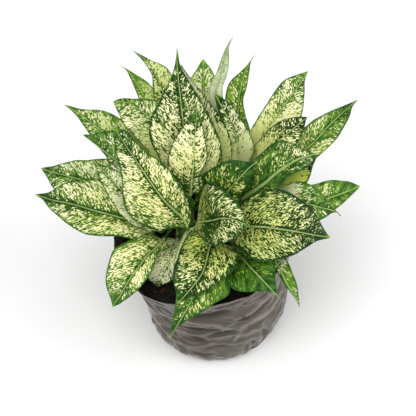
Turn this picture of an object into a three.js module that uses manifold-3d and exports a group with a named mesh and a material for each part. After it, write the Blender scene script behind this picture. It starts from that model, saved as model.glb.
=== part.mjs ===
// Potted chinese evergreen in a soft nursery grow bag. Millimetres, +Z up.
// Origin: centre of the flat bottom of the bag. +X is to the right, +Y is away from the viewer.
import * as THREE from "three";
import { mergeVertices } from "three/addons/utils/BufferGeometryUtils.js";
import Module from "manifold-3d";

const wasm = await Module();
wasm.setup();

// ---- driving dimensions ----
const RIM_HEIGHT = 118.4;      // top edge of the bag
const RIM_RADIUS = 90;         // bag radius at the top edge
const RIM_SHIFT_X = -16.5;     // the bag leans: its mouth sits to the left of its bottom
const WALL = 1.5;              // bag wall
const BAG_FLOOR = 1.6;         // bag floor
const SOIL_TOP = 105;          // mean level of the potting soil
const SOIL_GAP = 0.4;          // between soil and bag
const STEM_RADIUS = 6.6;       // at soil level
const STEM_TIP_RADIUS = 5;     // just under the spear
const STEM_ROOT = 20;          // how deep each stem stands in the soil
const STEM_GAP = 0.35;         // between a stem and the soil round it
const STALK_RADIUS = 1.8;      // leaf stalk
const BLADE_THICKNESS = 1.0;   // leaf blade beside the midrib
const MIDRIB_THICKNESS = 1.5;  // leaf blade on the midrib
const BLADE_BULGE = 0.05;      // how far each half of a blade bows up, per width

// Bag wall, outside: height, radius, shift of the section's centre from the bottom's.
const BAG_SECTIONS = [
  [0, 61.0, 0], [1.6, 64.8, 0], [7, 68.4, 0.2], [16, 72.3, 0.5], [40, 74.8, -1.3],
  [66, 78.5, -4.6], [92, 83.6, -9.4], [RIM_HEIGHT, RIM_RADIUS, RIM_SHIFT_X],
];
const BAG_SIDES = 40;

// name, stem centre x, y, and the height of its tip
const STEMS = [["stem_a", -19, 3, 158], ["stem_b", 36, -12, 158], ["stem_c", -12, 30, 158], ["stem_d", 34, 28, 158]];

// Leaves: name, four control points of the stalk (stem to blade), and the blade's stations from
// base to tip, each as left edge, midrib and right edge.
const LEAVES = [
  ["leaf_01", [[-17.24,-4.3,148.91], [-14.83,-14.26,158.14], [-9.63,-29.03,158.84], [-11.74,-27.04,163.54]],
    [[-13.46,-28.05,163.33,-11.74,-27.04,163.54,-9.86,-26.88,164.18],
     [-21.9,-30.92,166.41,-13.52,-25.2,167.9,-8.22,-24.39,170.02],
     [-27.74,-33.38,170.33,-17.11,-22.65,174.07,-7.92,-19.28,179.63],
     [-39.74,-40.25,174.4,-25.97,-19.4,182.44,-13.52,-10.94,194.14],
     [-61.47,-38.16,184.71,-36.2,-14.08,192.25,-19.03,-7.26,203.59],
     [-73.12,-28.48,196.84,-45.82,-6.05,202.87,-27.81,0.3,214.16],
     [-75.48,-11.47,209.14,-55.06,3.48,212.56,-39.37,8.69,222.18],
     [-77.63,2.94,218.03,-63.54,13.31,220.4,-52.96,17.39,227.44],
     [-82.12,15.75,225.06,-71.42,22.99,226.53,-63.27,26.09,231.89],
     [-83.7,27.77,230.44,-77.38,31.57,231.04,-70.11,34.08,235.55],
     [-83.8,36.04,233.62,-81.1,37.57,233.82,-77.05,38.92,236.25],
     [-83.48,41.67,235.57,-83.48,41.68,235.56,-83.48,41.69,235.54]]],
  ["leaf_02", [[-13.7,-2.17,152.41], [-10.41,-5.39,154.03], [-5.03,-9.09,152.74], [-3.48,-12.15,156.22]],
    [[-3.19,-9.13,155.83,-3.48,-12.15,156.22,-4.5,-15.08,156.97],
     [1.89,10.23,175.74,-2.38,-14.33,158.69,-9.65,-26.29,154.12],
     [3.57,11.12,183.07,-0.69,-17.59,162.43,-7.45,-29.18,157.82],
     [5.35,7.89,191.46,2.25,-22.98,168.68,-3.25,-33.4,164.56],
     [7.2,2.31,200.2,6.03,-29.35,176.23,-0.49,-42.99,170],
     [9.37,-5.09,208.62,10.57,-36.08,184.45,3.39,-53.8,175.67],
     [8.11,-13.52,216.18,15.81,-42.34,192.74,11.62,-64.66,181.26],
     [19.22,-24.48,220.03,21.71,-47.42,200.26,14.5,-72.51,187.95],
     [32.68,-39.14,217.55,29.11,-52.56,204.61,18.2,-76.8,194.55],
     [40.89,-48.81,210.68,36.95,-55.33,204.04,30.74,-72.68,197.26],
     [43.62,-52.22,203.55,41.93,-55.16,200.93,40.44,-63.19,197.51],
     [44.8,-54.1,198.13,44.8,-54.25,198.29,44.79,-54.4,198.45]]],
  ["leaf_03", [[-11.96,5.3,152.41], [-5.51,7.42,154.79], [-10.66,4.53,167.1], [-9.96,5.96,174.11]],
    [[-11.91,5.63,174.38,-9.96,5.96,174.11,-8.11,5.21,174.09],
     [-15.38,5.73,178.62,-9.59,6.7,177.83,-4.62,4.72,177.79],
     [-19.87,6.02,184.91,-9.04,7.89,183.39,0.13,4.29,183.37],
     [-25.28,7.03,195.08,-8.15,10.05,192.63,3.98,5.39,192.76],
     [-31.18,8.7,207.25,-7.1,12.98,203.63,1.27,9.8,203.87],
     [-31.78,11.41,219.04,-6.13,16.6,215.44,6.46,12.28,216.19],
     [-29.35,15.68,230.47,-5.42,20.74,227.09,7.22,16.65,228.16],
     [-24.19,21.24,240.68,-4.87,25.05,237.64,5.62,21.6,238.66],
     [-16.73,27.45,249.54,-3.87,29.41,247.09,3.7,26.63,247.78],
     [-11.44,31.88,256.03,-3.26,33.3,254.66,1.09,31.82,255.29],
     [-6.71,35.47,260.14,-2.97,36.07,259.62,-1.42,35.46,259.98],
     [-2.84,38.17,262.71,-2.84,37.99,262.88,-2.84,37.81,263.05]]],
  ["leaf_04", [[30.48,-17.24,145.41], [26.84,-20.69,147.17], [16.65,-15.12,140.02], [15.01,-19.89,141.73]],
    [[16.87,-21.87,142.92,15.01,-19.89,141.73,13.46,-17.76,141.31],
     [28.6,-30.37,143.23,13.76,-23.5,143.05,3.62,-16.88,147.63],
     [34.2,-37.73,145.07,11.96,-29,144.9,-5.68,-19.58,153.05],
     [36.94,-45.68,149.5,9.4,-38.42,147.51,-13.2,-30.41,155.84],
     [37.87,-54.89,154.01,7.5,-50.17,149.57,-18.49,-45.45,156.84],
     [33.56,-70.6,152.64,5.42,-62.97,150.3,-20.63,-56.77,159.59],
     [18.47,-83.48,148.87,1.58,-75.15,149.24,-22.4,-66.46,161],
     [4.99,-92.52,144.81,-4.76,-84.42,146.59,-25,-73.73,159.87],
     [-6.75,-95.62,140.73,-11.33,-90.9,142.06,-26.12,-82.95,151.86],
     [-15.31,-96.19,136.5,-16.73,-94.54,137.09,-22.95,-91.13,141.18],
     [-19.87,-96.56,133.1,-20.2,-96.21,133.35,-22.22,-95.13,134.75],
     [-22.45,-96.9,130.59,-22.45,-97.02,130.73,-22.45,-97.13,130.87]]],
  ["leaf_05", [[33.78,-19.06,152.41], [32.5,-23.14,153.91], [28.2,-23.78,162.1], [31.7,-25.68,164.25]],
    [[31.93,-24.4,165.74,31.7,-25.68,164.25,31.12,-27.1,163.18],
     [36.51,-17.42,173.8,35.11,-27.59,166.41,31.93,-37.6,162.05],
     [42.67,-11.05,183.01,40.44,-30.27,169.43,35.34,-48.45,162.11],
     [51.96,-8.78,191.8,49.99,-34.12,173.77,44.46,-60.98,163.47],
     [67.63,-6.94,199.24,62.53,-37.62,176.99,55.63,-70.5,164.97],
     [82.9,-9.24,199.08,76.89,-39.98,176.66,72.52,-70.62,165.52],
     [94.3,-11.42,193.34,91.12,-39.46,173.26,91.15,-62.97,164.41],
     [106.28,-14.32,183.7,103.24,-37.33,167.58,103.79,-51.32,162.01],
     [114.51,-17.09,173.04,113.5,-34.01,161.35,114.32,-40.04,158.72],
     [121.46,-21.77,161.98,121.35,-30.6,155.8,121.92,-33.35,154.43],
     [126.27,-24.9,154.35,126.34,-28.05,151.95,126.71,-29.41,151.14],
     [129.56,-26.44,149.53,129.58,-26.26,149.33,129.6,-26.08,149.14]]],
  ["leaf_06", [[31.62,-6.03,152.41], [28.32,-1.54,162.45], [20.78,8.31,164.41], [22.02,7.05,168.65]],
    [[20.23,6.53,170.49,22.02,7.05,168.65,23.25,6.8,166.7],
     [11.76,8.99,176.55,22.73,6.31,171.12,27.65,1.76,166.81],
     [-0.07,12.82,185.8,23.87,5.24,174.84,33.61,-5.34,167.25],
     [0.23,12.6,193.58,25.93,3.57,181.03,40.33,-13.72,170.01],
     [4.04,11.74,201.93,28.77,1.82,188.43,39.44,-12.16,179.65],
     [10.43,10.01,209.74,32.47,0.36,196.32,39.54,-9.31,190.31],
     [16.66,7.9,216.51,36.73,-0.25,204.09,43.26,-8.33,199.47],
     [24.54,7.7,222.7,41.33,0.38,210.93,46.77,-6.15,207.53],
     [36.73,7.11,224.39,46.26,2.4,216.39,50.17,-1.97,214.26],
     [48.51,6.66,222.6,51.01,5.05,219.58,53.05,2.68,218.31],
     [53.59,7.76,222.18,54.43,7.23,220.84,55.24,6.42,220.18],
     [56.73,8.58,221.53,56.74,8.82,221.29,56.76,9.06,221.06]]],
  ["leaf_07", [[-11.2,22.64,152.41], [-10.58,17.01,154.4], [-9.69,10.89,161.62], [-10.08,12.42,167.41]],
    [[-12.01,11.31,168.08,-10.08,12.42,167.41,-8.12,12.87,166.91],
     [-21.34,10.78,174.21,-10.49,14.04,173.59,1.6,13.45,174.07],
     [-31.08,11.09,183.39,-11.14,16.55,182.83,12.09,14.85,184.49],
     [-36.15,14.5,198.67,-12.26,20.95,198.17,19.71,18.48,200.92],
     [-40.52,19.42,216.89,-13.71,26.62,216.43,21.9,23.93,219.85],
     [-48.84,24.42,236.49,-15.38,33.28,236.02,16.97,30.99,239.36],
     [-47.63,32.32,255.79,-17.17,40.55,255.38,7.64,39.07,258.15],
     [-37.75,42.55,273.37,-19,47.83,273.01,-2.31,47.07,274.95],
     [-28.26,52.82,289.36,-20.63,55.04,288.93,-12.57,54.75,289.69],
     [-23.47,60.69,302.16,-21.72,61.36,301.79,-19.23,61.38,301.78],
     [-22.21,65.45,310.56,-21.89,65.8,310.28,-20.47,65.88,310.15],
     [-21.9,68.58,316.13,-21.9,68.86,315.89,-21.91,69.14,315.66]]],
  ["leaf_08", [[-12.83,-1.45,145.41], [-10.09,-3.42,146.6], [-2.71,-4.54,145.59], [-4.07,-7.76,146.33]],
    [[-2.28,-8.58,146,-4.07,-7.76,146.33,-5.66,-6.91,147.18],
     [-3.11,-10.95,146.52,-5.05,-10.09,146.88,-6.73,-9.19,147.77],
     [-2.86,-15.24,146.97,-6.53,-13.6,147.6,-9.83,-11.93,149.3],
     [-4.07,-21.63,147.7,-9.02,-19.5,148.47,-13.53,-17.4,150.7],
     [-6.76,-28.79,148.13,-12.02,-26.63,148.85,-16.99,-24.62,151.15],
     [-10.92,-36.1,147.56,-15.36,-34.28,148.15,-19.7,-32.78,150.08],
     [-14.35,-43.11,145.53,-18.51,-41.69,145.91,-22.61,-40.81,147.4],
     [-16.89,-49.18,141.83,-20.86,-47.97,142.14,-24.86,-47.49,143.35],
     [-19.45,-53.63,137.1,-22.56,-52.81,137.34,-26.14,-52.68,138.23],
     [-22.49,-56.16,132.47,-23.62,-55.97,132.66,-25.5,-56.04,133.13],
     [-23.78,-57.65,129.11,-24.19,-57.68,129.28,-24.76,-57.81,129.53],
     [-24.5,-58.51,126.79,-24.49,-58.65,126.95,-24.49,-58.79,127.11]]],
  ["leaf_09", [[-26.5,2.89,148.91], [-34.56,2.77,151.74], [-35.29,-19.35,144.08], [-39.88,-19.13,151.28]],
    [[-40.97,-21.18,151.19,-39.88,-19.13,151.28,-38.41,-17.64,151.59],
     [-45.24,-23.75,153.45,-42.09,-19.05,154.79,-36.97,-15.3,157.36],
     [-50.73,-26.1,157.42,-45.49,-18.81,160,-36.23,-12.53,165.2],
     [-59.04,-28.17,164.71,-51.34,-18.02,168.57,-41.42,-11.44,174.3],
     [-69.13,-29.45,173.49,-58.69,-16.37,178.57,-45.66,-8,186.44],
     [-78.1,-26.7,183.94,-67.08,-13.56,188.9,-53.87,-5.17,197.15],
     [-85.72,-20.64,194.5,-75.92,-9.52,198.5,-64.64,-2.34,205.77],
     [-92.49,-13.3,203.52,-84.4,-4.6,206.51,-75.68,1.03,212.28],
     [-97.77,-4.61,211.16,-92.37,0.94,212.95,-87.01,4.5,216.56],
     [-101.14,3.95,216.89,-98.95,6.18,217.5,-96.8,7.7,218.92],
     [-104.15,9.12,219.99,-103.34,9.98,220.15,-102.59,10.59,220.6],
     [-106.24,12.56,221.85,-106.25,12.65,221.76,-106.26,12.74,221.67]]],
  ["leaf_10", [[-19.77,31.96,131.41], [-50.23,39.63,142.41], [-39.21,-24.79,145.99], [-49.66,-23.03,154.05]],
    [[-50.39,-25.76,154.56,-49.66,-23.03,154.05,-48.61,-20.73,153.99],
     [-56.97,-30.8,155.83,-53.8,-22.32,157.41,-49.3,-15.51,161.19],
     [-65.61,-36.19,157.92,-60.44,-21.22,161.88,-53.05,-9.06,170.24],
     [-77.07,-37.15,162.48,-72.47,-19.25,167.56,-65.88,-3.43,179.19],
     [-94.08,-38.52,164.74,-87.89,-16.25,171.44,-80.45,4.43,187.44],
     [-113.09,-35.72,165.15,-104.74,-11.5,172.72,-96.29,12.28,191.53],
     [-129.56,-24.4,165.88,-120.84,-4.4,172.28,-112.41,17.03,189.32],
     [-141.06,-11.65,164.79,-135.22,2.73,169.67,-130.28,19.36,182.77],
     [-151.7,1.96,163.08,-147.92,9.5,165.77,-144.51,18.83,173.24],
     [-159.02,14.21,161.87,-157.64,16.26,162.79,-155.85,19.79,165.87],
     [-164.5,20.37,160.11,-163.88,21.02,160.65,-163.15,22.15,161.96],
     [-167.99,24.58,158.89,-167.94,24.3,159.18,-167.89,24.02,159.47]]],
  ["leaf_11", [[-23.46,-2.91,152.41], [-24.81,-4.69,156.43], [-30.77,-8.1,137.47], [-35.15,-18.39,140.09]],
    [[-33.27,-20.22,141.06,-35.15,-18.39,140.09,-36.81,-16.48,139.77],
     [-30.73,-25.76,141.53,-36.69,-22.1,141.05,-43.78,-17.12,143.71],
     [-30.12,-33.25,142.18,-39.21,-27.59,142.38,-52.26,-18.4,149],
     [-39.85,-40.55,144.26,-44.35,-36.34,144.36,-58.9,-22.84,154.77],
     [-43.66,-52.69,144.91,-51.79,-46.25,145.61,-68.28,-34,155.93],
     [-47.38,-65.43,142.09,-58.93,-57.43,142.98,-83.29,-45.37,155.14],
     [-56.41,-75.68,134.56,-67.05,-66.2,136.52,-88.85,-54.85,147.71],
     [-64.4,-78.77,125.69,-73.55,-71.58,127.19,-92.88,-64.71,134.19],
     [-73.97,-79.45,115.83,-78.65,-74.27,117.18,-92.27,-67.22,123.18],
     [-80.37,-78.32,108.12,-83.27,-74.85,108.97,-89.29,-71.46,111.34],
     [-84.59,-76.28,103.18,-85.72,-74.99,103.18,-87.67,-73.93,103.5],
     [-87.07,-75.31,99.6,-87.1,-75,99.24,-87.14,-74.7,98.87]]],
  ["leaf_12", [[-21.02,-4.54,138.41], [-21.79,-7.42,139.46], [-21.83,-6.67,129.5], [-22.39,-9.63,130.45]],
    [[-20.39,-10.48,130.91,-22.39,-9.63,130.45,-24.26,-8.62,130.5],
     [-16.46,-13.92,131.62,-22.87,-12.18,131.28,-29.13,-9.94,132.72],
     [-11.73,-18.97,132.59,-23.62,-16.04,132.44,-35.46,-12.18,135.71],
     [-10.22,-26.34,134.04,-24.99,-22.55,134.06,-40.63,-17.63,138.71],
     [-14.08,-34.15,135.21,-26.86,-30.45,135.3,-43.24,-25.43,140.43],
     [-19.1,-42.53,135.04,-29.28,-39,135.22,-43.75,-34.77,139.92],
     [-21.98,-51.27,132.09,-32.22,-46.91,132.71,-47.39,-42.94,137.63],
     [-25.36,-57.39,126.43,-35.19,-52.39,127.69,-50.69,-48.65,132.36],
     [-29.72,-59.83,120.05,-37.75,-55.29,121.56,-52.69,-51.61,125.77],
     [-36.19,-58.61,115.41,-39.63,-56.47,116.11,-52.28,-53.18,119.56],
     [-39.6,-57.66,112.23,-40.78,-56.82,112.4,-48.48,-54.69,114.43],
     [-41.51,-57.03,110.05,-41.51,-56.91,109.91,-41.52,-56.79,109.76]]],
  ["leaf_13", [[31.89,-18.88,131.41], [26.7,-27.57,134.96], [19.68,-35.7,139.17], [15.92,-45.64,140.64]],
    [[17.77,-47.11,141.37,15.92,-45.64,140.64,14.21,-44.12,140.44],
     [21.12,-52.91,141.61,14.44,-49.59,141.26,8.94,-46.44,142.58],
     [25.39,-61.57,141.73,12.13,-55.52,141.96,1.66,-50.22,145.32],
     [27.97,-74.75,141.35,7.98,-65.38,142.3,-5.95,-58.64,147.21],
     [28.41,-90.33,138.94,2.42,-76.93,140.87,-20.8,-66.41,149.85],
     [13.73,-99.32,134.27,-4.31,-88.3,136.07,-20.8,-80.95,142.21],
     [-0.62,-104.84,125.87,-11.37,-97.01,127.36,-23.22,-91.69,131.41],
     [-12.92,-105.96,116.11,-17.53,-101.98,116.71,-25.37,-98.23,119.1],
     [-21.78,-105.46,106.13,-22.63,-104.33,105.84,-27.46,-101.77,107.09],
     [-26.36,-105.58,97.07,-26.45,-105.1,96.58,-28.89,-103.57,96.97],
     [-28.82,-105.57,90.81,-28.84,-105.19,90.32,-29.79,-104.35,90.18],
     [-30.35,-105.46,86.6,-30.37,-105.08,86.12,-30.39,-104.71,85.64]]],
  ["leaf_14", [[36,-19.91,134.91], [36.01,-23.55,136.19], [34.65,-28.22,132.29], [36.01,-31.53,133.73]],
    [[37.58,-30.96,134.94,36.01,-31.53,133.73,34.22,-31.98,133.01],
     [43.86,-30.36,138.63,37.1,-34.2,134.9,29.2,-37.55,133.29],
     [51.6,-30.51,143.36,38.79,-38.21,136.56,23.72,-45.24,133.81],
     [58.78,-34.32,148.23,41.82,-44.92,139.06,21.34,-55.34,135.29],
     [63.94,-41.32,151.63,45.89,-53.01,141.39,22.76,-66.13,136.86],
     [71.16,-48.17,154.68,51.05,-61.64,142.62,27.16,-77.46,137.35],
     [73.59,-58.43,151.95,57.2,-69.6,141.58,38.13,-85.16,136.27],
     [73.73,-68.14,144.38,63.52,-75.2,137.74,55.02,-83.78,134.33],
     [74.55,-74.23,135.8,69.13,-78.12,132.11,67.37,-80.08,130.91],
     [75.78,-77.33,128.59,73.3,-79.13,126.69,73.15,-79.1,126.27],
     [76.77,-78.73,123.8,75.85,-79.29,122.88,75.61,-79.42,122.4],
     [77.44,-79.48,120.59,77.46,-79.23,120.29,77.48,-78.98,119.99]]],
  ["leaf_15", [[38,-4.87,152.41], [39.74,1.35,154.67], [36.68,6.53,164.64], [41,5.85,169.9]],
    [[39.87,6.75,171.33,41,5.85,169.9,41.52,4.37,168.93],
     [38.68,10.34,178.35,43.68,5.37,173.23,45.92,-1.75,170.37],
     [38.3,14.54,187.7,47.9,4.97,178.08,52.61,-8.46,173.24],
     [42.74,18.13,198.99,55.53,5.25,185.5,62.37,-11.34,180.11],
     [49.2,20.65,207.96,65.31,7.8,193.04,74.21,-5.5,189.21],
     [60.06,26.74,214.35,75.42,14.11,199.29,82.61,5.98,196.89],
     [72.04,36.9,218.51,85.94,21.87,201.82,93.14,14.05,199.29],
     [84.77,43.06,216.03,95.25,29.78,201.7,103.7,20.89,198.67],
     [99.49,43.66,207.39,103.64,36.81,199.49,110.18,29.31,196.36],
     [108.98,44.18,200.14,110.3,42.42,196.73,114.11,38.35,194.31],
     [114.13,46.06,196.45,114.64,46.06,194.5,116.21,45.02,192.85],
     [117.37,47.34,193.93,117.49,48.43,192.86,117.6,49.53,191.79]]],
  ["leaf_16", [[42.65,-15.26,152.41], [56.88,-22.24,166.69], [63.31,22.75,152.39], [68.76,18.16,157.08]],
    [[69.29,18.45,159.39,68.76,18.16,157.08,67.75,17.9,155.24],
     [72.81,20.5,163.52,70.85,16.38,158.91,66.86,11.88,155.78],
     [77.63,22.19,168.88,74.11,13.71,161.59,66.64,3.76,156.8],
     [84.09,20.2,174.61,79.96,9.28,165.79,72.07,-2.39,160.71],
     [92.86,19.31,181.87,87.86,4.17,170.17,78.79,-12.04,164.09],
     [102.39,15.67,186.22,97.95,-0.61,173.44,90.53,-19.1,167.19],
     [115.55,9.21,184.08,109.65,-3.85,173.28,103.79,-19.75,168.2],
     [122.76,5.28,177.02,120.8,-4.24,169.31,120.25,-15.74,165.27],
     [130.89,1.16,166.75,130.35,-1.94,163.86,130.63,-5.68,162.1],
     [137.4,0.8,158.89,137.21,0.6,158.14,137.19,0.14,157.47],
     [140.83,1.51,153.58,140.79,1.72,153.19,140.36,0.75,152.43],
     [142.74,1.99,149.9,142.77,2.25,149.62,142.81,2.52,149.33]]],
  ["leaf_17", [[-18.9,27.32,152.41], [-29.11,23.35,156.25], [-31.9,18.21,173.75], [-32.02,22.22,184.64]],
    [[-34.01,22.96,183.73,-32.02,22.22,184.64,-30.04,20.85,185.83],
     [-40.4,23.34,188.31,-32.02,23.75,188.85,-23.09,21.41,190.7],
     [-47.57,23.82,194.59,-32.27,26.13,195.11,-15.28,23.36,198.22],
     [-51.59,25.94,203.98,-33.39,30.37,205.3,-10.77,28.89,210.51],
     [-51.77,30.56,214.6,-36.1,35.98,216.93,-18.71,36.52,222.78],
     [-60.47,33.12,224.28,-40.91,42.86,228.31,-20.26,46.65,237.54],
     [-67.64,38.34,232.45,-47.7,50.74,237.74,-29.1,56.84,248.67],
     [-72.3,40.99,234.85,-57.5,57.19,242.9,-48.26,63.89,252.83],
     [-78.04,49.28,238.33,-67.23,63.31,245.9,-63.51,66.13,251.67],
     [-79.32,55.02,238.7,-75.96,67.49,246.28,-75.42,68.56,250.19],
     [-83.51,64.24,240.64,-82.11,69.37,245.06,-81.85,69.19,247.82],
     [-86.33,72.21,242.59,-86.18,70.61,244.04,-86.04,69,245.49]]],
  ["leaf_18", [[-26.43,0.6,138.41], [-48.12,-6.4,146.39], [-43.14,18.23,169.47], [-50.21,19.56,175.91]],
    [[-51.11,18.19,174.95,-50.21,19.56,175.91,-49.05,20.54,177.19],
     [-55.95,14.52,175.53,-52.76,20,178.27,-48.43,24.34,182.3],
     [-62.87,10.4,176.82,-56.67,20.86,181.69,-48.34,29.36,189.26],
     [-71.91,9.36,181.04,-63.4,22.84,187.05,-51.79,34.53,197.46],
     [-80.83,13.05,187.1,-71.79,26.18,192.78,-58.18,39.67,204.92],
     [-88.36,21.53,193.84,-81.14,31.05,197.91,-65.68,46.2,211.65],
     [-92.92,34.45,200.43,-90.54,37.15,201.77,-72.46,54.8,217.78],
     [-99.78,43.17,203.7,-99.11,43.71,204.18,-84.85,57.52,216.76],
     [-106.78,50.54,205.3,-106.75,50.35,205.49,-97.83,58.89,213.36],
     [-112.85,56.32,205.81,-112.83,56.12,206,-109.1,59.56,209.36],
     [-116.81,60.29,205.9,-116.78,60.1,206.08,-115.3,61.34,207.51],
     [-119.4,63,205.85,-119.38,62.81,206.03,-119.35,62.62,206.21]]],
  ["leaf_19", [[-4.68,31.67,148.91], [0.78,32.91,150.87], [18.6,33.98,156.3], [15.1,36.17,170.54]],
    [[13.34,39.14,166.35,15.1,36.17,170.54,17.02,32.54,174.84],
     [5.46,36.69,170.05,13.9,36.92,175.46,23.05,33.97,181.34],
     [-4.03,34.26,176.08,12.08,38.11,182.83,29.5,35.95,190.57],
     [-12.64,33.94,187.56,8.99,40.34,195.1,32.31,38.72,204.17],
     [-18.53,36.17,202.17,5.2,43.46,209.79,30.71,42.03,219.39],
     [-21.7,40.76,218.51,0.99,47.45,225.62,25.25,45.91,234.96],
     [-22.31,47.33,235.11,-3.35,52.18,241.3,16.84,50.29,249.69],
     [-20.45,55.23,250.51,-7.46,57.29,255.58,6.27,54.84,262.38],
     [-19.41,62.84,264.21,-11.33,62.68,268.44,-2.84,59.78,273.89],
     [-18.85,69.46,275.1,-14.56,67.62,278.76,-10.19,64.37,283.09],
     [-18.56,74.11,282.18,-16.75,71.2,285.5,-15.17,67.71,289.05],
     [-18.31,77.35,286.82,-18.22,73.72,289.93,-18.13,70.1,293.04]]],
  ["leaf_20", [[-4.4,28.7,141.91], [21.89,24.2,151.25], [38.62,40.24,165.18], [38.43,41.83,176.37]],
    [[36.5,42.17,175.62,38.43,41.83,176.37,40.38,40.66,177.23],
     [33.51,41.99,179.28,38.38,42.34,179.98,43.5,40.57,181.01],
     [29,41.72,184.78,38.26,43.13,185.42,48.22,40.53,186.76],
     [25.7,42.3,193.91,37.99,44.56,194.54,52.06,41.41,196.32],
     [21.78,43.17,204.91,37.5,46.54,205.53,54.06,43.28,207.85],
     [24.81,44.58,215.53,36.54,49.1,217.41,49.74,48.65,221.21],
     [23.89,46.37,225.45,31.84,51.86,228.32,42.22,54.15,233.87],
     [21.66,51.89,236.07,26.97,54.9,238.04,36.67,56.71,243.19],
     [18.05,56.19,244.95,22.25,58.21,246.57,30.23,59.52,251.06],
     [15.59,60.43,251.98,18.43,61.39,253.3,23.05,61.71,256.28],
     [14.56,63.83,256.55,15.89,63.73,257.61,17.63,63.25,259.29],
     [14.2,66.35,259.52,14.19,65.38,260.39,14.18,64.4,261.27]]],
  ["leaf_21", [[-4.71,32.79,138.41], [23.27,43.5,148.9], [24.29,39.11,183.17], [22.07,43.04,195.03]],
    [[23.93,43.05,195.83,22.07,43.04,195.03,20.14,43.7,194.03],
     [23.96,44.89,200.59,21.16,44.6,199.75,18.17,45.3,198.59],
     [25.52,48.02,207.75,19.97,46.99,206.84,14.13,47.91,205.32],
     [25.87,52.45,219.37,18.5,51.18,218.68,10.63,52.48,217.15],
     [25.06,57.61,233.21,17.43,56.57,232.87,8.93,58.2,231.57],
     [23.24,63.51,248.25,16.95,62.9,248.12,8.75,64.67,247.06],
     [22.56,69.97,262.89,16.89,69.83,263.17,9.92,71.84,262.66],
     [26.96,75.79,275.05,21.34,76.47,276.23,16.71,78.65,276.4],
     [28.7,82.81,287.5,24.82,83.25,288.12,21.23,84.85,288.06],
     [28.51,88.71,297.68,27.82,89.16,297.62,25.68,90.49,297.68],
     [31.03,92.66,303.81,30.96,93.02,303.56,30.07,93.88,303.5],
     [33.48,95.21,307.58,33.49,95.55,307.3,33.5,95.88,307.02]]],
  ["leaf_22", [[-18.64,10.4,152.41], [-18.19,19.83,169.41], [3.92,46.28,169.98], [3.95,50.76,188.9]],
    [[1.98,48.87,190.47,3.95,50.76,188.9,5.93,51.95,187.44],
     [-5.33,48.53,194.52,3.96,51.65,192.76,13.15,51.55,191.55],
     [-13.72,48.59,200.57,3.96,53.09,198.55,21.39,51.53,197.7],
     [-19.76,50.31,210.48,3.97,55.74,208.19,26.98,53.2,207.78],
     [-21.73,53.77,222.18,3.96,59.41,219.71,27.89,56.7,219.68],
     [-20.92,58.73,234.62,3.94,64.06,232.06,24.62,61.9,232.25],
     [-14.42,65.44,246.45,3.9,69.5,244.19,17.2,68.52,244.22],
     [-12.12,71.72,257.2,3.84,75.3,255.09,15.96,74.54,255.33],
     [-9.65,78.1,266.48,3.44,81.29,264.72,14.98,80.83,265.31],
     [-3.27,84.92,273.66,3.31,86.68,272.3,11.22,86.44,272.47],
     [0.36,89.37,278.14,3.27,90.52,277.17,6.56,90.85,276.9],
     [3.27,92.47,280.95,3.27,93.19,280.34,3.27,93.91,279.73]]],
  ["leaf_23", [[-6.59,35.06,152.41], [12.41,52.81,161.52], [38.55,44.87,170.76], [38.46,48.51,181.17]],
    [[36.6,49.49,179.76,38.46,48.51,181.17,40.32,46.34,182.94],
     [33.69,50.07,184.42,38.41,50.01,185.51,43.01,47.07,187.53],
     [29.27,51.01,191.47,38.37,52.36,191.99,47.1,48.22,194.42],
     [25.91,54.25,202.84,38.34,56.6,202.71,49.8,51.73,205.42],
     [25.3,59.77,215.99,38.39,62.24,215.37,49.91,57.47,218.08],
     [27.72,67.36,229.5,38.59,69.12,228.77,45.33,65.91,230.79],
     [25.06,74.94,243.86,39,76.83,241.73,43.29,74.35,243.21],
     [29.33,84.85,256.51,41.46,84.59,253.04,46.77,81.08,254.09],
     [40.7,93.03,263.89,44.98,92.14,262.74,48.71,89.28,263.49],
     [48.91,99.16,269.52,49.09,98.44,270,50.56,96.72,270.51],
     [52.54,103.23,273.87,52.52,102.61,274.39,52.79,101.76,274.9],
     [55.11,105.94,276.63,55.09,105.36,277.12,55.06,104.78,277.61]]],
  ["leaf_24", [[-19.23,10.6,145.41], [-19.64,24.47,157.9], [-18.16,35.38,174.44], [-20.25,45.02,190.28]],
    [[-22.16,43.1,191.79,-20.25,45.02,190.28,-18.3,46.47,189.05],
     [-25.66,45.04,196.09,-20.77,47.63,194.65,-15.71,49.03,193.96],
     [-31.09,47.9,202.24,-21.83,51.74,201.05,-12.17,53.38,201.41],
     [-36.43,54.03,211.88,-24.27,59.12,211.21,-11.31,61.5,212.91],
     [-40.92,63.13,222.58,-28.2,68.84,222.42,-14.02,72.06,225.26],
     [-44.96,74.91,233.05,-33.41,80.39,233.19,-19.04,84.23,236.87],
     [-47.49,88.81,242.37,-39.23,92.91,242.45,-25.7,96.9,246.43],
     [-48.61,102.82,249.67,-45.11,105.12,249.65,-33.46,109.66,254.03],
     [-54.8,113.88,254.2,-52.54,116,254.5,-48.82,118.73,256.52],
     [-61.47,122.79,256.7,-60.21,124.22,256.94,-59.37,125.2,257.37],
     [-66.29,128.67,257.82,-65.67,129.52,257.94,-65.41,129.98,258.02],
     [-69.46,132.78,258.45,-69.47,132.92,258.33,-69.48,133.06,258.22]]],
  ["leaf_25", [[32.66,36.52,110.41], [28.05,65.91,120.83], [-21.19,23.79,158.73], [-28.38,41.63,183.7]],
    [[-30.29,40.98,183.66,-28.38,41.63,183.7,-26.42,41.82,184.07],
     [-33.35,43.09,187.52,-29.47,44.42,187.69,-25.42,44.85,188.56],
     [-38.7,46.07,192.97,-31.36,48.79,193.47,-23.66,49.86,195.39],
     [-44.69,52.58,201.57,-35.15,56.56,202.46,-24.94,58.58,205.51],
     [-50.45,62.08,210.92,-40.62,66.64,212.08,-29.61,69.56,215.95],
     [-56.04,74.09,219.76,-47.42,78.41,220.94,-36.49,81.98,225.3],
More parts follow.
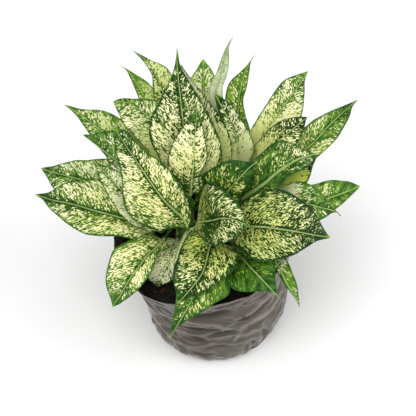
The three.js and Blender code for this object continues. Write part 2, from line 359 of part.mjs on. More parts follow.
     [-60.84,87.73,227.28,-54.81,90.89,228.16,-44.18,94.9,232.78],
     [-66,100.74,232.87,-61.89,102.94,233.47,-53.01,106.6,237.52],
     [-71.01,112.68,236.82,-68.76,114.16,237.25,-65.02,116.21,239.27],
     [-75.62,122.68,239.19,-75.41,122.94,239.19,-74.36,123.79,239.88],
     [-80.39,128.36,239.89,-80.39,128.44,239.82,-80.03,128.86,240.06],
     [-83.9,131.87,240.05,-83.91,131.95,239.98,-83.91,132.04,239.9]]],
  ["leaf_26", [[-24.78,8.4,134.91], [-30.48,13.73,141.93], [-26.49,17.52,163.97], [-45.31,27.58,179.22]],
    [[-46.54,27.45,177.28,-45.31,27.58,179.22,-43.87,27.23,181.59],
     [-53.06,25.41,178.91,-48.87,29.46,182.16,-43.88,31.84,187.1],
     [-62.3,23.62,181.5,-54.33,32.5,186.35,-44.95,38.4,194.61],
     [-74.44,26.01,186.94,-63.69,38.19,192.67,-51.21,46.92,203.52],
     [-86.82,33.26,193.44,-75.24,46.05,199.05,-61.57,56.29,211.14],
     [-98.53,44.57,199.64,-87.92,55.72,204.41,-73.93,66.82,216.99],
     [-108.67,58.41,204.68,-100.54,66.42,208.18,-87.38,77.32,220.16],
     [-117.32,72,208.03,-112.01,76.99,210.37,-102.68,85.08,219.21],
     [-125.12,84.56,209.89,-122.56,86.88,211.22,-118.65,90.44,215.36],
     [-132.26,94.12,210.38,-131.26,94.93,211.07,-129.76,96.34,212.95],
     [-137.52,100,210.15,-137.13,100.18,210.53,-136.51,100.7,211.44],
     [-141.1,103.84,209.82,-141.07,103.64,210,-141.04,103.44,210.18]]],
  ["leaf_27", [[-18.96,33.07,145.41], [-29.06,37.53,165.29], [-47.23,12.1,159.14], [-55.43,12.44,163.04]],
    [[-55.61,9.19,163.81,-55.43,12.44,163.04,-54.97,15.4,162.66],
     [-61.01,0.4,162.04,-59.38,12.57,164.97,-56.23,22.93,170.18],
     [-68.98,-8.86,160.8,-65.46,12.94,167.67,-59.32,31.22,179.02],
     [-81.58,-14.46,161.95,-75.99,14.13,171.58,-67.78,37.65,187.39],
     [-96.46,-13.92,164.65,-89.15,16.59,175.12,-80.51,40.9,192.13],
     [-111.47,-5.71,168.24,-103.82,20.65,177.33,-96.16,41.94,192.55],
     [-125.98,4.43,170.15,-118.54,26.09,177.76,-112.49,42.67,189.76],
     [-139.34,13.2,169.77,-131.88,32.18,176.7,-126.82,45.68,186.66],
     [-149.38,24.59,169.33,-143.77,38.42,174.65,-141.02,46.25,180.56],
     [-156.08,38.52,170.07,-153.2,43.89,172.34,-151.19,48.11,175.8],
     [-160.37,46.49,169.96,-159.17,48.09,170.92,-158.08,49.7,172.61],
     [-163.08,51.42,169.68,-163.02,51.08,170.02,-162.96,50.75,170.35]]],
  ["leaf_28", [[28.27,-10.31,134.91], [-1.27,-3.87,162.13], [46.18,45.32,174.67], [56.5,45.22,187.25]],
    [[55.35,46.34,188.38,56.5,45.22,187.25,57.21,43.67,186.4],
     [54.48,49.03,192.88,58.29,45.18,189.46,60.58,40.08,187.13],
     [54.31,51.93,198.7,61.08,45.27,192.73,65.45,36.28,188.75],
     [58.19,52.92,204.95,66.01,45.9,198.03,71.59,36.06,193.63],
     [63.48,54.95,211.87,72.38,47.66,203.9,79.65,37.01,199.17],
     [69.73,58.64,218.34,79.71,51.02,209.25,88.81,40.12,204.4],
     [77.26,62.9,222.39,87.12,55.86,213.16,96.79,46.48,208.65],
     [85.59,66.5,223.44,93.72,61.32,215.45,101.79,55.18,211.6],
     [93.3,69.95,223.12,99.43,66.84,216.59,104.52,64.43,213.48],
     [100.09,72.34,221.78,103.83,71.55,216.99,106.33,71.86,214.37],
     [104.94,73.61,220.38,106.63,74.75,217.05,107.72,76.45,214.64],
     [108.21,74.4,219.32,108.45,76.9,217.01,108.69,79.39,214.7]]],
  ["leaf_29", [[42.98,-9.54,152.41], [54.69,-5.43,156.76], [68.4,4.38,149.64], [80.49,3.65,154.75]],
    [[80.06,3.39,157.82,80.49,3.65,154.75,80.66,3.67,152.1],
     [82.46,7.66,162.08,83.78,3.41,156.17,84.2,-1.82,151.84],
     [86.06,13.02,167.55,88.84,3.29,158.15,90.12,-8.4,151.85],
     [93.1,17.26,172.69,97.53,3.86,160.95,100.62,-12.45,153.43],
     [102.73,19.99,175.4,108.24,5.86,163.27,113.37,-11.82,155.67],
     [114.17,22.31,175.31,119.89,9.63,164.37,126.19,-6.15,157.66],
     [124.95,27.53,174.65,131.25,14.84,164,136.85,3.94,159.02],
     [134.76,31.89,171.98,141.23,20.74,162.63,145.97,13.57,159.01],
     [144.65,34.77,167.64,149.88,26.9,160.74,153.15,22.98,158.29],
     [152.52,37.84,163.94,156.61,32.35,158.84,158.69,30.43,157.15],
     [159.16,37.88,159.88,160.93,36.16,157.43,162.02,35.64,156.27],
     [163.62,38.05,157.18,163.73,38.76,156.45,163.84,39.48,155.72]]],
  ["leaf_30", [[29.2,-8.59,145.41], [12.4,-0.15,162.33], [56.19,28.07,146.77], [63.03,27.97,154.22]],
    [[62.04,29.9,154.65,63.03,27.97,154.22,63.68,25.71,154.07],
     [61.3,33.47,159.58,65.09,27.91,156.5,67.68,21.11,154.54],
     [60.92,37.91,166.25,68.31,28,159.84,73.69,15.67,155.71],
     [63.67,41.32,174.04,73.96,28.71,165.12,82.19,12.83,159.67],
     [69.68,43.64,180.58,81.16,30.68,170.69,91.44,14.3,165.08],
     [77.92,46.07,185.05,89.17,34.24,175.38,100.49,19.39,170.2],
     [86.7,49.15,187.38,96.98,39.01,178.54,108.09,26.79,173.97],
     [96.13,50.99,186.98,103.77,44.1,180.26,112.21,36.25,176.75],
     [105.06,52.4,185.45,109.58,49.05,181.06,114.71,45.31,178.52],
     [111.6,54.21,184.25,114.05,53.2,181.31,117.02,51.88,179.28],
     [115.84,55.47,183.34,116.9,55.98,181.33,118.29,56.26,179.63],
     [118.58,56.35,182.72,118.74,57.83,181.28,118.9,59.3,179.84]]],
  ["leaf_31", [[-7.61,23.54,138.41], [7.43,1.41,162.49], [45.08,36.35,165.69], [49.63,44.17,176.89]],
    [[47.76,45.27,176.52,49.63,44.17,176.89,51.35,42.45,177.52],
     [43.48,48.48,181.53,50.96,46.54,180.31,58.29,41.85,180.07],
     [39.66,53.62,188.85,53.24,50.16,185.37,66.93,41.48,183.81],
     [41.78,61.36,198.92,57.77,56.41,193.55,75.56,44.07,190.55],
     [51.48,69.11,208.09,64.24,64.34,202.85,80.79,51.88,199.44],
     [60.81,79.96,218.9,72.79,73.38,211.85,86.38,60.41,207.6],
     [67.96,88.08,226.48,81.96,83.28,219.88,100.12,71.43,216.54],
     [77.48,99.9,234.72,89.84,93.61,226.82,104.08,82.09,222.77],
     [85.94,108.43,239.42,98.11,103.16,231.93,105.89,98.22,229.7],
     [96.74,113.97,240.6,104.29,111.63,235.87,106.84,111.01,234.63],
     [105.05,117.65,240.79,108.14,117.52,238.35,108.83,118.28,237.3],
     [110.46,120.35,240.97,110.58,121.55,239.94,110.69,122.75,238.9]]],
  ["leaf_32", [[40.03,32.3,152.41], [49.75,39.24,156.6], [57.98,51.74,160.02], [69.56,53.37,164.85]],
    [[68.85,53.69,167.22,69.56,53.37,164.85,70.09,52.69,163.04],
     [71.8,57.72,171.8,74.23,53.94,166.77,76.03,49.13,163.7],
     [75.73,63.26,178.08,81.14,55.27,169.74,85.38,45.41,165.12],
     [83.44,69.1,185.17,92.27,58.7,174.78,99.55,46.3,169.62],
     [93.71,75.18,191.38,104.92,64.71,180.72,113.8,53.47,176.24],
     [105.19,81.85,196.1,117.63,73.23,186.66,128.04,63.72,183.1],
     [116.74,90.82,200.57,128.22,84.12,192.72,140.38,74.81,189.56],
     [131.06,99.32,202.67,138.57,94.26,196.67,147.82,86.64,193.82],
     [143.61,106.41,203.07,148.08,103.77,199.3,154.34,99.17,197.27],
     [153.77,112.6,202.99,155.78,111.69,200.84,157.59,110.89,199.74],
     [160.25,116.79,202.7,161.05,116.88,201.47,161.81,117.01,200.63],
     [164.49,119.57,202.39,164.6,120.3,201.73,164.7,121.03,201.07]]],
  ["leaf_33", [[43.05,-15.59,134.91], [52.07,-20.19,138.46], [69.81,-19.93,134.17], [72.01,-30.36,135.41]],
    [[73.89,-29.91,135.92,72.01,-30.36,135.41,70.05,-30.75,135.45],
     [75.08,-32.71,136.48,72.61,-33.32,135.8,70.44,-33.79,135.83],
     [78.67,-36.45,137.66,73.62,-37.76,136.2,69.45,-38.76,136.22],
     [83,-43.02,138.63,75.58,-45.12,136.29,70.67,-46.57,136.21],
     [87.88,-50.78,138.33,78.51,-53.68,135.11,74.96,-55.03,134.93],
     [91.1,-59.09,134.77,82.46,-62.01,131.6,79.12,-63.7,131.25],
     [94.76,-65.18,128.58,86.97,-68.3,125.51,84.8,-69.78,125.07],
     [97.2,-68.99,120.81,91.56,-71.72,118.41,90.43,-72.68,118.07],
     [97.92,-72.34,112.01,95.15,-73.44,111.05,94.51,-73.93,110.87],
     [98.89,-73.67,105.1,97.54,-74.16,104.67,97.16,-74.45,104.56],
     [99.45,-74.2,100.48,98.96,-74.37,100.33,98.72,-74.54,100.27],
     [99.83,-74.41,97.41,99.83,-74.41,97.41,99.83,-74.41,97.41]]],
  ["leaf_34", [[-15.14,9.67,141.91], [-8.48,21.18,146.57], [3.21,30.49,155.5], [2.73,40.57,165.33]],
    [[0.77,40.1,165.71,2.73,40.57,165.33,4.65,40.44,165.55],
     [-8.44,39.51,169.68,2.64,42.44,167.18,13.47,42.06,168.11],
     [-18.03,39.98,174.72,2.51,45.32,169.89,22.55,44.7,171.61],
     [-25.11,43.53,180.97,2.27,50.3,174.21,28.96,49.62,176.58],
     [-27.47,49.9,186.68,1.97,56.6,178.99,30.63,56.06,181.68],
     [-26.47,58.2,191.35,1.63,63.84,183.55,28.94,63.58,186.28],
     [-22.89,67.51,194.38,1.27,71.52,187.3,24.69,71.58,189.78],
     [-17.74,76.61,195.55,0.92,78.98,189.86,18.96,79.27,191.86],
     [-11.54,85.02,195.08,0.58,86.06,191.3,12.27,86.4,192.64],
     [-5.71,91.66,193.66,0.31,91.95,191.78,6.1,92.18,192.46],
     [-1.97,95.85,192.36,0.12,95.89,191.73,2.13,95.97,191.98],
     [0,98.53,191.51,0,98.51,191.53,0,98.48,191.55]]],
  ["leaf_35", [[30.65,34.72,148.91], [29.17,37.68,150.07], [25.82,39.87,153.09], [26.92,42.18,155.48]],
    [[25.02,42.66,155.89,26.92,42.18,155.48,28.38,41.42,155.54],
     [19.05,48.16,158.24,27.98,44.41,157.82,34.85,39.31,159.71],
     [13.11,55.18,161.62,29.63,47.87,161.19,42.46,38.32,165.22],
     [10.53,63.85,166.76,32.54,53.98,166.31,49.9,41.67,172.26],
     [12.68,72.57,171.86,36.32,61.9,171.4,55.43,49.59,178.42],
     [18.22,81.39,175.59,40.74,71.19,175.15,59.59,60.79,182.35],
     [26.07,89.71,176.86,45.39,80.93,176.5,62.21,73.42,182.87],
     [34.78,96.65,175.68,49.66,89.91,175.42,63.1,85.16,180.21],
     [43.76,102.08,172.81,53.42,97.77,172.64,62.36,95.26,175.55],
     [51.51,105.86,169.47,56.31,103.81,169.33,60.81,102.81,170.62],
     [56.46,108.24,166.84,58.13,107.63,166.71,59.72,107.41,167.05],
     [59.3,109.93,164.95,59.31,110.08,164.81,59.31,110.22,164.67]]],
  ["leaf_36", [[-17.16,35.45,148.91], [-19.21,37.62,149.96], [-16.86,34.93,156.28], [-18.41,36.78,158.32]],
    [[-19.62,35.51,158.51,-18.41,36.78,158.32,-16.88,37.6,158.76],
     [-26.35,31.09,163.19,-20.22,38.94,160.72,-12.45,44.54,161.55],
     [-34.51,27.62,169.26,-23.01,42.26,164.18,-8.68,52.98,165.45],
     [-43.56,28.87,176.82,-27.87,48.04,169.52,-8.84,62.53,171.15],
     [-51.53,35.5,183.47,-34.06,55.41,175.03,-13.72,71.15,176.83],
     [-58.66,45.88,188.17,-41.19,63.9,179.61,-21.95,79.08,181.39],
     [-64.55,58.39,190.01,-48.7,72.83,182.35,-32.33,86.03,183.94],
     [-68.69,70.96,188.94,-55.8,81.26,183,-43.29,91.56,184.25],
     [-71.03,82.79,185.69,-62.28,88.96,181.94,-54.23,95.67,182.77],
     [-71.94,92.28,181.7,-67.45,95.1,179.96,-63.48,98.4,180.42],
     [-72.4,98.22,178.65,-70.8,99.08,178.14,-69.43,100.15,178.37],
     [-73,101.8,176.61,-72.99,101.67,176.72,-72.98,101.55,176.84]]],
  ["leaf_37", [[-19.1,27.27,145.41], [-22.85,25.83,146.82], [-27.58,21.23,145.16], [-31.02,22.7,147.19]],
    [[-31.64,21.3,146.97,-31.02,22.7,147.19,-30.18,23.87,147.89],
     [-37.56,15.17,150.6,-34.55,24.2,149.34,-30.6,32.15,150.51],
     [-45.78,9.42,155.22,-40,26.53,152.26,-32.72,41.78,153.96],
     [-57.71,7.8,160.56,-49.47,30.57,156.16,-39.95,51.18,158.28],
     [-71.03,11.45,163.99,-61.34,35.63,158.97,-51.4,57.97,161.24],
     [-84.7,18.58,164.23,-74.5,41.25,159.39,-65.34,62.71,161.53],
     [-97.02,27.67,161.01,-87.49,46.8,157,-79.89,65.33,158.81],
     [-106.78,37.18,155.46,-98.97,51.71,152.59,-93.26,66.03,153.96],
     [-114.19,46.68,148.7,-108.9,55.95,147.02,-105.26,65.21,147.93],
     [-119.27,54.76,142.3,-116.57,59.24,141.61,-114.78,63.75,142.14],
     [-122.43,59.9,137.77,-121.46,61.33,137.66,-120.83,62.79,137.95],
     [-124.65,62.86,134.71,-124.63,62.69,134.88,-124.61,62.52,135.06]]],
  ["leaf_38", [[41.6,27.61,145.41], [44.66,27.46,146.49], [45.17,25.96,135.43], [47.34,27.32,137.43]],
    [[46.14,28.46,138.14,47.34,27.32,137.43,48.05,26.15,137.23],
     [44.23,36.38,140.91,49.82,28.87,139.79,53.17,21.24,141.19],
     [43.55,45.79,144.65,53.75,31.33,143.02,60.24,16.9,146.38],
     [47.51,55.4,149.37,60.85,35.77,147.28,70.4,16.9,152.5],
     [56.28,63.03,152.03,70.15,41.58,149.76,82.06,22.26,155.89],
     [67.66,68.78,150.43,80.41,47.99,148.42,93.58,30.7,154.12],
     [79.14,71.88,144.92,89.83,53.87,143.43,102.31,39.79,147.81],
     [89.32,72.56,137.72,97.5,58.66,136.72,107.65,48.19,139.69],
     [98.44,71.52,130.09,103.75,62.55,129.48,110.55,55.97,131.17],
     [105.76,69.81,123.41,108.41,65.45,123.05,111.85,62.32,123.75],
     [110.39,68.67,118.81,111.32,67.27,118.59,112.54,66.3,118.71],
     [113.17,68.27,115.71,113.19,68.43,115.54,113.21,68.59,115.38]]],
  ["leaf_39", [[29.07,33.93,141.91], [26.14,37.45,150.17], [17.13,44.89,144.51], [17.38,47.97,146.68]],
    [[15.33,48.02,146.89,17.38,47.97,146.68,19.28,47.56,146.98],
     [6.08,51.15,151.1,17.67,51.45,149.2,28.39,49.82,150.26],
     [-3.32,56.42,156.54,18.12,56.86,152.71,37.99,54.06,154.6],
     [-9.59,66.42,163.19,18.91,66.38,157.64,45.41,63.03,160.23],
     [-10.59,79.75,168.06,19.91,78.56,161.68,48.42,75.5,164.59],
     [-7.91,94.92,169.36,21.05,92.35,163.17,48.27,90.07,166.03],
     [-2.6,109.48,166.46,22.19,106.1,161.41,45.58,104.71,163.9],
     [4.11,121.43,160.72,23.18,118.18,157.19,41.24,117.49,159.1],
     [11.67,130.87,153.63,24.04,128.5,151.6,35.75,128.26,152.83],
     [18.56,137.64,147,24.69,136.39,146.09,30.49,136.34,146.71],
     [22.97,141.83,142.34,25.1,141.38,142.06,27.11,141.37,142.29],
     [25.37,144.61,139.22,25.37,144.59,139.24,25.37,144.58,139.25]]],
  ["leaf_40", [[-12.67,37.68,141.91], [-13.01,41.6,143.29], [-12.6,44.16,147.48], [-13.48,46.94,150.45]],
    [[-15.42,46.29,150.46,-13.48,46.94,150.45,-11.6,47.05,150.89],
     [-23.78,45.92,153.62,-14.27,49.44,153.18,-5.08,50.36,155.05],
     [-33.16,46.84,158.03,-15.51,53.36,157.09,1.43,55.33,160.68],
     [-41.32,51.86,164.41,-17.74,60.4,163,4.64,63.61,168.25],
     [-46.15,60.94,170.32,-20.72,69.8,168.63,2.96,74.36,174.94],
     [-48.7,73.1,173.73,-24.3,81.07,171.97,-2.29,87.17,178.49],
     [-49.12,86.42,173,-28.02,92.77,171.47,-9.67,99.75,176.96],
     [-47.63,98.42,168.86,-31.27,103,167.72,-17.41,109.35,171.55],
     [-44.62,108.65,162.98,-33.97,111.48,162.27,-25.09,115.96,164.47],
     [-41.26,116.42,157.19,-35.97,117.77,156.86,-31.59,120.08,157.84],
     [-39.05,121.21,153.02,-37.21,121.67,152.9,-35.69,122.49,153.22],
     [-38,124.16,150.15,-38,124.16,150.15,-38,124.16,150.15]]],
  ["leaf_41", [[-19.58,31.9,138.41], [-24.49,33.14,140.19], [-28.5,33.86,137.42], [-29.99,34.51,138.83]],
    [[-30.83,32.26,139.21,-29.99,34.51,138.83,-28.85,36.34,138.94],
     [-36.62,26.79,142,-32.77,35.73,141.58,-27.66,42.76,143.46],
     [-44.36,21.45,145.82,-37.22,37.69,145.33,-28.21,50.61,149.43],
     [-54.95,19.8,150.79,-45.42,41.31,150.16,-34.78,59.04,156.44],
     [-66.64,23.12,153.04,-56.3,46.13,152.42,-47.43,66.29,159.71],
     [-77.79,29.35,149.92,-67.95,51.3,149.63,-62.18,71.64,156.2],
     [-86.31,36.81,142.73,-78.13,55.8,142.78,-74.78,73.86,147.79],
     [-92.15,44.52,134.29,-86.15,59.33,134.48,-84.39,73.54,137.96],
     [-96.27,52.39,125.8,-92.61,62.17,125.95,-91.88,71.56,127.97],
     [-99.1,59.25,118.58,-97.41,64.27,118.55,-97.2,69.08,119.37],
     [-100.94,63.66,113.65,-100.4,65.58,113.47,-100.38,67.43,113.56],
     [-102.29,66.15,110.3,-102.32,66.42,110.02,-102.34,66.69,109.74]]],
  ["leaf_42", [[35.42,35.58,141.91], [36.11,39.25,143.22], [38.44,36.28,129.02], [40.79,38.23,131.53]],
    [[39.2,39.57,131.92,40.79,38.23,131.53,41.98,36.63,131.68],
     [35.26,46.34,136.37,43,40.07,134.01,48.84,32.6,134.33],
     [32.61,54.87,142.19,46.54,43.01,137.37,57.41,29.31,137.94],
     [35.74,65.22,148.9,53.04,48.41,141.65,67.64,30.29,142.47],
     [45.41,75.53,151.85,61.64,55.55,143.53,77.56,36.29,144.43],
     [57.75,84.14,148.13,70.85,63.18,140.77,86.22,44.99,141.46],
     [68.97,88.86,139.78,78.91,69.85,134.29,92.13,54.26,134.7],
     [78.19,90.2,130.23,85.28,75.13,126.48,95.44,63.07,126.68],
     [86.07,89.33,120.67,90.42,79.38,118.47,96.96,71.51,118.55],
     [92.16,87.53,112.53,94.24,82.53,111.52,97.46,78.6,111.55],
     [95.92,86.26,107.06,96.62,84.5,106.75,97.73,83.11,106.78],
     [98.16,85.79,103.48,98.15,85.76,103.52,98.15,85.73,103.55]]],
  ["leaf_43", [[40.24,23.13,134.91], [46.34,18.36,137.63], [54.46,8.5,127.83], [59.83,7.83,134]],
    [[59.7,9.89,134.31,59.83,7.83,134,59.43,5.96,134.13],
     [61.31,16.49,137.76,61.78,7.59,136.35,60.1,-0.53,136.98],
     [64.57,23.63,142.5,65.04,7.19,139.58,62,-7.86,140.96],
     [72.77,28.08,148.16,71.58,6.38,143.41,68.33,-13.75,145.83],
     [85.51,28.06,148.11,80.5,5.28,142.93,78.76,-16.59,145.19],
     [95.59,25.49,141.28,88.38,4.31,137.01,86.9,-16.64,138.04],
     [101.92,21.27,132.5,94.37,3.57,129.09,92.45,-14.37,129.28],
     [105.62,16.24,123.71,98.9,3.01,121.1,96.74,-10.73,120.86],
     [107.44,10.83,115.23,102.53,2.56,113.5,100.62,-6.25,113.13],
     [107.9,6.16,108.03,105.22,2.23,107.15,104.03,-2.08,106.88],
     [107.89,3.34,103.19,106.9,2.02,102.87,106.43,0.55,102.76],
     [107.98,1.88,100,107.98,1.88,100,107.98,1.88,100]]],
  ["leaf_44", [[-25.63,7.69,127.91], [-30.46,11.11,129.99], [-36.19,18.04,127.38], [-40.87,18.46,131.54]],
    [[-40.72,16.23,132.06,-40.87,18.46,131.54,-40.54,20.53,131.53],
     [-43.23,10.04,135.8,-43.75,18.72,134.21,-42.42,26.72,134.81],
     [-47.67,3.24,140.89,-48.37,19.14,137.86,-46.06,33.82,139.23],
     [-57.01,-1.13,147.12,-56.97,19.9,142.57,-54.44,39.45,144.7],
     [-70.54,-1.51,149.82,-68.51,20.9,144.62,-66.84,41.97,147.14],
     [-84.57,0.68,145.74,-80.8,21.95,141.44,-80.33,42.11,143.76],
     [-95.26,4.55,137.2,-91.36,22.83,134.29,-91.67,40.19,136.12],
     [-102.7,9.33,127.67,-99.61,23.51,125.85,-100.26,36.93,127.16],
     [-108.16,14.75,118.33,-106.22,24.05,117.3,-106.87,32.8,118.06],
     [-112.02,19.72,110.47,-111.11,24.44,109.93,-111.54,28.86,110.21],
     [-114.45,22.91,105.19,-114.17,24.67,104.89,-114.35,26.33,104.85],
     [-116.1,24.64,101.68,-116.12,24.83,101.48,-116.15,25.01,101.28]]],
  ["leaf_45", [[-7.12,36.23,134.91], [-3.75,40.52,136.82], [4.69,45.51,132.48], [3.67,49.98,136]],
    [[1.65,49.49,136.03,3.67,49.98,136,5.53,49.99,136.47],
     [-5.81,51.08,138.8,2.95,53.16,138.65,10.99,53.34,140.8],
     [-14.46,54.47,142.41,1.78,58.34,142.07,16.53,59.29,146.42],
     [-22.08,63,145.99,-0.41,68,145.46,18.77,71.38,151.94],
     [-26.49,74.97,144.56,-3.17,80.13,144.2,16.64,87.05,151.02],
     [-27.96,86.5,137.28,-5.77,91.62,137.37,12.44,100.46,143.03],
     [-26.85,96.21,127.28,-7.9,101.02,127.69,7.29,109.75,132.01],
     [-24.07,104.28,117.04,-9.57,108.36,117.56,1.84,115.69,120.66],
     [-20.23,111.4,107.28,-10.92,114.31,107.72,-3.7,119.36,109.65],
     [-16.5,117.19,99.15,-11.92,118.75,99.42,-8.43,121.37,100.35],
     [-14.13,120.96,93.69,-12.56,121.53,93.79,-11.36,122.47,94.11],
     [-12.96,123.32,90,-12.96,123.32,90,-12.96,123.32,90]]],
  ["leaf_46", [[31.54,35.73,127.91], [30.3,39.61,129.34], [26.05,45.48,124.69], [27.58,48.18,127.69]],
    [[25.62,48.57,128.32,27.58,48.18,127.69,29.21,47.39,127.54],
     [20.8,52.85,132.27,28.85,50.42,130.3,35.6,46.4,130.48],
     [16.25,59.18,137.62,30.93,54.08,133.84,43.49,46.57,134.48],
     [16.17,69.44,143.81,34.9,61.1,138.07,51.83,51.35,139.24],
     [21.68,82.31,144.82,40.2,70.48,138.54,58.78,60.67,139.83],
     [28.88,92.9,138.36,45.36,79.59,133.35,63.3,70.63,134.23],
     [35.88,99.13,128.75,49.51,86.89,125.14,64.94,79.24,125.63],
     [42.42,102.25,118.88,52.69,92.49,116.4,64.57,86.54,116.63],
     [48.69,103.42,109.37,55.24,96.96,107.87,62.91,93.06,107.94],
     [53.93,103.5,101.4,57.13,100.27,100.67,60.92,98.34,100.65],
     [57.21,103.44,96.06,58.31,102.34,95.78,59.62,101.69,95.74],
     [59.07,103.62,92.54,59.07,103.67,92.49,59.07,103.72,92.45]]],
  ["leaf_47", [[-18.51,35.01,124.41], [-21.9,37.61,125.91], [-26.46,39.55,127.35], [-28.43,42.64,130]],
    [[-29.87,41.23,130.52,-28.43,42.64,130,-26.8,43.65,130.03],
     [-36.34,39.82,134.93,-30.32,45.6,132.68,-23.54,49.78,132.83],
     [-44.85,40.22,140.67,-33.36,50.35,136.15,-20.85,58.15,136.47],
     [-55.29,47.22,146.47,-38.95,59.1,139.81,-22.35,69.6,140.3],
     [-65.21,60.02,146.52,-46.03,70.18,139.39,-28.31,81.63,139.83],
     [-72.5,73.44,139.4,-53.01,81.12,133.42,-36.14,92.06,133.62],
     [-76.17,84.75,128.61,-58.89,90.33,124.13,-44.34,99.6,124.11],
     [-77.08,93.78,117.18,-63.53,97.58,114.06,-52.22,104.6,113.93],
     [-76.16,101.24,106.01,-67.28,103.46,104.12,-59.9,107.92,103.97],
     [-74.52,106.84,96.55,-70.09,107.86,95.65,-66.4,110.02,95.56],
     [-73.39,110.28,90.19,-71.85,110.61,89.89,-70.57,111.35,89.85],
     [-72.98,112.38,86,-72.98,112.38,86,-72.98,112.38,86]]],
];

// ---- helpers ----
const V = (x, y, z) => new THREE.Vector3(x, y, z);

// A closed solid through rings of equal count. An end is closed with a fan.
function loft(rings, startPoint, endPoint) {
  const n = rings[0].length, pos = [], idx = [];
  rings.forEach((r) => r.forEach((p) => pos.push(p.x, p.y, p.z)));
  for (let i = 0; i + 1 < rings.length; i++) {
    for (let k = 0; k < n; k++) {
      const a = i * n + k, b = i * n + ((k + 1) % n), c = a + n, d = b + n;
      idx.push(a, b, d, a, d, c);
    }
  }
  const fan = (ring, point, flip) => {
    const at = pos.length / 3;
    pos.push(point.x, point.y, point.z);
    for (let k = 0; k < n; k++) {
      const a = ring * n + k, b = ring * n + ((k + 1) % n);
      flip ? idx.push(at, b, a) : idx.push(at, a, b);
    }
  };
  fan(0, startPoint, true);
  fan(rings.length - 1, endPoint, false);
  const g = new THREE.BufferGeometry();
  g.setAttribute("position", new THREE.Float32BufferAttribute(pos, 3));
  g.setIndex(idx);
  return facingOut(g);
}

function facingOut(g) {
  const p = g.getAttribute("position"), ix = g.getIndex().array;
  const a = V(), b = V(), c = V();
  let volume = 0;
  for (let i = 0; i < ix.length; i += 3) {
    a.fromBufferAttribute(p, ix[i]); b.fromBufferAttribute(p, ix[i + 1]); c.fromBufferAttribute(p, ix[i + 2]);
    volume += a.dot(b.clone().cross(c)) / 6;
  }
  if (volume < 0) {
    const out = Array.from(ix);
    for (let i = 0; i < out.length; i += 3) [out[i + 1], out[i + 2]] = [out[i + 2], out[i + 1]];
    g.setIndex(out);
  }
  g.computeVertexNormals();
  return g;
}

function solidOf(geometry) {
  let g = geometry.clone();
  g.deleteAttribute("normal");
  if (g.hasAttribute("uv")) g.deleteAttribute("uv");
  g = mergeVertices(g, 1e-4);
  return new wasm.Manifold(new wasm.Mesh({
    numProp: 3,
    vertProperties: new Float32Array(g.getAttribute("position").array),
    triVerts: new Uint32Array(g.getIndex().array),
  }));
}

function geometryOf(solid) {
  const m = solid.getMesh();
  const g = new THREE.BufferGeometry();
  g.setAttribute("position", new THREE.Float32BufferAttribute(Array.from(m.vertProperties), 3));
  g.setIndex(Array.from(m.triVerts));
  g.computeVertexNormals();
  return g;
}

// ---- the bag ----
function sectionAt(z) {
  const s = BAG_SECTIONS;
  let i = 0;
  while (i + 2 < s.length && z > s[i + 1][0]) i++;
  const t = THREE.MathUtils.clamp((z - s[i][0]) / (s[i + 1][0] - s[i][0]), 0, 1);
  return [s[i][1] + (s[i + 1][1] - s[i][1]) * t, s[i][2] + (s[i + 1][2] - s[i][2]) * t];
}
const bump = (a, at, width) => {
  const d = Math.atan2(Math.sin(a - at), Math.cos(a - at));
  return Math.exp(-((d / width) ** 2));
};
// the soft rim dips at the left front and stands up a little at the right front
function rimWave(a) {
  return -4.2 * bump(a, -2.06, 0.42) + 2.6 * bump(a, -1.02, 0.36) + 0.9 * Math.sin(3 * a + 0.7);
}
function sway(a, z) {
  const k = z / RIM_HEIGHT;
  // pushed in at the right front, near the bottom
  const dent = -5.5 * bump(a, -0.66, 0.46) * Math.max(0, 1 - z / 46);
  return dent + (0.7 * Math.sin(3 * a + 1.1) + 0.5 * Math.sin(5 * a - 0.6 + 1.5 * k)) * (0.35 + 0.65 * k);
}
function bagRing(z, inset, waveShare) {
  const [r, cx] = sectionAt(z);
  const ring = [];
  for (let k = 0; k < BAG_SIDES; k++) {
    const a = (k / BAG_SIDES) * 2 * Math.PI;
    const rr = r - inset + (z > 2 ? sway(a, z) : 0);
    ring.push(V(cx + rr * Math.cos(a), rr * Math.sin(a), z + waveShare * rimWave(a)));
  }
  return ring;
}
const outer = [0, 1.6, 7, 16, 40, 66, 92].map((z) => bagRing(z, 0, 0));
outer.push(bagRing(RIM_HEIGHT, 0, 1));
const inner = [bagRing(RIM_HEIGHT, WALL, 1), ...[92, 66, 40, 16, 7].map((z) => bagRing(z, WALL, 0)), bagRing(BAG_FLOOR + 0.001, WALL + 1.6, 0).map((p) => p.setZ(BAG_FLOOR))];
const bag = loft([...outer, ...inner], V(0, 0, 0), V(0, 0, BAG_FLOOR));

// ---- the soil ----
function soilHeight(x, y) {
  return SOIL_TOP + 1.2 * Math.sin(x * 0.11 + 1) * Math.cos(y * 0.09) + 0.8 * Math.sin(x * 0.05 - y * 0.14);
}
const soilSide = [[2.2, 2.2], [7, 0], [16, 0], [40, 0], [66, 0], [92, 0]].map(([z, more]) => bagRing(z, WALL + SOIL_GAP + more, 0));
const soilTop = [1, 0.82, 0.6, 0.36, 0.14].map((f, i) => {
  const edge = bagRing(SOIL_TOP, WALL + SOIL_GAP + (i === 0 ? 1.5 : 0), 0);
  const cx = sectionAt(SOIL_TOP)[1];
  return edge.map((p) => {
    const x = cx + (p.x - cx) * f, y = p.y * f;
    return V(x, y, soilHeight(x, y) - (i === 0 ? 1.2 : 0));
  });
});
const soilCentre = V(sectionAt(SOIL_TOP)[1], 0, soilHeight(sectionAt(SOIL_TOP)[1], 0));
let soil = solidOf(loft([...soilSide, ...soilTop], V(0, 0, 2.2), soilCentre));
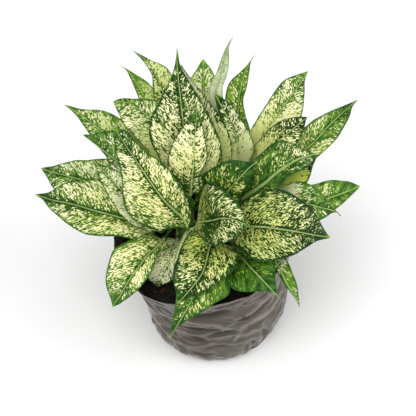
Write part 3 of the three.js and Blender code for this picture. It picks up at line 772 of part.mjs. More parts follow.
for (const [, x, y] of STEMS) {
  const hole = new THREE.CylinderGeometry(STEM_RADIUS + STEM_GAP, STEM_RADIUS + STEM_GAP, 60, 16).rotateX(Math.PI / 2);
  hole.translate(x + RIM_SHIFT_X, y, SOIL_TOP - STEM_ROOT - STEM_GAP + 30);
  soil = soil.subtract(solidOf(hole));
}

// ---- stems: ringed canes that end in a rolled young leaf ----
function stem(x, y, top) {
  const from = SOIL_TOP - STEM_ROOT, sides = 12, rings = [];
  const spear = Math.min(16, (top - SOIL_TOP) * 0.4), cane = top - spear;
  const steps = [[from, 1], [SOIL_TOP - 3, 1], [SOIL_TOP + 4, 1], [SOIL_TOP + (cane - SOIL_TOP) * 0.5, 0.97], [cane, 0.88], [cane + spear * 0.35, 0.62], [cane + spear * 0.75, 0.34]];
  for (const [z, f] of steps) {
    const k = THREE.MathUtils.clamp((z - SOIL_TOP + 1) / 55, 0, 1);
    const r = (STEM_RADIUS + (STEM_TIP_RADIUS - STEM_RADIUS) * k) * f;
    rings.push(Array.from({ length: sides }, (_, i) => {
      const a = (i / sides) * 2 * Math.PI;
      return V(x + r * Math.cos(a), y + r * Math.sin(a), z);
    }));
  }
  return loft(rings, V(x, y, from), V(x, y, top));
}

// ---- a leaf: a round stalk that flattens into the blade ----
function leaf(stalk, stations) {
  const [p0, p1, p2, p3] = stalk.map((p) => V(...p));
  const curve = new THREE.CubicBezierCurve3(p0, p1, p2, p3);
  const L = stations.map((s) => V(s[0], s[1], s[2]));
  const M = stations.map((s) => V(s[3], s[4], s[5]));
  const R = stations.map((s) => V(s[6], s[7], s[8]));
  const pick = [2, 3, 4, 5, 6, 7, 8, 9, 10];
  const tangent = (i) => M[Math.min(i + 1, M.length - 1)].clone().sub(M[Math.max(i - 1, 0)]).normalize();
  const normal = (i) => {
    const j = Math.min(i, M.length - 3);
    return R[j].clone().sub(L[j]).cross(tangent(i)).normalize();
  };
  const rings = [];
  const n0 = normal(2);
  for (const t of [0, 0.3, 0.62, 0.94]) {
    const c = curve.getPoint(t), d = curve.getTangent(t);
    const up = n0.clone().addScaledVector(d, -n0.dot(d)).normalize();
    const side = d.clone().cross(up);
    const r = STALK_RADIUS * (1 - 0.12 * t);
    rings.push(Array.from({ length: 8 }, (_, k) => {
      const a = Math.PI - (k * Math.PI) / 4;
      return c.clone().addScaledVector(side, r * Math.cos(a)).addScaledVector(up, r * Math.sin(a));
    }));
  }
  for (const i of pick) {
    const n = normal(i), m = M[i], thin = i >= 9 ? 0.6 : 1;
    const at = (E, a, h) => {
      const w = E.distanceTo(m);
      return m.clone().lerp(E, a).addScaledVector(n, BLADE_BULGE * w * 4 * a * (1 - a) + h * thin);
    };
    const h = BLADE_THICKNESS / 2, hm = MIDRIB_THICKNESS / 2;
    rings.push([
      L[i].clone(), at(L[i], 0.5, h), at(L[i], 0, hm), at(R[i], 0.5, h),
      R[i].clone(), at(R[i], 0.5, -h), at(L[i], 0, -hm), at(L[i], 0.5, -h),
    ]);
  }
  return loft(rings, p0, M[M.length - 1]);
}

// ---- materials ----
const plastic = () => new THREE.MeshStandardMaterial({ color: 0x57524d, roughness: 0.5, metalness: 0 });
const earth = () => new THREE.MeshStandardMaterial({ color: 0x1c1814, roughness: 0.95, metalness: 0 });
const cane = () => new THREE.MeshStandardMaterial({ color: 0x6f8a4a, roughness: 0.6, metalness: 0 });
const foliage = () => new THREE.MeshStandardMaterial({ color: 0xa9bd7c, roughness: 0.42, metalness: 0 });

const group = new THREE.Group();
// The tables are given about the mouth of the bag; the part's origin is the middle of its bottom.
const plant = new THREE.Group();
plant.position.set(RIM_SHIFT_X, 0, 0);
group.add(plant);

function add(parent, name, geometry, material) {
  const mesh = new THREE.Mesh(geometry, material);
  mesh.name = name;
  parent.add(mesh);
}
add(group, "grow_bag", bag, plastic());
add(group, "potting_soil", geometryOf(soil), earth());
for (const [name, x, y, top] of STEMS) add(plant, name, stem(x, y, top), cane());
for (const [name, stalk, stations] of LEAVES) add(plant, name, leaf(stalk, stations), foliage());

export default group;
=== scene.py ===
# Potted variegated house plant in a soft nursery grow bag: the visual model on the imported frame.
import math

import bpy
import numpy as np
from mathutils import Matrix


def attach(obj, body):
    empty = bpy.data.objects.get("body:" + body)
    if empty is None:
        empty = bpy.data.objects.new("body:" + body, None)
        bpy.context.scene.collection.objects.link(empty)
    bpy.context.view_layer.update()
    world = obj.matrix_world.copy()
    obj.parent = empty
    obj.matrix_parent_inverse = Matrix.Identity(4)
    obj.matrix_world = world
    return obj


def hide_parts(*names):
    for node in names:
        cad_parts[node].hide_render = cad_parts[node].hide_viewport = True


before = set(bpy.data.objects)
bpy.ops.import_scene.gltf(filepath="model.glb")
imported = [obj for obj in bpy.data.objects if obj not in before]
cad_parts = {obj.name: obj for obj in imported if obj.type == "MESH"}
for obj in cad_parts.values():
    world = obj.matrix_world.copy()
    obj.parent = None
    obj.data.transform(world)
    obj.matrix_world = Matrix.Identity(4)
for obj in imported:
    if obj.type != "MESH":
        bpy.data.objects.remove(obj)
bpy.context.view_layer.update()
MM = 0.001

# ---------------------------------------------------------------- dimensions, as in the solid model (mm)
RIM_HEIGHT, RIM_RADIUS, RIM_SHIFT_X = 118.4, 90.0, -16.5
BAG_SECTIONS = np.array([
    [0, 61.0, 0], [1.6, 64.8, 0], [7, 68.4, 0.2], [16, 72.3, 0.5], [40, 74.8, -1.3],
    [66, 78.5, -4.6], [92, 83.6, -9.4], [RIM_HEIGHT, RIM_RADIUS, RIM_SHIFT_X],
])
SOIL_TOP, STEM_RADIUS, STEM_TIP_RADIUS, STEM_ROOT = 105.0, 6.6, 5.0, 20.0
STALK_RADIUS, BLADE_BULGE = 1.8, 0.05
STEMS = [("stem_a", -19, 3, 158), ("stem_b", 36, -12, 158), ("stem_c", -12, 30, 158), ("stem_d", 34, 28, 158)]
STATIONS = np.array([0, .04, .1, .2, .32, .45, .58, .7, .81, .9, .96, 1.0])
# Leaves: name, the stalk's four control points, and the blade's stations (left edge, midrib, right edge).
LEAVES = [
    ("leaf_01", [[-17.24,-4.3,148.91], [-14.83,-14.26,158.14], [-9.63,-29.03,158.84], [-11.74,-27.04,163.54]],
     [[-13.46,-28.05,163.33,-11.74,-27.04,163.54,-9.86,-26.88,164.18],
      [-21.9,-30.92,166.41,-13.52,-25.2,167.9,-8.22,-24.39,170.02],
      [-27.74,-33.38,170.33,-17.11,-22.65,174.07,-7.92,-19.28,179.63],
      [-39.74,-40.25,174.4,-25.97,-19.4,182.44,-13.52,-10.94,194.14],
      [-61.47,-38.16,184.71,-36.2,-14.08,192.25,-19.03,-7.26,203.59],
      [-73.12,-28.48,196.84,-45.82,-6.05,202.87,-27.81,0.3,214.16],
      [-75.48,-11.47,209.14,-55.06,3.48,212.56,-39.37,8.69,222.18],
      [-77.63,2.94,218.03,-63.54,13.31,220.4,-52.96,17.39,227.44],
      [-82.12,15.75,225.06,-71.42,22.99,226.53,-63.27,26.09,231.89],
      [-83.7,27.77,230.44,-77.38,31.57,231.04,-70.11,34.08,235.55],
      [-83.8,36.04,233.62,-81.1,37.57,233.82,-77.05,38.92,236.25],
      [-83.48,41.67,235.57,-83.48,41.68,235.56,-83.48,41.69,235.54]]),
    ("leaf_02", [[-13.7,-2.17,152.41], [-10.41,-5.39,154.03], [-5.03,-9.09,152.74], [-3.48,-12.15,156.22]],
     [[-3.19,-9.13,155.83,-3.48,-12.15,156.22,-4.5,-15.08,156.97],
      [1.89,10.23,175.74,-2.38,-14.33,158.69,-9.65,-26.29,154.12],
      [3.57,11.12,183.07,-0.69,-17.59,162.43,-7.45,-29.18,157.82],
      [5.35,7.89,191.46,2.25,-22.98,168.68,-3.25,-33.4,164.56],
      [7.2,2.31,200.2,6.03,-29.35,176.23,-0.49,-42.99,170],
      [9.37,-5.09,208.62,10.57,-36.08,184.45,3.39,-53.8,175.67],
      [8.11,-13.52,216.18,15.81,-42.34,192.74,11.62,-64.66,181.26],
      [19.22,-24.48,220.03,21.71,-47.42,200.26,14.5,-72.51,187.95],
      [32.68,-39.14,217.55,29.11,-52.56,204.61,18.2,-76.8,194.55],
      [40.89,-48.81,210.68,36.95,-55.33,204.04,30.74,-72.68,197.26],
      [43.62,-52.22,203.55,41.93,-55.16,200.93,40.44,-63.19,197.51],
      [44.8,-54.1,198.13,44.8,-54.25,198.29,44.79,-54.4,198.45]]),
    ("leaf_03", [[-11.96,5.3,152.41], [-5.51,7.42,154.79], [-10.66,4.53,167.1], [-9.96,5.96,174.11]],
     [[-11.91,5.63,174.38,-9.96,5.96,174.11,-8.11,5.21,174.09],
      [-15.38,5.73,178.62,-9.59,6.7,177.83,-4.62,4.72,177.79],
      [-19.87,6.02,184.91,-9.04,7.89,183.39,0.13,4.29,183.37],
      [-25.28,7.03,195.08,-8.15,10.05,192.63,3.98,5.39,192.76],
      [-31.18,8.7,207.25,-7.1,12.98,203.63,1.27,9.8,203.87],
      [-31.78,11.41,219.04,-6.13,16.6,215.44,6.46,12.28,216.19],
      [-29.35,15.68,230.47,-5.42,20.74,227.09,7.22,16.65,228.16],
      [-24.19,21.24,240.68,-4.87,25.05,237.64,5.62,21.6,238.66],
      [-16.73,27.45,249.54,-3.87,29.41,247.09,3.7,26.63,247.78],
      [-11.44,31.88,256.03,-3.26,33.3,254.66,1.09,31.82,255.29],
      [-6.71,35.47,260.14,-2.97,36.07,259.62,-1.42,35.46,259.98],
      [-2.84,38.17,262.71,-2.84,37.99,262.88,-2.84,37.81,263.05]]),
    ("leaf_04", [[30.48,-17.24,145.41], [26.84,-20.69,147.17], [16.65,-15.12,140.02], [15.01,-19.89,141.73]],
     [[16.87,-21.87,142.92,15.01,-19.89,141.73,13.46,-17.76,141.31],
      [28.6,-30.37,143.23,13.76,-23.5,143.05,3.62,-16.88,147.63],
      [34.2,-37.73,145.07,11.96,-29,144.9,-5.68,-19.58,153.05],
      [36.94,-45.68,149.5,9.4,-38.42,147.51,-13.2,-30.41,155.84],
      [37.87,-54.89,154.01,7.5,-50.17,149.57,-18.49,-45.45,156.84],
      [33.56,-70.6,152.64,5.42,-62.97,150.3,-20.63,-56.77,159.59],
      [18.47,-83.48,148.87,1.58,-75.15,149.24,-22.4,-66.46,161],
      [4.99,-92.52,144.81,-4.76,-84.42,146.59,-25,-73.73,159.87],
      [-6.75,-95.62,140.73,-11.33,-90.9,142.06,-26.12,-82.95,151.86],
      [-15.31,-96.19,136.5,-16.73,-94.54,137.09,-22.95,-91.13,141.18],
      [-19.87,-96.56,133.1,-20.2,-96.21,133.35,-22.22,-95.13,134.75],
      [-22.45,-96.9,130.59,-22.45,-97.02,130.73,-22.45,-97.13,130.87]]),
    ("leaf_05", [[33.78,-19.06,152.41], [32.5,-23.14,153.91], [28.2,-23.78,162.1], [31.7,-25.68,164.25]],
     [[31.93,-24.4,165.74,31.7,-25.68,164.25,31.12,-27.1,163.18],
      [36.51,-17.42,173.8,35.11,-27.59,166.41,31.93,-37.6,162.05],
      [42.67,-11.05,183.01,40.44,-30.27,169.43,35.34,-48.45,162.11],
      [51.96,-8.78,191.8,49.99,-34.12,173.77,44.46,-60.98,163.47],
      [67.63,-6.94,199.24,62.53,-37.62,176.99,55.63,-70.5,164.97],
      [82.9,-9.24,199.08,76.89,-39.98,176.66,72.52,-70.62,165.52],
      [94.3,-11.42,193.34,91.12,-39.46,173.26,91.15,-62.97,164.41],
      [106.28,-14.32,183.7,103.24,-37.33,167.58,103.79,-51.32,162.01],
      [114.51,-17.09,173.04,113.5,-34.01,161.35,114.32,-40.04,158.72],
      [121.46,-21.77,161.98,121.35,-30.6,155.8,121.92,-33.35,154.43],
      [126.27,-24.9,154.35,126.34,-28.05,151.95,126.71,-29.41,151.14],
      [129.56,-26.44,149.53,129.58,-26.26,149.33,129.6,-26.08,149.14]]),
    ("leaf_06", [[31.62,-6.03,152.41], [28.32,-1.54,162.45], [20.78,8.31,164.41], [22.02,7.05,168.65]],
     [[20.23,6.53,170.49,22.02,7.05,168.65,23.25,6.8,166.7],
      [11.76,8.99,176.55,22.73,6.31,171.12,27.65,1.76,166.81],
      [-0.07,12.82,185.8,23.87,5.24,174.84,33.61,-5.34,167.25],
      [0.23,12.6,193.58,25.93,3.57,181.03,40.33,-13.72,170.01],
      [4.04,11.74,201.93,28.77,1.82,188.43,39.44,-12.16,179.65],
      [10.43,10.01,209.74,32.47,0.36,196.32,39.54,-9.31,190.31],
      [16.66,7.9,216.51,36.73,-0.25,204.09,43.26,-8.33,199.47],
      [24.54,7.7,222.7,41.33,0.38,210.93,46.77,-6.15,207.53],
      [36.73,7.11,224.39,46.26,2.4,216.39,50.17,-1.97,214.26],
      [48.51,6.66,222.6,51.01,5.05,219.58,53.05,2.68,218.31],
      [53.59,7.76,222.18,54.43,7.23,220.84,55.24,6.42,220.18],
      [56.73,8.58,221.53,56.74,8.82,221.29,56.76,9.06,221.06]]),
    ("leaf_07", [[-11.2,22.64,152.41], [-10.58,17.01,154.4], [-9.69,10.89,161.62], [-10.08,12.42,167.41]],
     [[-12.01,11.31,168.08,-10.08,12.42,167.41,-8.12,12.87,166.91],
      [-21.34,10.78,174.21,-10.49,14.04,173.59,1.6,13.45,174.07],
      [-31.08,11.09,183.39,-11.14,16.55,182.83,12.09,14.85,184.49],
      [-36.15,14.5,198.67,-12.26,20.95,198.17,19.71,18.48,200.92],
      [-40.52,19.42,216.89,-13.71,26.62,216.43,21.9,23.93,219.85],
      [-48.84,24.42,236.49,-15.38,33.28,236.02,16.97,30.99,239.36],
      [-47.63,32.32,255.79,-17.17,40.55,255.38,7.64,39.07,258.15],
      [-37.75,42.55,273.37,-19,47.83,273.01,-2.31,47.07,274.95],
      [-28.26,52.82,289.36,-20.63,55.04,288.93,-12.57,54.75,289.69],
      [-23.47,60.69,302.16,-21.72,61.36,301.79,-19.23,61.38,301.78],
      [-22.21,65.45,310.56,-21.89,65.8,310.28,-20.47,65.88,310.15],
      [-21.9,68.58,316.13,-21.9,68.86,315.89,-21.91,69.14,315.66]]),
    ("leaf_08", [[-12.83,-1.45,145.41], [-10.09,-3.42,146.6], [-2.71,-4.54,145.59], [-4.07,-7.76,146.33]],
     [[-2.28,-8.58,146,-4.07,-7.76,146.33,-5.66,-6.91,147.18],
      [-3.11,-10.95,146.52,-5.05,-10.09,146.88,-6.73,-9.19,147.77],
      [-2.86,-15.24,146.97,-6.53,-13.6,147.6,-9.83,-11.93,149.3],
      [-4.07,-21.63,147.7,-9.02,-19.5,148.47,-13.53,-17.4,150.7],
      [-6.76,-28.79,148.13,-12.02,-26.63,148.85,-16.99,-24.62,151.15],
      [-10.92,-36.1,147.56,-15.36,-34.28,148.15,-19.7,-32.78,150.08],
      [-14.35,-43.11,145.53,-18.51,-41.69,145.91,-22.61,-40.81,147.4],
      [-16.89,-49.18,141.83,-20.86,-47.97,142.14,-24.86,-47.49,143.35],
      [-19.45,-53.63,137.1,-22.56,-52.81,137.34,-26.14,-52.68,138.23],
      [-22.49,-56.16,132.47,-23.62,-55.97,132.66,-25.5,-56.04,133.13],
      [-23.78,-57.65,129.11,-24.19,-57.68,129.28,-24.76,-57.81,129.53],
      [-24.5,-58.51,126.79,-24.49,-58.65,126.95,-24.49,-58.79,127.11]]),
    ("leaf_09", [[-26.5,2.89,148.91], [-34.56,2.77,151.74], [-35.29,-19.35,144.08], [-39.88,-19.13,151.28]],
     [[-40.97,-21.18,151.19,-39.88,-19.13,151.28,-38.41,-17.64,151.59],
      [-45.24,-23.75,153.45,-42.09,-19.05,154.79,-36.97,-15.3,157.36],
      [-50.73,-26.1,157.42,-45.49,-18.81,160,-36.23,-12.53,165.2],
      [-59.04,-28.17,164.71,-51.34,-18.02,168.57,-41.42,-11.44,174.3],
      [-69.13,-29.45,173.49,-58.69,-16.37,178.57,-45.66,-8,186.44],
      [-78.1,-26.7,183.94,-67.08,-13.56,188.9,-53.87,-5.17,197.15],
      [-85.72,-20.64,194.5,-75.92,-9.52,198.5,-64.64,-2.34,205.77],
      [-92.49,-13.3,203.52,-84.4,-4.6,206.51,-75.68,1.03,212.28],
      [-97.77,-4.61,211.16,-92.37,0.94,212.95,-87.01,4.5,216.56],
      [-101.14,3.95,216.89,-98.95,6.18,217.5,-96.8,7.7,218.92],
      [-104.15,9.12,219.99,-103.34,9.98,220.15,-102.59,10.59,220.6],
      [-106.24,12.56,221.85,-106.25,12.65,221.76,-106.26,12.74,221.67]]),
    ("leaf_10", [[-19.77,31.96,131.41], [-50.23,39.63,142.41], [-39.21,-24.79,145.99], [-49.66,-23.03,154.05]],
     [[-50.39,-25.76,154.56,-49.66,-23.03,154.05,-48.61,-20.73,153.99],
      [-56.97,-30.8,155.83,-53.8,-22.32,157.41,-49.3,-15.51,161.19],
      [-65.61,-36.19,157.92,-60.44,-21.22,161.88,-53.05,-9.06,170.24],
      [-77.07,-37.15,162.48,-72.47,-19.25,167.56,-65.88,-3.43,179.19],
      [-94.08,-38.52,164.74,-87.89,-16.25,171.44,-80.45,4.43,187.44],
      [-113.09,-35.72,165.15,-104.74,-11.5,172.72,-96.29,12.28,191.53],
      [-129.56,-24.4,165.88,-120.84,-4.4,172.28,-112.41,17.03,189.32],
      [-141.06,-11.65,164.79,-135.22,2.73,169.67,-130.28,19.36,182.77],
      [-151.7,1.96,163.08,-147.92,9.5,165.77,-144.51,18.83,173.24],
      [-159.02,14.21,161.87,-157.64,16.26,162.79,-155.85,19.79,165.87],
      [-164.5,20.37,160.11,-163.88,21.02,160.65,-163.15,22.15,161.96],
      [-167.99,24.58,158.89,-167.94,24.3,159.18,-167.89,24.02,159.47]]),
    ("leaf_11", [[-23.46,-2.91,152.41], [-24.81,-4.69,156.43], [-30.77,-8.1,137.47], [-35.15,-18.39,140.09]],
     [[-33.27,-20.22,141.06,-35.15,-18.39,140.09,-36.81,-16.48,139.77],
      [-30.73,-25.76,141.53,-36.69,-22.1,141.05,-43.78,-17.12,143.71],
      [-30.12,-33.25,142.18,-39.21,-27.59,142.38,-52.26,-18.4,149],
      [-39.85,-40.55,144.26,-44.35,-36.34,144.36,-58.9,-22.84,154.77],
      [-43.66,-52.69,144.91,-51.79,-46.25,145.61,-68.28,-34,155.93],
      [-47.38,-65.43,142.09,-58.93,-57.43,142.98,-83.29,-45.37,155.14],
      [-56.41,-75.68,134.56,-67.05,-66.2,136.52,-88.85,-54.85,147.71],
      [-64.4,-78.77,125.69,-73.55,-71.58,127.19,-92.88,-64.71,134.19],
      [-73.97,-79.45,115.83,-78.65,-74.27,117.18,-92.27,-67.22,123.18],
      [-80.37,-78.32,108.12,-83.27,-74.85,108.97,-89.29,-71.46,111.34],
      [-84.59,-76.28,103.18,-85.72,-74.99,103.18,-87.67,-73.93,103.5],
      [-87.07,-75.31,99.6,-87.1,-75,99.24,-87.14,-74.7,98.87]]),
    ("leaf_12", [[-21.02,-4.54,138.41], [-21.79,-7.42,139.46], [-21.83,-6.67,129.5], [-22.39,-9.63,130.45]],
     [[-20.39,-10.48,130.91,-22.39,-9.63,130.45,-24.26,-8.62,130.5],
      [-16.46,-13.92,131.62,-22.87,-12.18,131.28,-29.13,-9.94,132.72],
      [-11.73,-18.97,132.59,-23.62,-16.04,132.44,-35.46,-12.18,135.71],
      [-10.22,-26.34,134.04,-24.99,-22.55,134.06,-40.63,-17.63,138.71],
      [-14.08,-34.15,135.21,-26.86,-30.45,135.3,-43.24,-25.43,140.43],
      [-19.1,-42.53,135.04,-29.28,-39,135.22,-43.75,-34.77,139.92],
      [-21.98,-51.27,132.09,-32.22,-46.91,132.71,-47.39,-42.94,137.63],
      [-25.36,-57.39,126.43,-35.19,-52.39,127.69,-50.69,-48.65,132.36],
      [-29.72,-59.83,120.05,-37.75,-55.29,121.56,-52.69,-51.61,125.77],
      [-36.19,-58.61,115.41,-39.63,-56.47,116.11,-52.28,-53.18,119.56],
      [-39.6,-57.66,112.23,-40.78,-56.82,112.4,-48.48,-54.69,114.43],
      [-41.51,-57.03,110.05,-41.51,-56.91,109.91,-41.52,-56.79,109.76]]),
    ("leaf_13", [[31.89,-18.88,131.41], [26.7,-27.57,134.96], [19.68,-35.7,139.17], [15.92,-45.64,140.64]],
     [[17.77,-47.11,141.37,15.92,-45.64,140.64,14.21,-44.12,140.44],
      [21.12,-52.91,141.61,14.44,-49.59,141.26,8.94,-46.44,142.58],
      [25.39,-61.57,141.73,12.13,-55.52,141.96,1.66,-50.22,145.32],
      [27.97,-74.75,141.35,7.98,-65.38,142.3,-5.95,-58.64,147.21],
      [28.41,-90.33,138.94,2.42,-76.93,140.87,-20.8,-66.41,149.85],
      [13.73,-99.32,134.27,-4.31,-88.3,136.07,-20.8,-80.95,142.21],
      [-0.62,-104.84,125.87,-11.37,-97.01,127.36,-23.22,-91.69,131.41],
      [-12.92,-105.96,116.11,-17.53,-101.98,116.71,-25.37,-98.23,119.1],
      [-21.78,-105.46,106.13,-22.63,-104.33,105.84,-27.46,-101.77,107.09],
      [-26.36,-105.58,97.07,-26.45,-105.1,96.58,-28.89,-103.57,96.97],
      [-28.82,-105.57,90.81,-28.84,-105.19,90.32,-29.79,-104.35,90.18],
      [-30.35,-105.46,86.6,-30.37,-105.08,86.12,-30.39,-104.71,85.64]]),
    ("leaf_14", [[36,-19.91,134.91], [36.01,-23.55,136.19], [34.65,-28.22,132.29], [36.01,-31.53,133.73]],
     [[37.58,-30.96,134.94,36.01,-31.53,133.73,34.22,-31.98,133.01],
      [43.86,-30.36,138.63,37.1,-34.2,134.9,29.2,-37.55,133.29],
      [51.6,-30.51,143.36,38.79,-38.21,136.56,23.72,-45.24,133.81],
      [58.78,-34.32,148.23,41.82,-44.92,139.06,21.34,-55.34,135.29],
      [63.94,-41.32,151.63,45.89,-53.01,141.39,22.76,-66.13,136.86],
      [71.16,-48.17,154.68,51.05,-61.64,142.62,27.16,-77.46,137.35],
      [73.59,-58.43,151.95,57.2,-69.6,141.58,38.13,-85.16,136.27],
      [73.73,-68.14,144.38,63.52,-75.2,137.74,55.02,-83.78,134.33],
      [74.55,-74.23,135.8,69.13,-78.12,132.11,67.37,-80.08,130.91],
      [75.78,-77.33,128.59,73.3,-79.13,126.69,73.15,-79.1,126.27],
      [76.77,-78.73,123.8,75.85,-79.29,122.88,75.61,-79.42,122.4],
      [77.44,-79.48,120.59,77.46,-79.23,120.29,77.48,-78.98,119.99]]),
    ("leaf_15", [[38,-4.87,152.41], [39.74,1.35,154.67], [36.68,6.53,164.64], [41,5.85,169.9]],
     [[39.87,6.75,171.33,41,5.85,169.9,41.52,4.37,168.93],
      [38.68,10.34,178.35,43.68,5.37,173.23,45.92,-1.75,170.37],
      [38.3,14.54,187.7,47.9,4.97,178.08,52.61,-8.46,173.24],
      [42.74,18.13,198.99,55.53,5.25,185.5,62.37,-11.34,180.11],
      [49.2,20.65,207.96,65.31,7.8,193.04,74.21,-5.5,189.21],
      [60.06,26.74,214.35,75.42,14.11,199.29,82.61,5.98,196.89],
      [72.04,36.9,218.51,85.94,21.87,201.82,93.14,14.05,199.29],
      [84.77,43.06,216.03,95.25,29.78,201.7,103.7,20.89,198.67],
      [99.49,43.66,207.39,103.64,36.81,199.49,110.18,29.31,196.36],
      [108.98,44.18,200.14,110.3,42.42,196.73,114.11,38.35,194.31],
      [114.13,46.06,196.45,114.64,46.06,194.5,116.21,45.02,192.85],
      [117.37,47.34,193.93,117.49,48.43,192.86,117.6,49.53,191.79]]),
    ("leaf_16", [[42.65,-15.26,152.41], [56.88,-22.24,166.69], [63.31,22.75,152.39], [68.76,18.16,157.08]],
     [[69.29,18.45,159.39,68.76,18.16,157.08,67.75,17.9,155.24],
      [72.81,20.5,163.52,70.85,16.38,158.91,66.86,11.88,155.78],
      [77.63,22.19,168.88,74.11,13.71,161.59,66.64,3.76,156.8],
      [84.09,20.2,174.61,79.96,9.28,165.79,72.07,-2.39,160.71],
      [92.86,19.31,181.87,87.86,4.17,170.17,78.79,-12.04,164.09],
      [102.39,15.67,186.22,97.95,-0.61,173.44,90.53,-19.1,167.19],
      [115.55,9.21,184.08,109.65,-3.85,173.28,103.79,-19.75,168.2],
      [122.76,5.28,177.02,120.8,-4.24,169.31,120.25,-15.74,165.27],
      [130.89,1.16,166.75,130.35,-1.94,163.86,130.63,-5.68,162.1],
      [137.4,0.8,158.89,137.21,0.6,158.14,137.19,0.14,157.47],
      [140.83,1.51,153.58,140.79,1.72,153.19,140.36,0.75,152.43],
      [142.74,1.99,149.9,142.77,2.25,149.62,142.81,2.52,149.33]]),
    ("leaf_17", [[-18.9,27.32,152.41], [-29.11,23.35,156.25], [-31.9,18.21,173.75], [-32.02,22.22,184.64]],
     [[-34.01,22.96,183.73,-32.02,22.22,184.64,-30.04,20.85,185.83],
      [-40.4,23.34,188.31,-32.02,23.75,188.85,-23.09,21.41,190.7],
      [-47.57,23.82,194.59,-32.27,26.13,195.11,-15.28,23.36,198.22],
      [-51.59,25.94,203.98,-33.39,30.37,205.3,-10.77,28.89,210.51],
      [-51.77,30.56,214.6,-36.1,35.98,216.93,-18.71,36.52,222.78],
      [-60.47,33.12,224.28,-40.91,42.86,228.31,-20.26,46.65,237.54],
      [-67.64,38.34,232.45,-47.7,50.74,237.74,-29.1,56.84,248.67],
      [-72.3,40.99,234.85,-57.5,57.19,242.9,-48.26,63.89,252.83],
      [-78.04,49.28,238.33,-67.23,63.31,245.9,-63.51,66.13,251.67],
      [-79.32,55.02,238.7,-75.96,67.49,246.28,-75.42,68.56,250.19],
      [-83.51,64.24,240.64,-82.11,69.37,245.06,-81.85,69.19,247.82],
      [-86.33,72.21,242.59,-86.18,70.61,244.04,-86.04,69,245.49]]),
    ("leaf_18", [[-26.43,0.6,138.41], [-48.12,-6.4,146.39], [-43.14,18.23,169.47], [-50.21,19.56,175.91]],
     [[-51.11,18.19,174.95,-50.21,19.56,175.91,-49.05,20.54,177.19],
      [-55.95,14.52,175.53,-52.76,20,178.27,-48.43,24.34,182.3],
      [-62.87,10.4,176.82,-56.67,20.86,181.69,-48.34,29.36,189.26],
      [-71.91,9.36,181.04,-63.4,22.84,187.05,-51.79,34.53,197.46],
      [-80.83,13.05,187.1,-71.79,26.18,192.78,-58.18,39.67,204.92],
      [-88.36,21.53,193.84,-81.14,31.05,197.91,-65.68,46.2,211.65],
      [-92.92,34.45,200.43,-90.54,37.15,201.77,-72.46,54.8,217.78],
      [-99.78,43.17,203.7,-99.11,43.71,204.18,-84.85,57.52,216.76],
      [-106.78,50.54,205.3,-106.75,50.35,205.49,-97.83,58.89,213.36],
      [-112.85,56.32,205.81,-112.83,56.12,206,-109.1,59.56,209.36],
      [-116.81,60.29,205.9,-116.78,60.1,206.08,-115.3,61.34,207.51],
      [-119.4,63,205.85,-119.38,62.81,206.03,-119.35,62.62,206.21]]),
    ("leaf_19", [[-4.68,31.67,148.91], [0.78,32.91,150.87], [18.6,33.98,156.3], [15.1,36.17,170.54]],
     [[13.34,39.14,166.35,15.1,36.17,170.54,17.02,32.54,174.84],
      [5.46,36.69,170.05,13.9,36.92,175.46,23.05,33.97,181.34],
      [-4.03,34.26,176.08,12.08,38.11,182.83,29.5,35.95,190.57],
      [-12.64,33.94,187.56,8.99,40.34,195.1,32.31,38.72,204.17],
      [-18.53,36.17,202.17,5.2,43.46,209.79,30.71,42.03,219.39],
      [-21.7,40.76,218.51,0.99,47.45,225.62,25.25,45.91,234.96],
      [-22.31,47.33,235.11,-3.35,52.18,241.3,16.84,50.29,249.69],
      [-20.45,55.23,250.51,-7.46,57.29,255.58,6.27,54.84,262.38],
      [-19.41,62.84,264.21,-11.33,62.68,268.44,-2.84,59.78,273.89],
      [-18.85,69.46,275.1,-14.56,67.62,278.76,-10.19,64.37,283.09],
      [-18.56,74.11,282.18,-16.75,71.2,285.5,-15.17,67.71,289.05],
      [-18.31,77.35,286.82,-18.22,73.72,289.93,-18.13,70.1,293.04]]),
    ("leaf_20", [[-4.4,28.7,141.91], [21.89,24.2,151.25], [38.62,40.24,165.18], [38.43,41.83,176.37]],
     [[36.5,42.17,175.62,38.43,41.83,176.37,40.38,40.66,177.23],
      [33.51,41.99,179.28,38.38,42.34,179.98,43.5,40.57,181.01],
      [29,41.72,184.78,38.26,43.13,185.42,48.22,40.53,186.76],
      [25.7,42.3,193.91,37.99,44.56,194.54,52.06,41.41,196.32],
      [21.78,43.17,204.91,37.5,46.54,205.53,54.06,43.28,207.85],
      [24.81,44.58,215.53,36.54,49.1,217.41,49.74,48.65,221.21],
      [23.89,46.37,225.45,31.84,51.86,228.32,42.22,54.15,233.87],
      [21.66,51.89,236.07,26.97,54.9,238.04,36.67,56.71,243.19],
      [18.05,56.19,244.95,22.25,58.21,246.57,30.23,59.52,251.06],
      [15.59,60.43,251.98,18.43,61.39,253.3,23.05,61.71,256.28],
      [14.56,63.83,256.55,15.89,63.73,257.61,17.63,63.25,259.29],
      [14.2,66.35,259.52,14.19,65.38,260.39,14.18,64.4,261.27]]),
    ("leaf_21", [[-4.71,32.79,138.41], [23.27,43.5,148.9], [24.29,39.11,183.17], [22.07,43.04,195.03]],
     [[23.93,43.05,195.83,22.07,43.04,195.03,20.14,43.7,194.03],
      [23.96,44.89,200.59,21.16,44.6,199.75,18.17,45.3,198.59],
      [25.52,48.02,207.75,19.97,46.99,206.84,14.13,47.91,205.32],
      [25.87,52.45,219.37,18.5,51.18,218.68,10.63,52.48,217.15],
      [25.06,57.61,233.21,17.43,56.57,232.87,8.93,58.2,231.57],
      [23.24,63.51,248.25,16.95,62.9,248.12,8.75,64.67,247.06],
      [22.56,69.97,262.89,16.89,69.83,263.17,9.92,71.84,262.66],
      [26.96,75.79,275.05,21.34,76.47,276.23,16.71,78.65,276.4],
      [28.7,82.81,287.5,24.82,83.25,288.12,21.23,84.85,288.06],
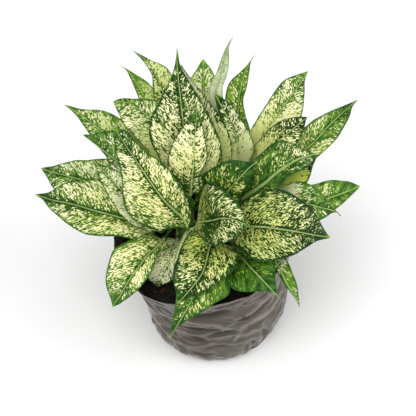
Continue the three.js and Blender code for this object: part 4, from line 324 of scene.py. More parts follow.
      [28.51,88.71,297.68,27.82,89.16,297.62,25.68,90.49,297.68],
      [31.03,92.66,303.81,30.96,93.02,303.56,30.07,93.88,303.5],
      [33.48,95.21,307.58,33.49,95.55,307.3,33.5,95.88,307.02]]),
    ("leaf_22", [[-18.64,10.4,152.41], [-18.19,19.83,169.41], [3.92,46.28,169.98], [3.95,50.76,188.9]],
     [[1.98,48.87,190.47,3.95,50.76,188.9,5.93,51.95,187.44],
      [-5.33,48.53,194.52,3.96,51.65,192.76,13.15,51.55,191.55],
      [-13.72,48.59,200.57,3.96,53.09,198.55,21.39,51.53,197.7],
      [-19.76,50.31,210.48,3.97,55.74,208.19,26.98,53.2,207.78],
      [-21.73,53.77,222.18,3.96,59.41,219.71,27.89,56.7,219.68],
      [-20.92,58.73,234.62,3.94,64.06,232.06,24.62,61.9,232.25],
      [-14.42,65.44,246.45,3.9,69.5,244.19,17.2,68.52,244.22],
      [-12.12,71.72,257.2,3.84,75.3,255.09,15.96,74.54,255.33],
      [-9.65,78.1,266.48,3.44,81.29,264.72,14.98,80.83,265.31],
      [-3.27,84.92,273.66,3.31,86.68,272.3,11.22,86.44,272.47],
      [0.36,89.37,278.14,3.27,90.52,277.17,6.56,90.85,276.9],
      [3.27,92.47,280.95,3.27,93.19,280.34,3.27,93.91,279.73]]),
    ("leaf_23", [[-6.59,35.06,152.41], [12.41,52.81,161.52], [38.55,44.87,170.76], [38.46,48.51,181.17]],
     [[36.6,49.49,179.76,38.46,48.51,181.17,40.32,46.34,182.94],
      [33.69,50.07,184.42,38.41,50.01,185.51,43.01,47.07,187.53],
      [29.27,51.01,191.47,38.37,52.36,191.99,47.1,48.22,194.42],
      [25.91,54.25,202.84,38.34,56.6,202.71,49.8,51.73,205.42],
      [25.3,59.77,215.99,38.39,62.24,215.37,49.91,57.47,218.08],
      [27.72,67.36,229.5,38.59,69.12,228.77,45.33,65.91,230.79],
      [25.06,74.94,243.86,39,76.83,241.73,43.29,74.35,243.21],
      [29.33,84.85,256.51,41.46,84.59,253.04,46.77,81.08,254.09],
      [40.7,93.03,263.89,44.98,92.14,262.74,48.71,89.28,263.49],
      [48.91,99.16,269.52,49.09,98.44,270,50.56,96.72,270.51],
      [52.54,103.23,273.87,52.52,102.61,274.39,52.79,101.76,274.9],
      [55.11,105.94,276.63,55.09,105.36,277.12,55.06,104.78,277.61]]),
    ("leaf_24", [[-19.23,10.6,145.41], [-19.64,24.47,157.9], [-18.16,35.38,174.44], [-20.25,45.02,190.28]],
     [[-22.16,43.1,191.79,-20.25,45.02,190.28,-18.3,46.47,189.05],
      [-25.66,45.04,196.09,-20.77,47.63,194.65,-15.71,49.03,193.96],
      [-31.09,47.9,202.24,-21.83,51.74,201.05,-12.17,53.38,201.41],
      [-36.43,54.03,211.88,-24.27,59.12,211.21,-11.31,61.5,212.91],
      [-40.92,63.13,222.58,-28.2,68.84,222.42,-14.02,72.06,225.26],
      [-44.96,74.91,233.05,-33.41,80.39,233.19,-19.04,84.23,236.87],
      [-47.49,88.81,242.37,-39.23,92.91,242.45,-25.7,96.9,246.43],
      [-48.61,102.82,249.67,-45.11,105.12,249.65,-33.46,109.66,254.03],
      [-54.8,113.88,254.2,-52.54,116,254.5,-48.82,118.73,256.52],
      [-61.47,122.79,256.7,-60.21,124.22,256.94,-59.37,125.2,257.37],
      [-66.29,128.67,257.82,-65.67,129.52,257.94,-65.41,129.98,258.02],
      [-69.46,132.78,258.45,-69.47,132.92,258.33,-69.48,133.06,258.22]]),
    ("leaf_25", [[32.66,36.52,110.41], [28.05,65.91,120.83], [-21.19,23.79,158.73], [-28.38,41.63,183.7]],
     [[-30.29,40.98,183.66,-28.38,41.63,183.7,-26.42,41.82,184.07],
      [-33.35,43.09,187.52,-29.47,44.42,187.69,-25.42,44.85,188.56],
      [-38.7,46.07,192.97,-31.36,48.79,193.47,-23.66,49.86,195.39],
      [-44.69,52.58,201.57,-35.15,56.56,202.46,-24.94,58.58,205.51],
      [-50.45,62.08,210.92,-40.62,66.64,212.08,-29.61,69.56,215.95],
      [-56.04,74.09,219.76,-47.42,78.41,220.94,-36.49,81.98,225.3],
      [-60.84,87.73,227.28,-54.81,90.89,228.16,-44.18,94.9,232.78],
      [-66,100.74,232.87,-61.89,102.94,233.47,-53.01,106.6,237.52],
      [-71.01,112.68,236.82,-68.76,114.16,237.25,-65.02,116.21,239.27],
      [-75.62,122.68,239.19,-75.41,122.94,239.19,-74.36,123.79,239.88],
      [-80.39,128.36,239.89,-80.39,128.44,239.82,-80.03,128.86,240.06],
      [-83.9,131.87,240.05,-83.91,131.95,239.98,-83.91,132.04,239.9]]),
    ("leaf_26", [[-24.78,8.4,134.91], [-30.48,13.73,141.93], [-26.49,17.52,163.97], [-45.31,27.58,179.22]],
     [[-46.54,27.45,177.28,-45.31,27.58,179.22,-43.87,27.23,181.59],
      [-53.06,25.41,178.91,-48.87,29.46,182.16,-43.88,31.84,187.1],
      [-62.3,23.62,181.5,-54.33,32.5,186.35,-44.95,38.4,194.61],
      [-74.44,26.01,186.94,-63.69,38.19,192.67,-51.21,46.92,203.52],
      [-86.82,33.26,193.44,-75.24,46.05,199.05,-61.57,56.29,211.14],
      [-98.53,44.57,199.64,-87.92,55.72,204.41,-73.93,66.82,216.99],
      [-108.67,58.41,204.68,-100.54,66.42,208.18,-87.38,77.32,220.16],
      [-117.32,72,208.03,-112.01,76.99,210.37,-102.68,85.08,219.21],
      [-125.12,84.56,209.89,-122.56,86.88,211.22,-118.65,90.44,215.36],
      [-132.26,94.12,210.38,-131.26,94.93,211.07,-129.76,96.34,212.95],
      [-137.52,100,210.15,-137.13,100.18,210.53,-136.51,100.7,211.44],
      [-141.1,103.84,209.82,-141.07,103.64,210,-141.04,103.44,210.18]]),
    ("leaf_27", [[-18.96,33.07,145.41], [-29.06,37.53,165.29], [-47.23,12.1,159.14], [-55.43,12.44,163.04]],
     [[-55.61,9.19,163.81,-55.43,12.44,163.04,-54.97,15.4,162.66],
      [-61.01,0.4,162.04,-59.38,12.57,164.97,-56.23,22.93,170.18],
      [-68.98,-8.86,160.8,-65.46,12.94,167.67,-59.32,31.22,179.02],
      [-81.58,-14.46,161.95,-75.99,14.13,171.58,-67.78,37.65,187.39],
      [-96.46,-13.92,164.65,-89.15,16.59,175.12,-80.51,40.9,192.13],
      [-111.47,-5.71,168.24,-103.82,20.65,177.33,-96.16,41.94,192.55],
      [-125.98,4.43,170.15,-118.54,26.09,177.76,-112.49,42.67,189.76],
      [-139.34,13.2,169.77,-131.88,32.18,176.7,-126.82,45.68,186.66],
      [-149.38,24.59,169.33,-143.77,38.42,174.65,-141.02,46.25,180.56],
      [-156.08,38.52,170.07,-153.2,43.89,172.34,-151.19,48.11,175.8],
      [-160.37,46.49,169.96,-159.17,48.09,170.92,-158.08,49.7,172.61],
      [-163.08,51.42,169.68,-163.02,51.08,170.02,-162.96,50.75,170.35]]),
    ("leaf_28", [[28.27,-10.31,134.91], [-1.27,-3.87,162.13], [46.18,45.32,174.67], [56.5,45.22,187.25]],
     [[55.35,46.34,188.38,56.5,45.22,187.25,57.21,43.67,186.4],
      [54.48,49.03,192.88,58.29,45.18,189.46,60.58,40.08,187.13],
      [54.31,51.93,198.7,61.08,45.27,192.73,65.45,36.28,188.75],
      [58.19,52.92,204.95,66.01,45.9,198.03,71.59,36.06,193.63],
      [63.48,54.95,211.87,72.38,47.66,203.9,79.65,37.01,199.17],
      [69.73,58.64,218.34,79.71,51.02,209.25,88.81,40.12,204.4],
      [77.26,62.9,222.39,87.12,55.86,213.16,96.79,46.48,208.65],
      [85.59,66.5,223.44,93.72,61.32,215.45,101.79,55.18,211.6],
      [93.3,69.95,223.12,99.43,66.84,216.59,104.52,64.43,213.48],
      [100.09,72.34,221.78,103.83,71.55,216.99,106.33,71.86,214.37],
      [104.94,73.61,220.38,106.63,74.75,217.05,107.72,76.45,214.64],
      [108.21,74.4,219.32,108.45,76.9,217.01,108.69,79.39,214.7]]),
    ("leaf_29", [[42.98,-9.54,152.41], [54.69,-5.43,156.76], [68.4,4.38,149.64], [80.49,3.65,154.75]],
     [[80.06,3.39,157.82,80.49,3.65,154.75,80.66,3.67,152.1],
      [82.46,7.66,162.08,83.78,3.41,156.17,84.2,-1.82,151.84],
      [86.06,13.02,167.55,88.84,3.29,158.15,90.12,-8.4,151.85],
      [93.1,17.26,172.69,97.53,3.86,160.95,100.62,-12.45,153.43],
      [102.73,19.99,175.4,108.24,5.86,163.27,113.37,-11.82,155.67],
      [114.17,22.31,175.31,119.89,9.63,164.37,126.19,-6.15,157.66],
      [124.95,27.53,174.65,131.25,14.84,164,136.85,3.94,159.02],
      [134.76,31.89,171.98,141.23,20.74,162.63,145.97,13.57,159.01],
      [144.65,34.77,167.64,149.88,26.9,160.74,153.15,22.98,158.29],
      [152.52,37.84,163.94,156.61,32.35,158.84,158.69,30.43,157.15],
      [159.16,37.88,159.88,160.93,36.16,157.43,162.02,35.64,156.27],
      [163.62,38.05,157.18,163.73,38.76,156.45,163.84,39.48,155.72]]),
    ("leaf_30", [[29.2,-8.59,145.41], [12.4,-0.15,162.33], [56.19,28.07,146.77], [63.03,27.97,154.22]],
     [[62.04,29.9,154.65,63.03,27.97,154.22,63.68,25.71,154.07],
      [61.3,33.47,159.58,65.09,27.91,156.5,67.68,21.11,154.54],
      [60.92,37.91,166.25,68.31,28,159.84,73.69,15.67,155.71],
      [63.67,41.32,174.04,73.96,28.71,165.12,82.19,12.83,159.67],
      [69.68,43.64,180.58,81.16,30.68,170.69,91.44,14.3,165.08],
      [77.92,46.07,185.05,89.17,34.24,175.38,100.49,19.39,170.2],
      [86.7,49.15,187.38,96.98,39.01,178.54,108.09,26.79,173.97],
      [96.13,50.99,186.98,103.77,44.1,180.26,112.21,36.25,176.75],
      [105.06,52.4,185.45,109.58,49.05,181.06,114.71,45.31,178.52],
      [111.6,54.21,184.25,114.05,53.2,181.31,117.02,51.88,179.28],
      [115.84,55.47,183.34,116.9,55.98,181.33,118.29,56.26,179.63],
      [118.58,56.35,182.72,118.74,57.83,181.28,118.9,59.3,179.84]]),
    ("leaf_31", [[-7.61,23.54,138.41], [7.43,1.41,162.49], [45.08,36.35,165.69], [49.63,44.17,176.89]],
     [[47.76,45.27,176.52,49.63,44.17,176.89,51.35,42.45,177.52],
      [43.48,48.48,181.53,50.96,46.54,180.31,58.29,41.85,180.07],
      [39.66,53.62,188.85,53.24,50.16,185.37,66.93,41.48,183.81],
      [41.78,61.36,198.92,57.77,56.41,193.55,75.56,44.07,190.55],
      [51.48,69.11,208.09,64.24,64.34,202.85,80.79,51.88,199.44],
      [60.81,79.96,218.9,72.79,73.38,211.85,86.38,60.41,207.6],
      [67.96,88.08,226.48,81.96,83.28,219.88,100.12,71.43,216.54],
      [77.48,99.9,234.72,89.84,93.61,226.82,104.08,82.09,222.77],
      [85.94,108.43,239.42,98.11,103.16,231.93,105.89,98.22,229.7],
      [96.74,113.97,240.6,104.29,111.63,235.87,106.84,111.01,234.63],
      [105.05,117.65,240.79,108.14,117.52,238.35,108.83,118.28,237.3],
      [110.46,120.35,240.97,110.58,121.55,239.94,110.69,122.75,238.9]]),
    ("leaf_32", [[40.03,32.3,152.41], [49.75,39.24,156.6], [57.98,51.74,160.02], [69.56,53.37,164.85]],
     [[68.85,53.69,167.22,69.56,53.37,164.85,70.09,52.69,163.04],
      [71.8,57.72,171.8,74.23,53.94,166.77,76.03,49.13,163.7],
      [75.73,63.26,178.08,81.14,55.27,169.74,85.38,45.41,165.12],
      [83.44,69.1,185.17,92.27,58.7,174.78,99.55,46.3,169.62],
      [93.71,75.18,191.38,104.92,64.71,180.72,113.8,53.47,176.24],
      [105.19,81.85,196.1,117.63,73.23,186.66,128.04,63.72,183.1],
      [116.74,90.82,200.57,128.22,84.12,192.72,140.38,74.81,189.56],
      [131.06,99.32,202.67,138.57,94.26,196.67,147.82,86.64,193.82],
      [143.61,106.41,203.07,148.08,103.77,199.3,154.34,99.17,197.27],
      [153.77,112.6,202.99,155.78,111.69,200.84,157.59,110.89,199.74],
      [160.25,116.79,202.7,161.05,116.88,201.47,161.81,117.01,200.63],
      [164.49,119.57,202.39,164.6,120.3,201.73,164.7,121.03,201.07]]),
    ("leaf_33", [[43.05,-15.59,134.91], [52.07,-20.19,138.46], [69.81,-19.93,134.17], [72.01,-30.36,135.41]],
     [[73.89,-29.91,135.92,72.01,-30.36,135.41,70.05,-30.75,135.45],
      [75.08,-32.71,136.48,72.61,-33.32,135.8,70.44,-33.79,135.83],
      [78.67,-36.45,137.66,73.62,-37.76,136.2,69.45,-38.76,136.22],
      [83,-43.02,138.63,75.58,-45.12,136.29,70.67,-46.57,136.21],
      [87.88,-50.78,138.33,78.51,-53.68,135.11,74.96,-55.03,134.93],
      [91.1,-59.09,134.77,82.46,-62.01,131.6,79.12,-63.7,131.25],
      [94.76,-65.18,128.58,86.97,-68.3,125.51,84.8,-69.78,125.07],
      [97.2,-68.99,120.81,91.56,-71.72,118.41,90.43,-72.68,118.07],
      [97.92,-72.34,112.01,95.15,-73.44,111.05,94.51,-73.93,110.87],
      [98.89,-73.67,105.1,97.54,-74.16,104.67,97.16,-74.45,104.56],
      [99.45,-74.2,100.48,98.96,-74.37,100.33,98.72,-74.54,100.27],
      [99.83,-74.41,97.41,99.83,-74.41,97.41,99.83,-74.41,97.41]]),
    ("leaf_34", [[-15.14,9.67,141.91], [-8.48,21.18,146.57], [3.21,30.49,155.5], [2.73,40.57,165.33]],
     [[0.77,40.1,165.71,2.73,40.57,165.33,4.65,40.44,165.55],
      [-8.44,39.51,169.68,2.64,42.44,167.18,13.47,42.06,168.11],
      [-18.03,39.98,174.72,2.51,45.32,169.89,22.55,44.7,171.61],
      [-25.11,43.53,180.97,2.27,50.3,174.21,28.96,49.62,176.58],
      [-27.47,49.9,186.68,1.97,56.6,178.99,30.63,56.06,181.68],
      [-26.47,58.2,191.35,1.63,63.84,183.55,28.94,63.58,186.28],
      [-22.89,67.51,194.38,1.27,71.52,187.3,24.69,71.58,189.78],
      [-17.74,76.61,195.55,0.92,78.98,189.86,18.96,79.27,191.86],
      [-11.54,85.02,195.08,0.58,86.06,191.3,12.27,86.4,192.64],
      [-5.71,91.66,193.66,0.31,91.95,191.78,6.1,92.18,192.46],
      [-1.97,95.85,192.36,0.12,95.89,191.73,2.13,95.97,191.98],
      [0,98.53,191.51,0,98.51,191.53,0,98.48,191.55]]),
    ("leaf_35", [[30.65,34.72,148.91], [29.17,37.68,150.07], [25.82,39.87,153.09], [26.92,42.18,155.48]],
     [[25.02,42.66,155.89,26.92,42.18,155.48,28.38,41.42,155.54],
      [19.05,48.16,158.24,27.98,44.41,157.82,34.85,39.31,159.71],
      [13.11,55.18,161.62,29.63,47.87,161.19,42.46,38.32,165.22],
      [10.53,63.85,166.76,32.54,53.98,166.31,49.9,41.67,172.26],
      [12.68,72.57,171.86,36.32,61.9,171.4,55.43,49.59,178.42],
      [18.22,81.39,175.59,40.74,71.19,175.15,59.59,60.79,182.35],
      [26.07,89.71,176.86,45.39,80.93,176.5,62.21,73.42,182.87],
      [34.78,96.65,175.68,49.66,89.91,175.42,63.1,85.16,180.21],
      [43.76,102.08,172.81,53.42,97.77,172.64,62.36,95.26,175.55],
      [51.51,105.86,169.47,56.31,103.81,169.33,60.81,102.81,170.62],
      [56.46,108.24,166.84,58.13,107.63,166.71,59.72,107.41,167.05],
      [59.3,109.93,164.95,59.31,110.08,164.81,59.31,110.22,164.67]]),
    ("leaf_36", [[-17.16,35.45,148.91], [-19.21,37.62,149.96], [-16.86,34.93,156.28], [-18.41,36.78,158.32]],
     [[-19.62,35.51,158.51,-18.41,36.78,158.32,-16.88,37.6,158.76],
      [-26.35,31.09,163.19,-20.22,38.94,160.72,-12.45,44.54,161.55],
      [-34.51,27.62,169.26,-23.01,42.26,164.18,-8.68,52.98,165.45],
      [-43.56,28.87,176.82,-27.87,48.04,169.52,-8.84,62.53,171.15],
      [-51.53,35.5,183.47,-34.06,55.41,175.03,-13.72,71.15,176.83],
      [-58.66,45.88,188.17,-41.19,63.9,179.61,-21.95,79.08,181.39],
      [-64.55,58.39,190.01,-48.7,72.83,182.35,-32.33,86.03,183.94],
      [-68.69,70.96,188.94,-55.8,81.26,183,-43.29,91.56,184.25],
      [-71.03,82.79,185.69,-62.28,88.96,181.94,-54.23,95.67,182.77],
      [-71.94,92.28,181.7,-67.45,95.1,179.96,-63.48,98.4,180.42],
      [-72.4,98.22,178.65,-70.8,99.08,178.14,-69.43,100.15,178.37],
      [-73,101.8,176.61,-72.99,101.67,176.72,-72.98,101.55,176.84]]),
    ("leaf_37", [[-19.1,27.27,145.41], [-22.85,25.83,146.82], [-27.58,21.23,145.16], [-31.02,22.7,147.19]],
     [[-31.64,21.3,146.97,-31.02,22.7,147.19,-30.18,23.87,147.89],
      [-37.56,15.17,150.6,-34.55,24.2,149.34,-30.6,32.15,150.51],
      [-45.78,9.42,155.22,-40,26.53,152.26,-32.72,41.78,153.96],
      [-57.71,7.8,160.56,-49.47,30.57,156.16,-39.95,51.18,158.28],
      [-71.03,11.45,163.99,-61.34,35.63,158.97,-51.4,57.97,161.24],
      [-84.7,18.58,164.23,-74.5,41.25,159.39,-65.34,62.71,161.53],
      [-97.02,27.67,161.01,-87.49,46.8,157,-79.89,65.33,158.81],
      [-106.78,37.18,155.46,-98.97,51.71,152.59,-93.26,66.03,153.96],
      [-114.19,46.68,148.7,-108.9,55.95,147.02,-105.26,65.21,147.93],
      [-119.27,54.76,142.3,-116.57,59.24,141.61,-114.78,63.75,142.14],
      [-122.43,59.9,137.77,-121.46,61.33,137.66,-120.83,62.79,137.95],
      [-124.65,62.86,134.71,-124.63,62.69,134.88,-124.61,62.52,135.06]]),
    ("leaf_38", [[41.6,27.61,145.41], [44.66,27.46,146.49], [45.17,25.96,135.43], [47.34,27.32,137.43]],
     [[46.14,28.46,138.14,47.34,27.32,137.43,48.05,26.15,137.23],
      [44.23,36.38,140.91,49.82,28.87,139.79,53.17,21.24,141.19],
      [43.55,45.79,144.65,53.75,31.33,143.02,60.24,16.9,146.38],
      [47.51,55.4,149.37,60.85,35.77,147.28,70.4,16.9,152.5],
      [56.28,63.03,152.03,70.15,41.58,149.76,82.06,22.26,155.89],
      [67.66,68.78,150.43,80.41,47.99,148.42,93.58,30.7,154.12],
      [79.14,71.88,144.92,89.83,53.87,143.43,102.31,39.79,147.81],
      [89.32,72.56,137.72,97.5,58.66,136.72,107.65,48.19,139.69],
      [98.44,71.52,130.09,103.75,62.55,129.48,110.55,55.97,131.17],
      [105.76,69.81,123.41,108.41,65.45,123.05,111.85,62.32,123.75],
      [110.39,68.67,118.81,111.32,67.27,118.59,112.54,66.3,118.71],
      [113.17,68.27,115.71,113.19,68.43,115.54,113.21,68.59,115.38]]),
    ("leaf_39", [[29.07,33.93,141.91], [26.14,37.45,150.17], [17.13,44.89,144.51], [17.38,47.97,146.68]],
     [[15.33,48.02,146.89,17.38,47.97,146.68,19.28,47.56,146.98],
      [6.08,51.15,151.1,17.67,51.45,149.2,28.39,49.82,150.26],
      [-3.32,56.42,156.54,18.12,56.86,152.71,37.99,54.06,154.6],
      [-9.59,66.42,163.19,18.91,66.38,157.64,45.41,63.03,160.23],
      [-10.59,79.75,168.06,19.91,78.56,161.68,48.42,75.5,164.59],
      [-7.91,94.92,169.36,21.05,92.35,163.17,48.27,90.07,166.03],
      [-2.6,109.48,166.46,22.19,106.1,161.41,45.58,104.71,163.9],
      [4.11,121.43,160.72,23.18,118.18,157.19,41.24,117.49,159.1],
      [11.67,130.87,153.63,24.04,128.5,151.6,35.75,128.26,152.83],
      [18.56,137.64,147,24.69,136.39,146.09,30.49,136.34,146.71],
      [22.97,141.83,142.34,25.1,141.38,142.06,27.11,141.37,142.29],
      [25.37,144.61,139.22,25.37,144.59,139.24,25.37,144.58,139.25]]),
    ("leaf_40", [[-12.67,37.68,141.91], [-13.01,41.6,143.29], [-12.6,44.16,147.48], [-13.48,46.94,150.45]],
     [[-15.42,46.29,150.46,-13.48,46.94,150.45,-11.6,47.05,150.89],
      [-23.78,45.92,153.62,-14.27,49.44,153.18,-5.08,50.36,155.05],
      [-33.16,46.84,158.03,-15.51,53.36,157.09,1.43,55.33,160.68],
      [-41.32,51.86,164.41,-17.74,60.4,163,4.64,63.61,168.25],
      [-46.15,60.94,170.32,-20.72,69.8,168.63,2.96,74.36,174.94],
      [-48.7,73.1,173.73,-24.3,81.07,171.97,-2.29,87.17,178.49],
      [-49.12,86.42,173,-28.02,92.77,171.47,-9.67,99.75,176.96],
      [-47.63,98.42,168.86,-31.27,103,167.72,-17.41,109.35,171.55],
      [-44.62,108.65,162.98,-33.97,111.48,162.27,-25.09,115.96,164.47],
      [-41.26,116.42,157.19,-35.97,117.77,156.86,-31.59,120.08,157.84],
      [-39.05,121.21,153.02,-37.21,121.67,152.9,-35.69,122.49,153.22],
      [-38,124.16,150.15,-38,124.16,150.15,-38,124.16,150.15]]),
    ("leaf_41", [[-19.58,31.9,138.41], [-24.49,33.14,140.19], [-28.5,33.86,137.42], [-29.99,34.51,138.83]],
     [[-30.83,32.26,139.21,-29.99,34.51,138.83,-28.85,36.34,138.94],
      [-36.62,26.79,142,-32.77,35.73,141.58,-27.66,42.76,143.46],
      [-44.36,21.45,145.82,-37.22,37.69,145.33,-28.21,50.61,149.43],
      [-54.95,19.8,150.79,-45.42,41.31,150.16,-34.78,59.04,156.44],
      [-66.64,23.12,153.04,-56.3,46.13,152.42,-47.43,66.29,159.71],
      [-77.79,29.35,149.92,-67.95,51.3,149.63,-62.18,71.64,156.2],
      [-86.31,36.81,142.73,-78.13,55.8,142.78,-74.78,73.86,147.79],
      [-92.15,44.52,134.29,-86.15,59.33,134.48,-84.39,73.54,137.96],
      [-96.27,52.39,125.8,-92.61,62.17,125.95,-91.88,71.56,127.97],
      [-99.1,59.25,118.58,-97.41,64.27,118.55,-97.2,69.08,119.37],
      [-100.94,63.66,113.65,-100.4,65.58,113.47,-100.38,67.43,113.56],
      [-102.29,66.15,110.3,-102.32,66.42,110.02,-102.34,66.69,109.74]]),
    ("leaf_42", [[35.42,35.58,141.91], [36.11,39.25,143.22], [38.44,36.28,129.02], [40.79,38.23,131.53]],
     [[39.2,39.57,131.92,40.79,38.23,131.53,41.98,36.63,131.68],
      [35.26,46.34,136.37,43,40.07,134.01,48.84,32.6,134.33],
      [32.61,54.87,142.19,46.54,43.01,137.37,57.41,29.31,137.94],
      [35.74,65.22,148.9,53.04,48.41,141.65,67.64,30.29,142.47],
      [45.41,75.53,151.85,61.64,55.55,143.53,77.56,36.29,144.43],
      [57.75,84.14,148.13,70.85,63.18,140.77,86.22,44.99,141.46],
      [68.97,88.86,139.78,78.91,69.85,134.29,92.13,54.26,134.7],
      [78.19,90.2,130.23,85.28,75.13,126.48,95.44,63.07,126.68],
      [86.07,89.33,120.67,90.42,79.38,118.47,96.96,71.51,118.55],
      [92.16,87.53,112.53,94.24,82.53,111.52,97.46,78.6,111.55],
      [95.92,86.26,107.06,96.62,84.5,106.75,97.73,83.11,106.78],
      [98.16,85.79,103.48,98.15,85.76,103.52,98.15,85.73,103.55]]),
    ("leaf_43", [[40.24,23.13,134.91], [46.34,18.36,137.63], [54.46,8.5,127.83], [59.83,7.83,134]],
     [[59.7,9.89,134.31,59.83,7.83,134,59.43,5.96,134.13],
      [61.31,16.49,137.76,61.78,7.59,136.35,60.1,-0.53,136.98],
      [64.57,23.63,142.5,65.04,7.19,139.58,62,-7.86,140.96],
      [72.77,28.08,148.16,71.58,6.38,143.41,68.33,-13.75,145.83],
      [85.51,28.06,148.11,80.5,5.28,142.93,78.76,-16.59,145.19],
      [95.59,25.49,141.28,88.38,4.31,137.01,86.9,-16.64,138.04],
      [101.92,21.27,132.5,94.37,3.57,129.09,92.45,-14.37,129.28],
      [105.62,16.24,123.71,98.9,3.01,121.1,96.74,-10.73,120.86],
      [107.44,10.83,115.23,102.53,2.56,113.5,100.62,-6.25,113.13],
      [107.9,6.16,108.03,105.22,2.23,107.15,104.03,-2.08,106.88],
      [107.89,3.34,103.19,106.9,2.02,102.87,106.43,0.55,102.76],
      [107.98,1.88,100,107.98,1.88,100,107.98,1.88,100]]),
    ("leaf_44", [[-25.63,7.69,127.91], [-30.46,11.11,129.99], [-36.19,18.04,127.38], [-40.87,18.46,131.54]],
     [[-40.72,16.23,132.06,-40.87,18.46,131.54,-40.54,20.53,131.53],
      [-43.23,10.04,135.8,-43.75,18.72,134.21,-42.42,26.72,134.81],
      [-47.67,3.24,140.89,-48.37,19.14,137.86,-46.06,33.82,139.23],
      [-57.01,-1.13,147.12,-56.97,19.9,142.57,-54.44,39.45,144.7],
      [-70.54,-1.51,149.82,-68.51,20.9,144.62,-66.84,41.97,147.14],
      [-84.57,0.68,145.74,-80.8,21.95,141.44,-80.33,42.11,143.76],
      [-95.26,4.55,137.2,-91.36,22.83,134.29,-91.67,40.19,136.12],
      [-102.7,9.33,127.67,-99.61,23.51,125.85,-100.26,36.93,127.16],
      [-108.16,14.75,118.33,-106.22,24.05,117.3,-106.87,32.8,118.06],
      [-112.02,19.72,110.47,-111.11,24.44,109.93,-111.54,28.86,110.21],
      [-114.45,22.91,105.19,-114.17,24.67,104.89,-114.35,26.33,104.85],
      [-116.1,24.64,101.68,-116.12,24.83,101.48,-116.15,25.01,101.28]]),
    ("leaf_45", [[-7.12,36.23,134.91], [-3.75,40.52,136.82], [4.69,45.51,132.48], [3.67,49.98,136]],
     [[1.65,49.49,136.03,3.67,49.98,136,5.53,49.99,136.47],
      [-5.81,51.08,138.8,2.95,53.16,138.65,10.99,53.34,140.8],
      [-14.46,54.47,142.41,1.78,58.34,142.07,16.53,59.29,146.42],
      [-22.08,63,145.99,-0.41,68,145.46,18.77,71.38,151.94],
      [-26.49,74.97,144.56,-3.17,80.13,144.2,16.64,87.05,151.02],
      [-27.96,86.5,137.28,-5.77,91.62,137.37,12.44,100.46,143.03],
      [-26.85,96.21,127.28,-7.9,101.02,127.69,7.29,109.75,132.01],
      [-24.07,104.28,117.04,-9.57,108.36,117.56,1.84,115.69,120.66],
      [-20.23,111.4,107.28,-10.92,114.31,107.72,-3.7,119.36,109.65],
      [-16.5,117.19,99.15,-11.92,118.75,99.42,-8.43,121.37,100.35],
      [-14.13,120.96,93.69,-12.56,121.53,93.79,-11.36,122.47,94.11],
      [-12.96,123.32,90,-12.96,123.32,90,-12.96,123.32,90]]),
    ("leaf_46", [[31.54,35.73,127.91], [30.3,39.61,129.34], [26.05,45.48,124.69], [27.58,48.18,127.69]],
     [[25.62,48.57,128.32,27.58,48.18,127.69,29.21,47.39,127.54],
      [20.8,52.85,132.27,28.85,50.42,130.3,35.6,46.4,130.48],
      [16.25,59.18,137.62,30.93,54.08,133.84,43.49,46.57,134.48],
      [16.17,69.44,143.81,34.9,61.1,138.07,51.83,51.35,139.24],
      [21.68,82.31,144.82,40.2,70.48,138.54,58.78,60.67,139.83],
      [28.88,92.9,138.36,45.36,79.59,133.35,63.3,70.63,134.23],
      [35.88,99.13,128.75,49.51,86.89,125.14,64.94,79.24,125.63],
      [42.42,102.25,118.88,52.69,92.49,116.4,64.57,86.54,116.63],
      [48.69,103.42,109.37,55.24,96.96,107.87,62.91,93.06,107.94],
      [53.93,103.5,101.4,57.13,100.27,100.67,60.92,98.34,100.65],
      [57.21,103.44,96.06,58.31,102.34,95.78,59.62,101.69,95.74],
      [59.07,103.62,92.54,59.07,103.67,92.49,59.07,103.72,92.45]]),
    ("leaf_47", [[-18.51,35.01,124.41], [-21.9,37.61,125.91], [-26.46,39.55,127.35], [-28.43,42.64,130]],
     [[-29.87,41.23,130.52,-28.43,42.64,130,-26.8,43.65,130.03],
      [-36.34,39.82,134.93,-30.32,45.6,132.68,-23.54,49.78,132.83],
      [-44.85,40.22,140.67,-33.36,50.35,136.15,-20.85,58.15,136.47],
      [-55.29,47.22,146.47,-38.95,59.1,139.81,-22.35,69.6,140.3],
      [-65.21,60.02,146.52,-46.03,70.18,139.39,-28.31,81.63,139.83],
      [-72.5,73.44,139.4,-53.01,81.12,133.42,-36.14,92.06,133.62],
      [-76.17,84.75,128.61,-58.89,90.33,124.13,-44.34,99.6,124.11],
      [-77.08,93.78,117.18,-63.53,97.58,114.06,-52.22,104.6,113.93],
      [-76.16,101.24,106.01,-67.28,103.46,104.12,-59.9,107.92,103.97],
      [-74.52,106.84,96.55,-70.09,107.86,95.65,-66.4,110.02,95.56],
      [-73.39,110.28,90.19,-71.85,110.61,89.89,-70.57,111.35,89.85],
      [-72.98,112.38,86,-72.98,112.38,86,-72.98,112.38,86]]),
]


# ---------------------------------------------------------------- small tools
def lattice(seed):
    rng = np.random.RandomState(seed)
    g = rng.normal(size=(4096, 3))
    return g / np.linalg.norm(g, axis=1)[:, None]


GRADIENTS = lattice(11)


def gnoise(p, seed=0):
    """Smooth 3-D gradient noise, about -1 to 1, for an array of points."""
    p = np.asarray(p, float)
    i = np.floor(p).astype(np.int64)
    f = p - i
    u = f * f * f * (f * (f * 6 - 15) + 10)
    total = np.zeros(p.shape[:-1])
    for dx in (0, 1):
        for dy in (0, 1):
            for dz in (0, 1):
                h = ((i[..., 0] + dx) * 73856093) ^ ((i[..., 1] + dy) * 19349663) ^ ((i[..., 2] + dz) * 83492791) ^ (seed * 2654435)
                g = GRADIENTS[(h ^ (h >> 7) ^ (h >> 15)) & 4095]
                d = (f - np.array([dx, dy, dz]))
                w = (u[..., 0] if dx else 1 - u[..., 0]) * (u[..., 1] if dy else 1 - u[..., 1]) * (u[..., 2] if dz else 1 - u[..., 2])
                total += w * (g * d).sum(-1)
    return total * 1.6


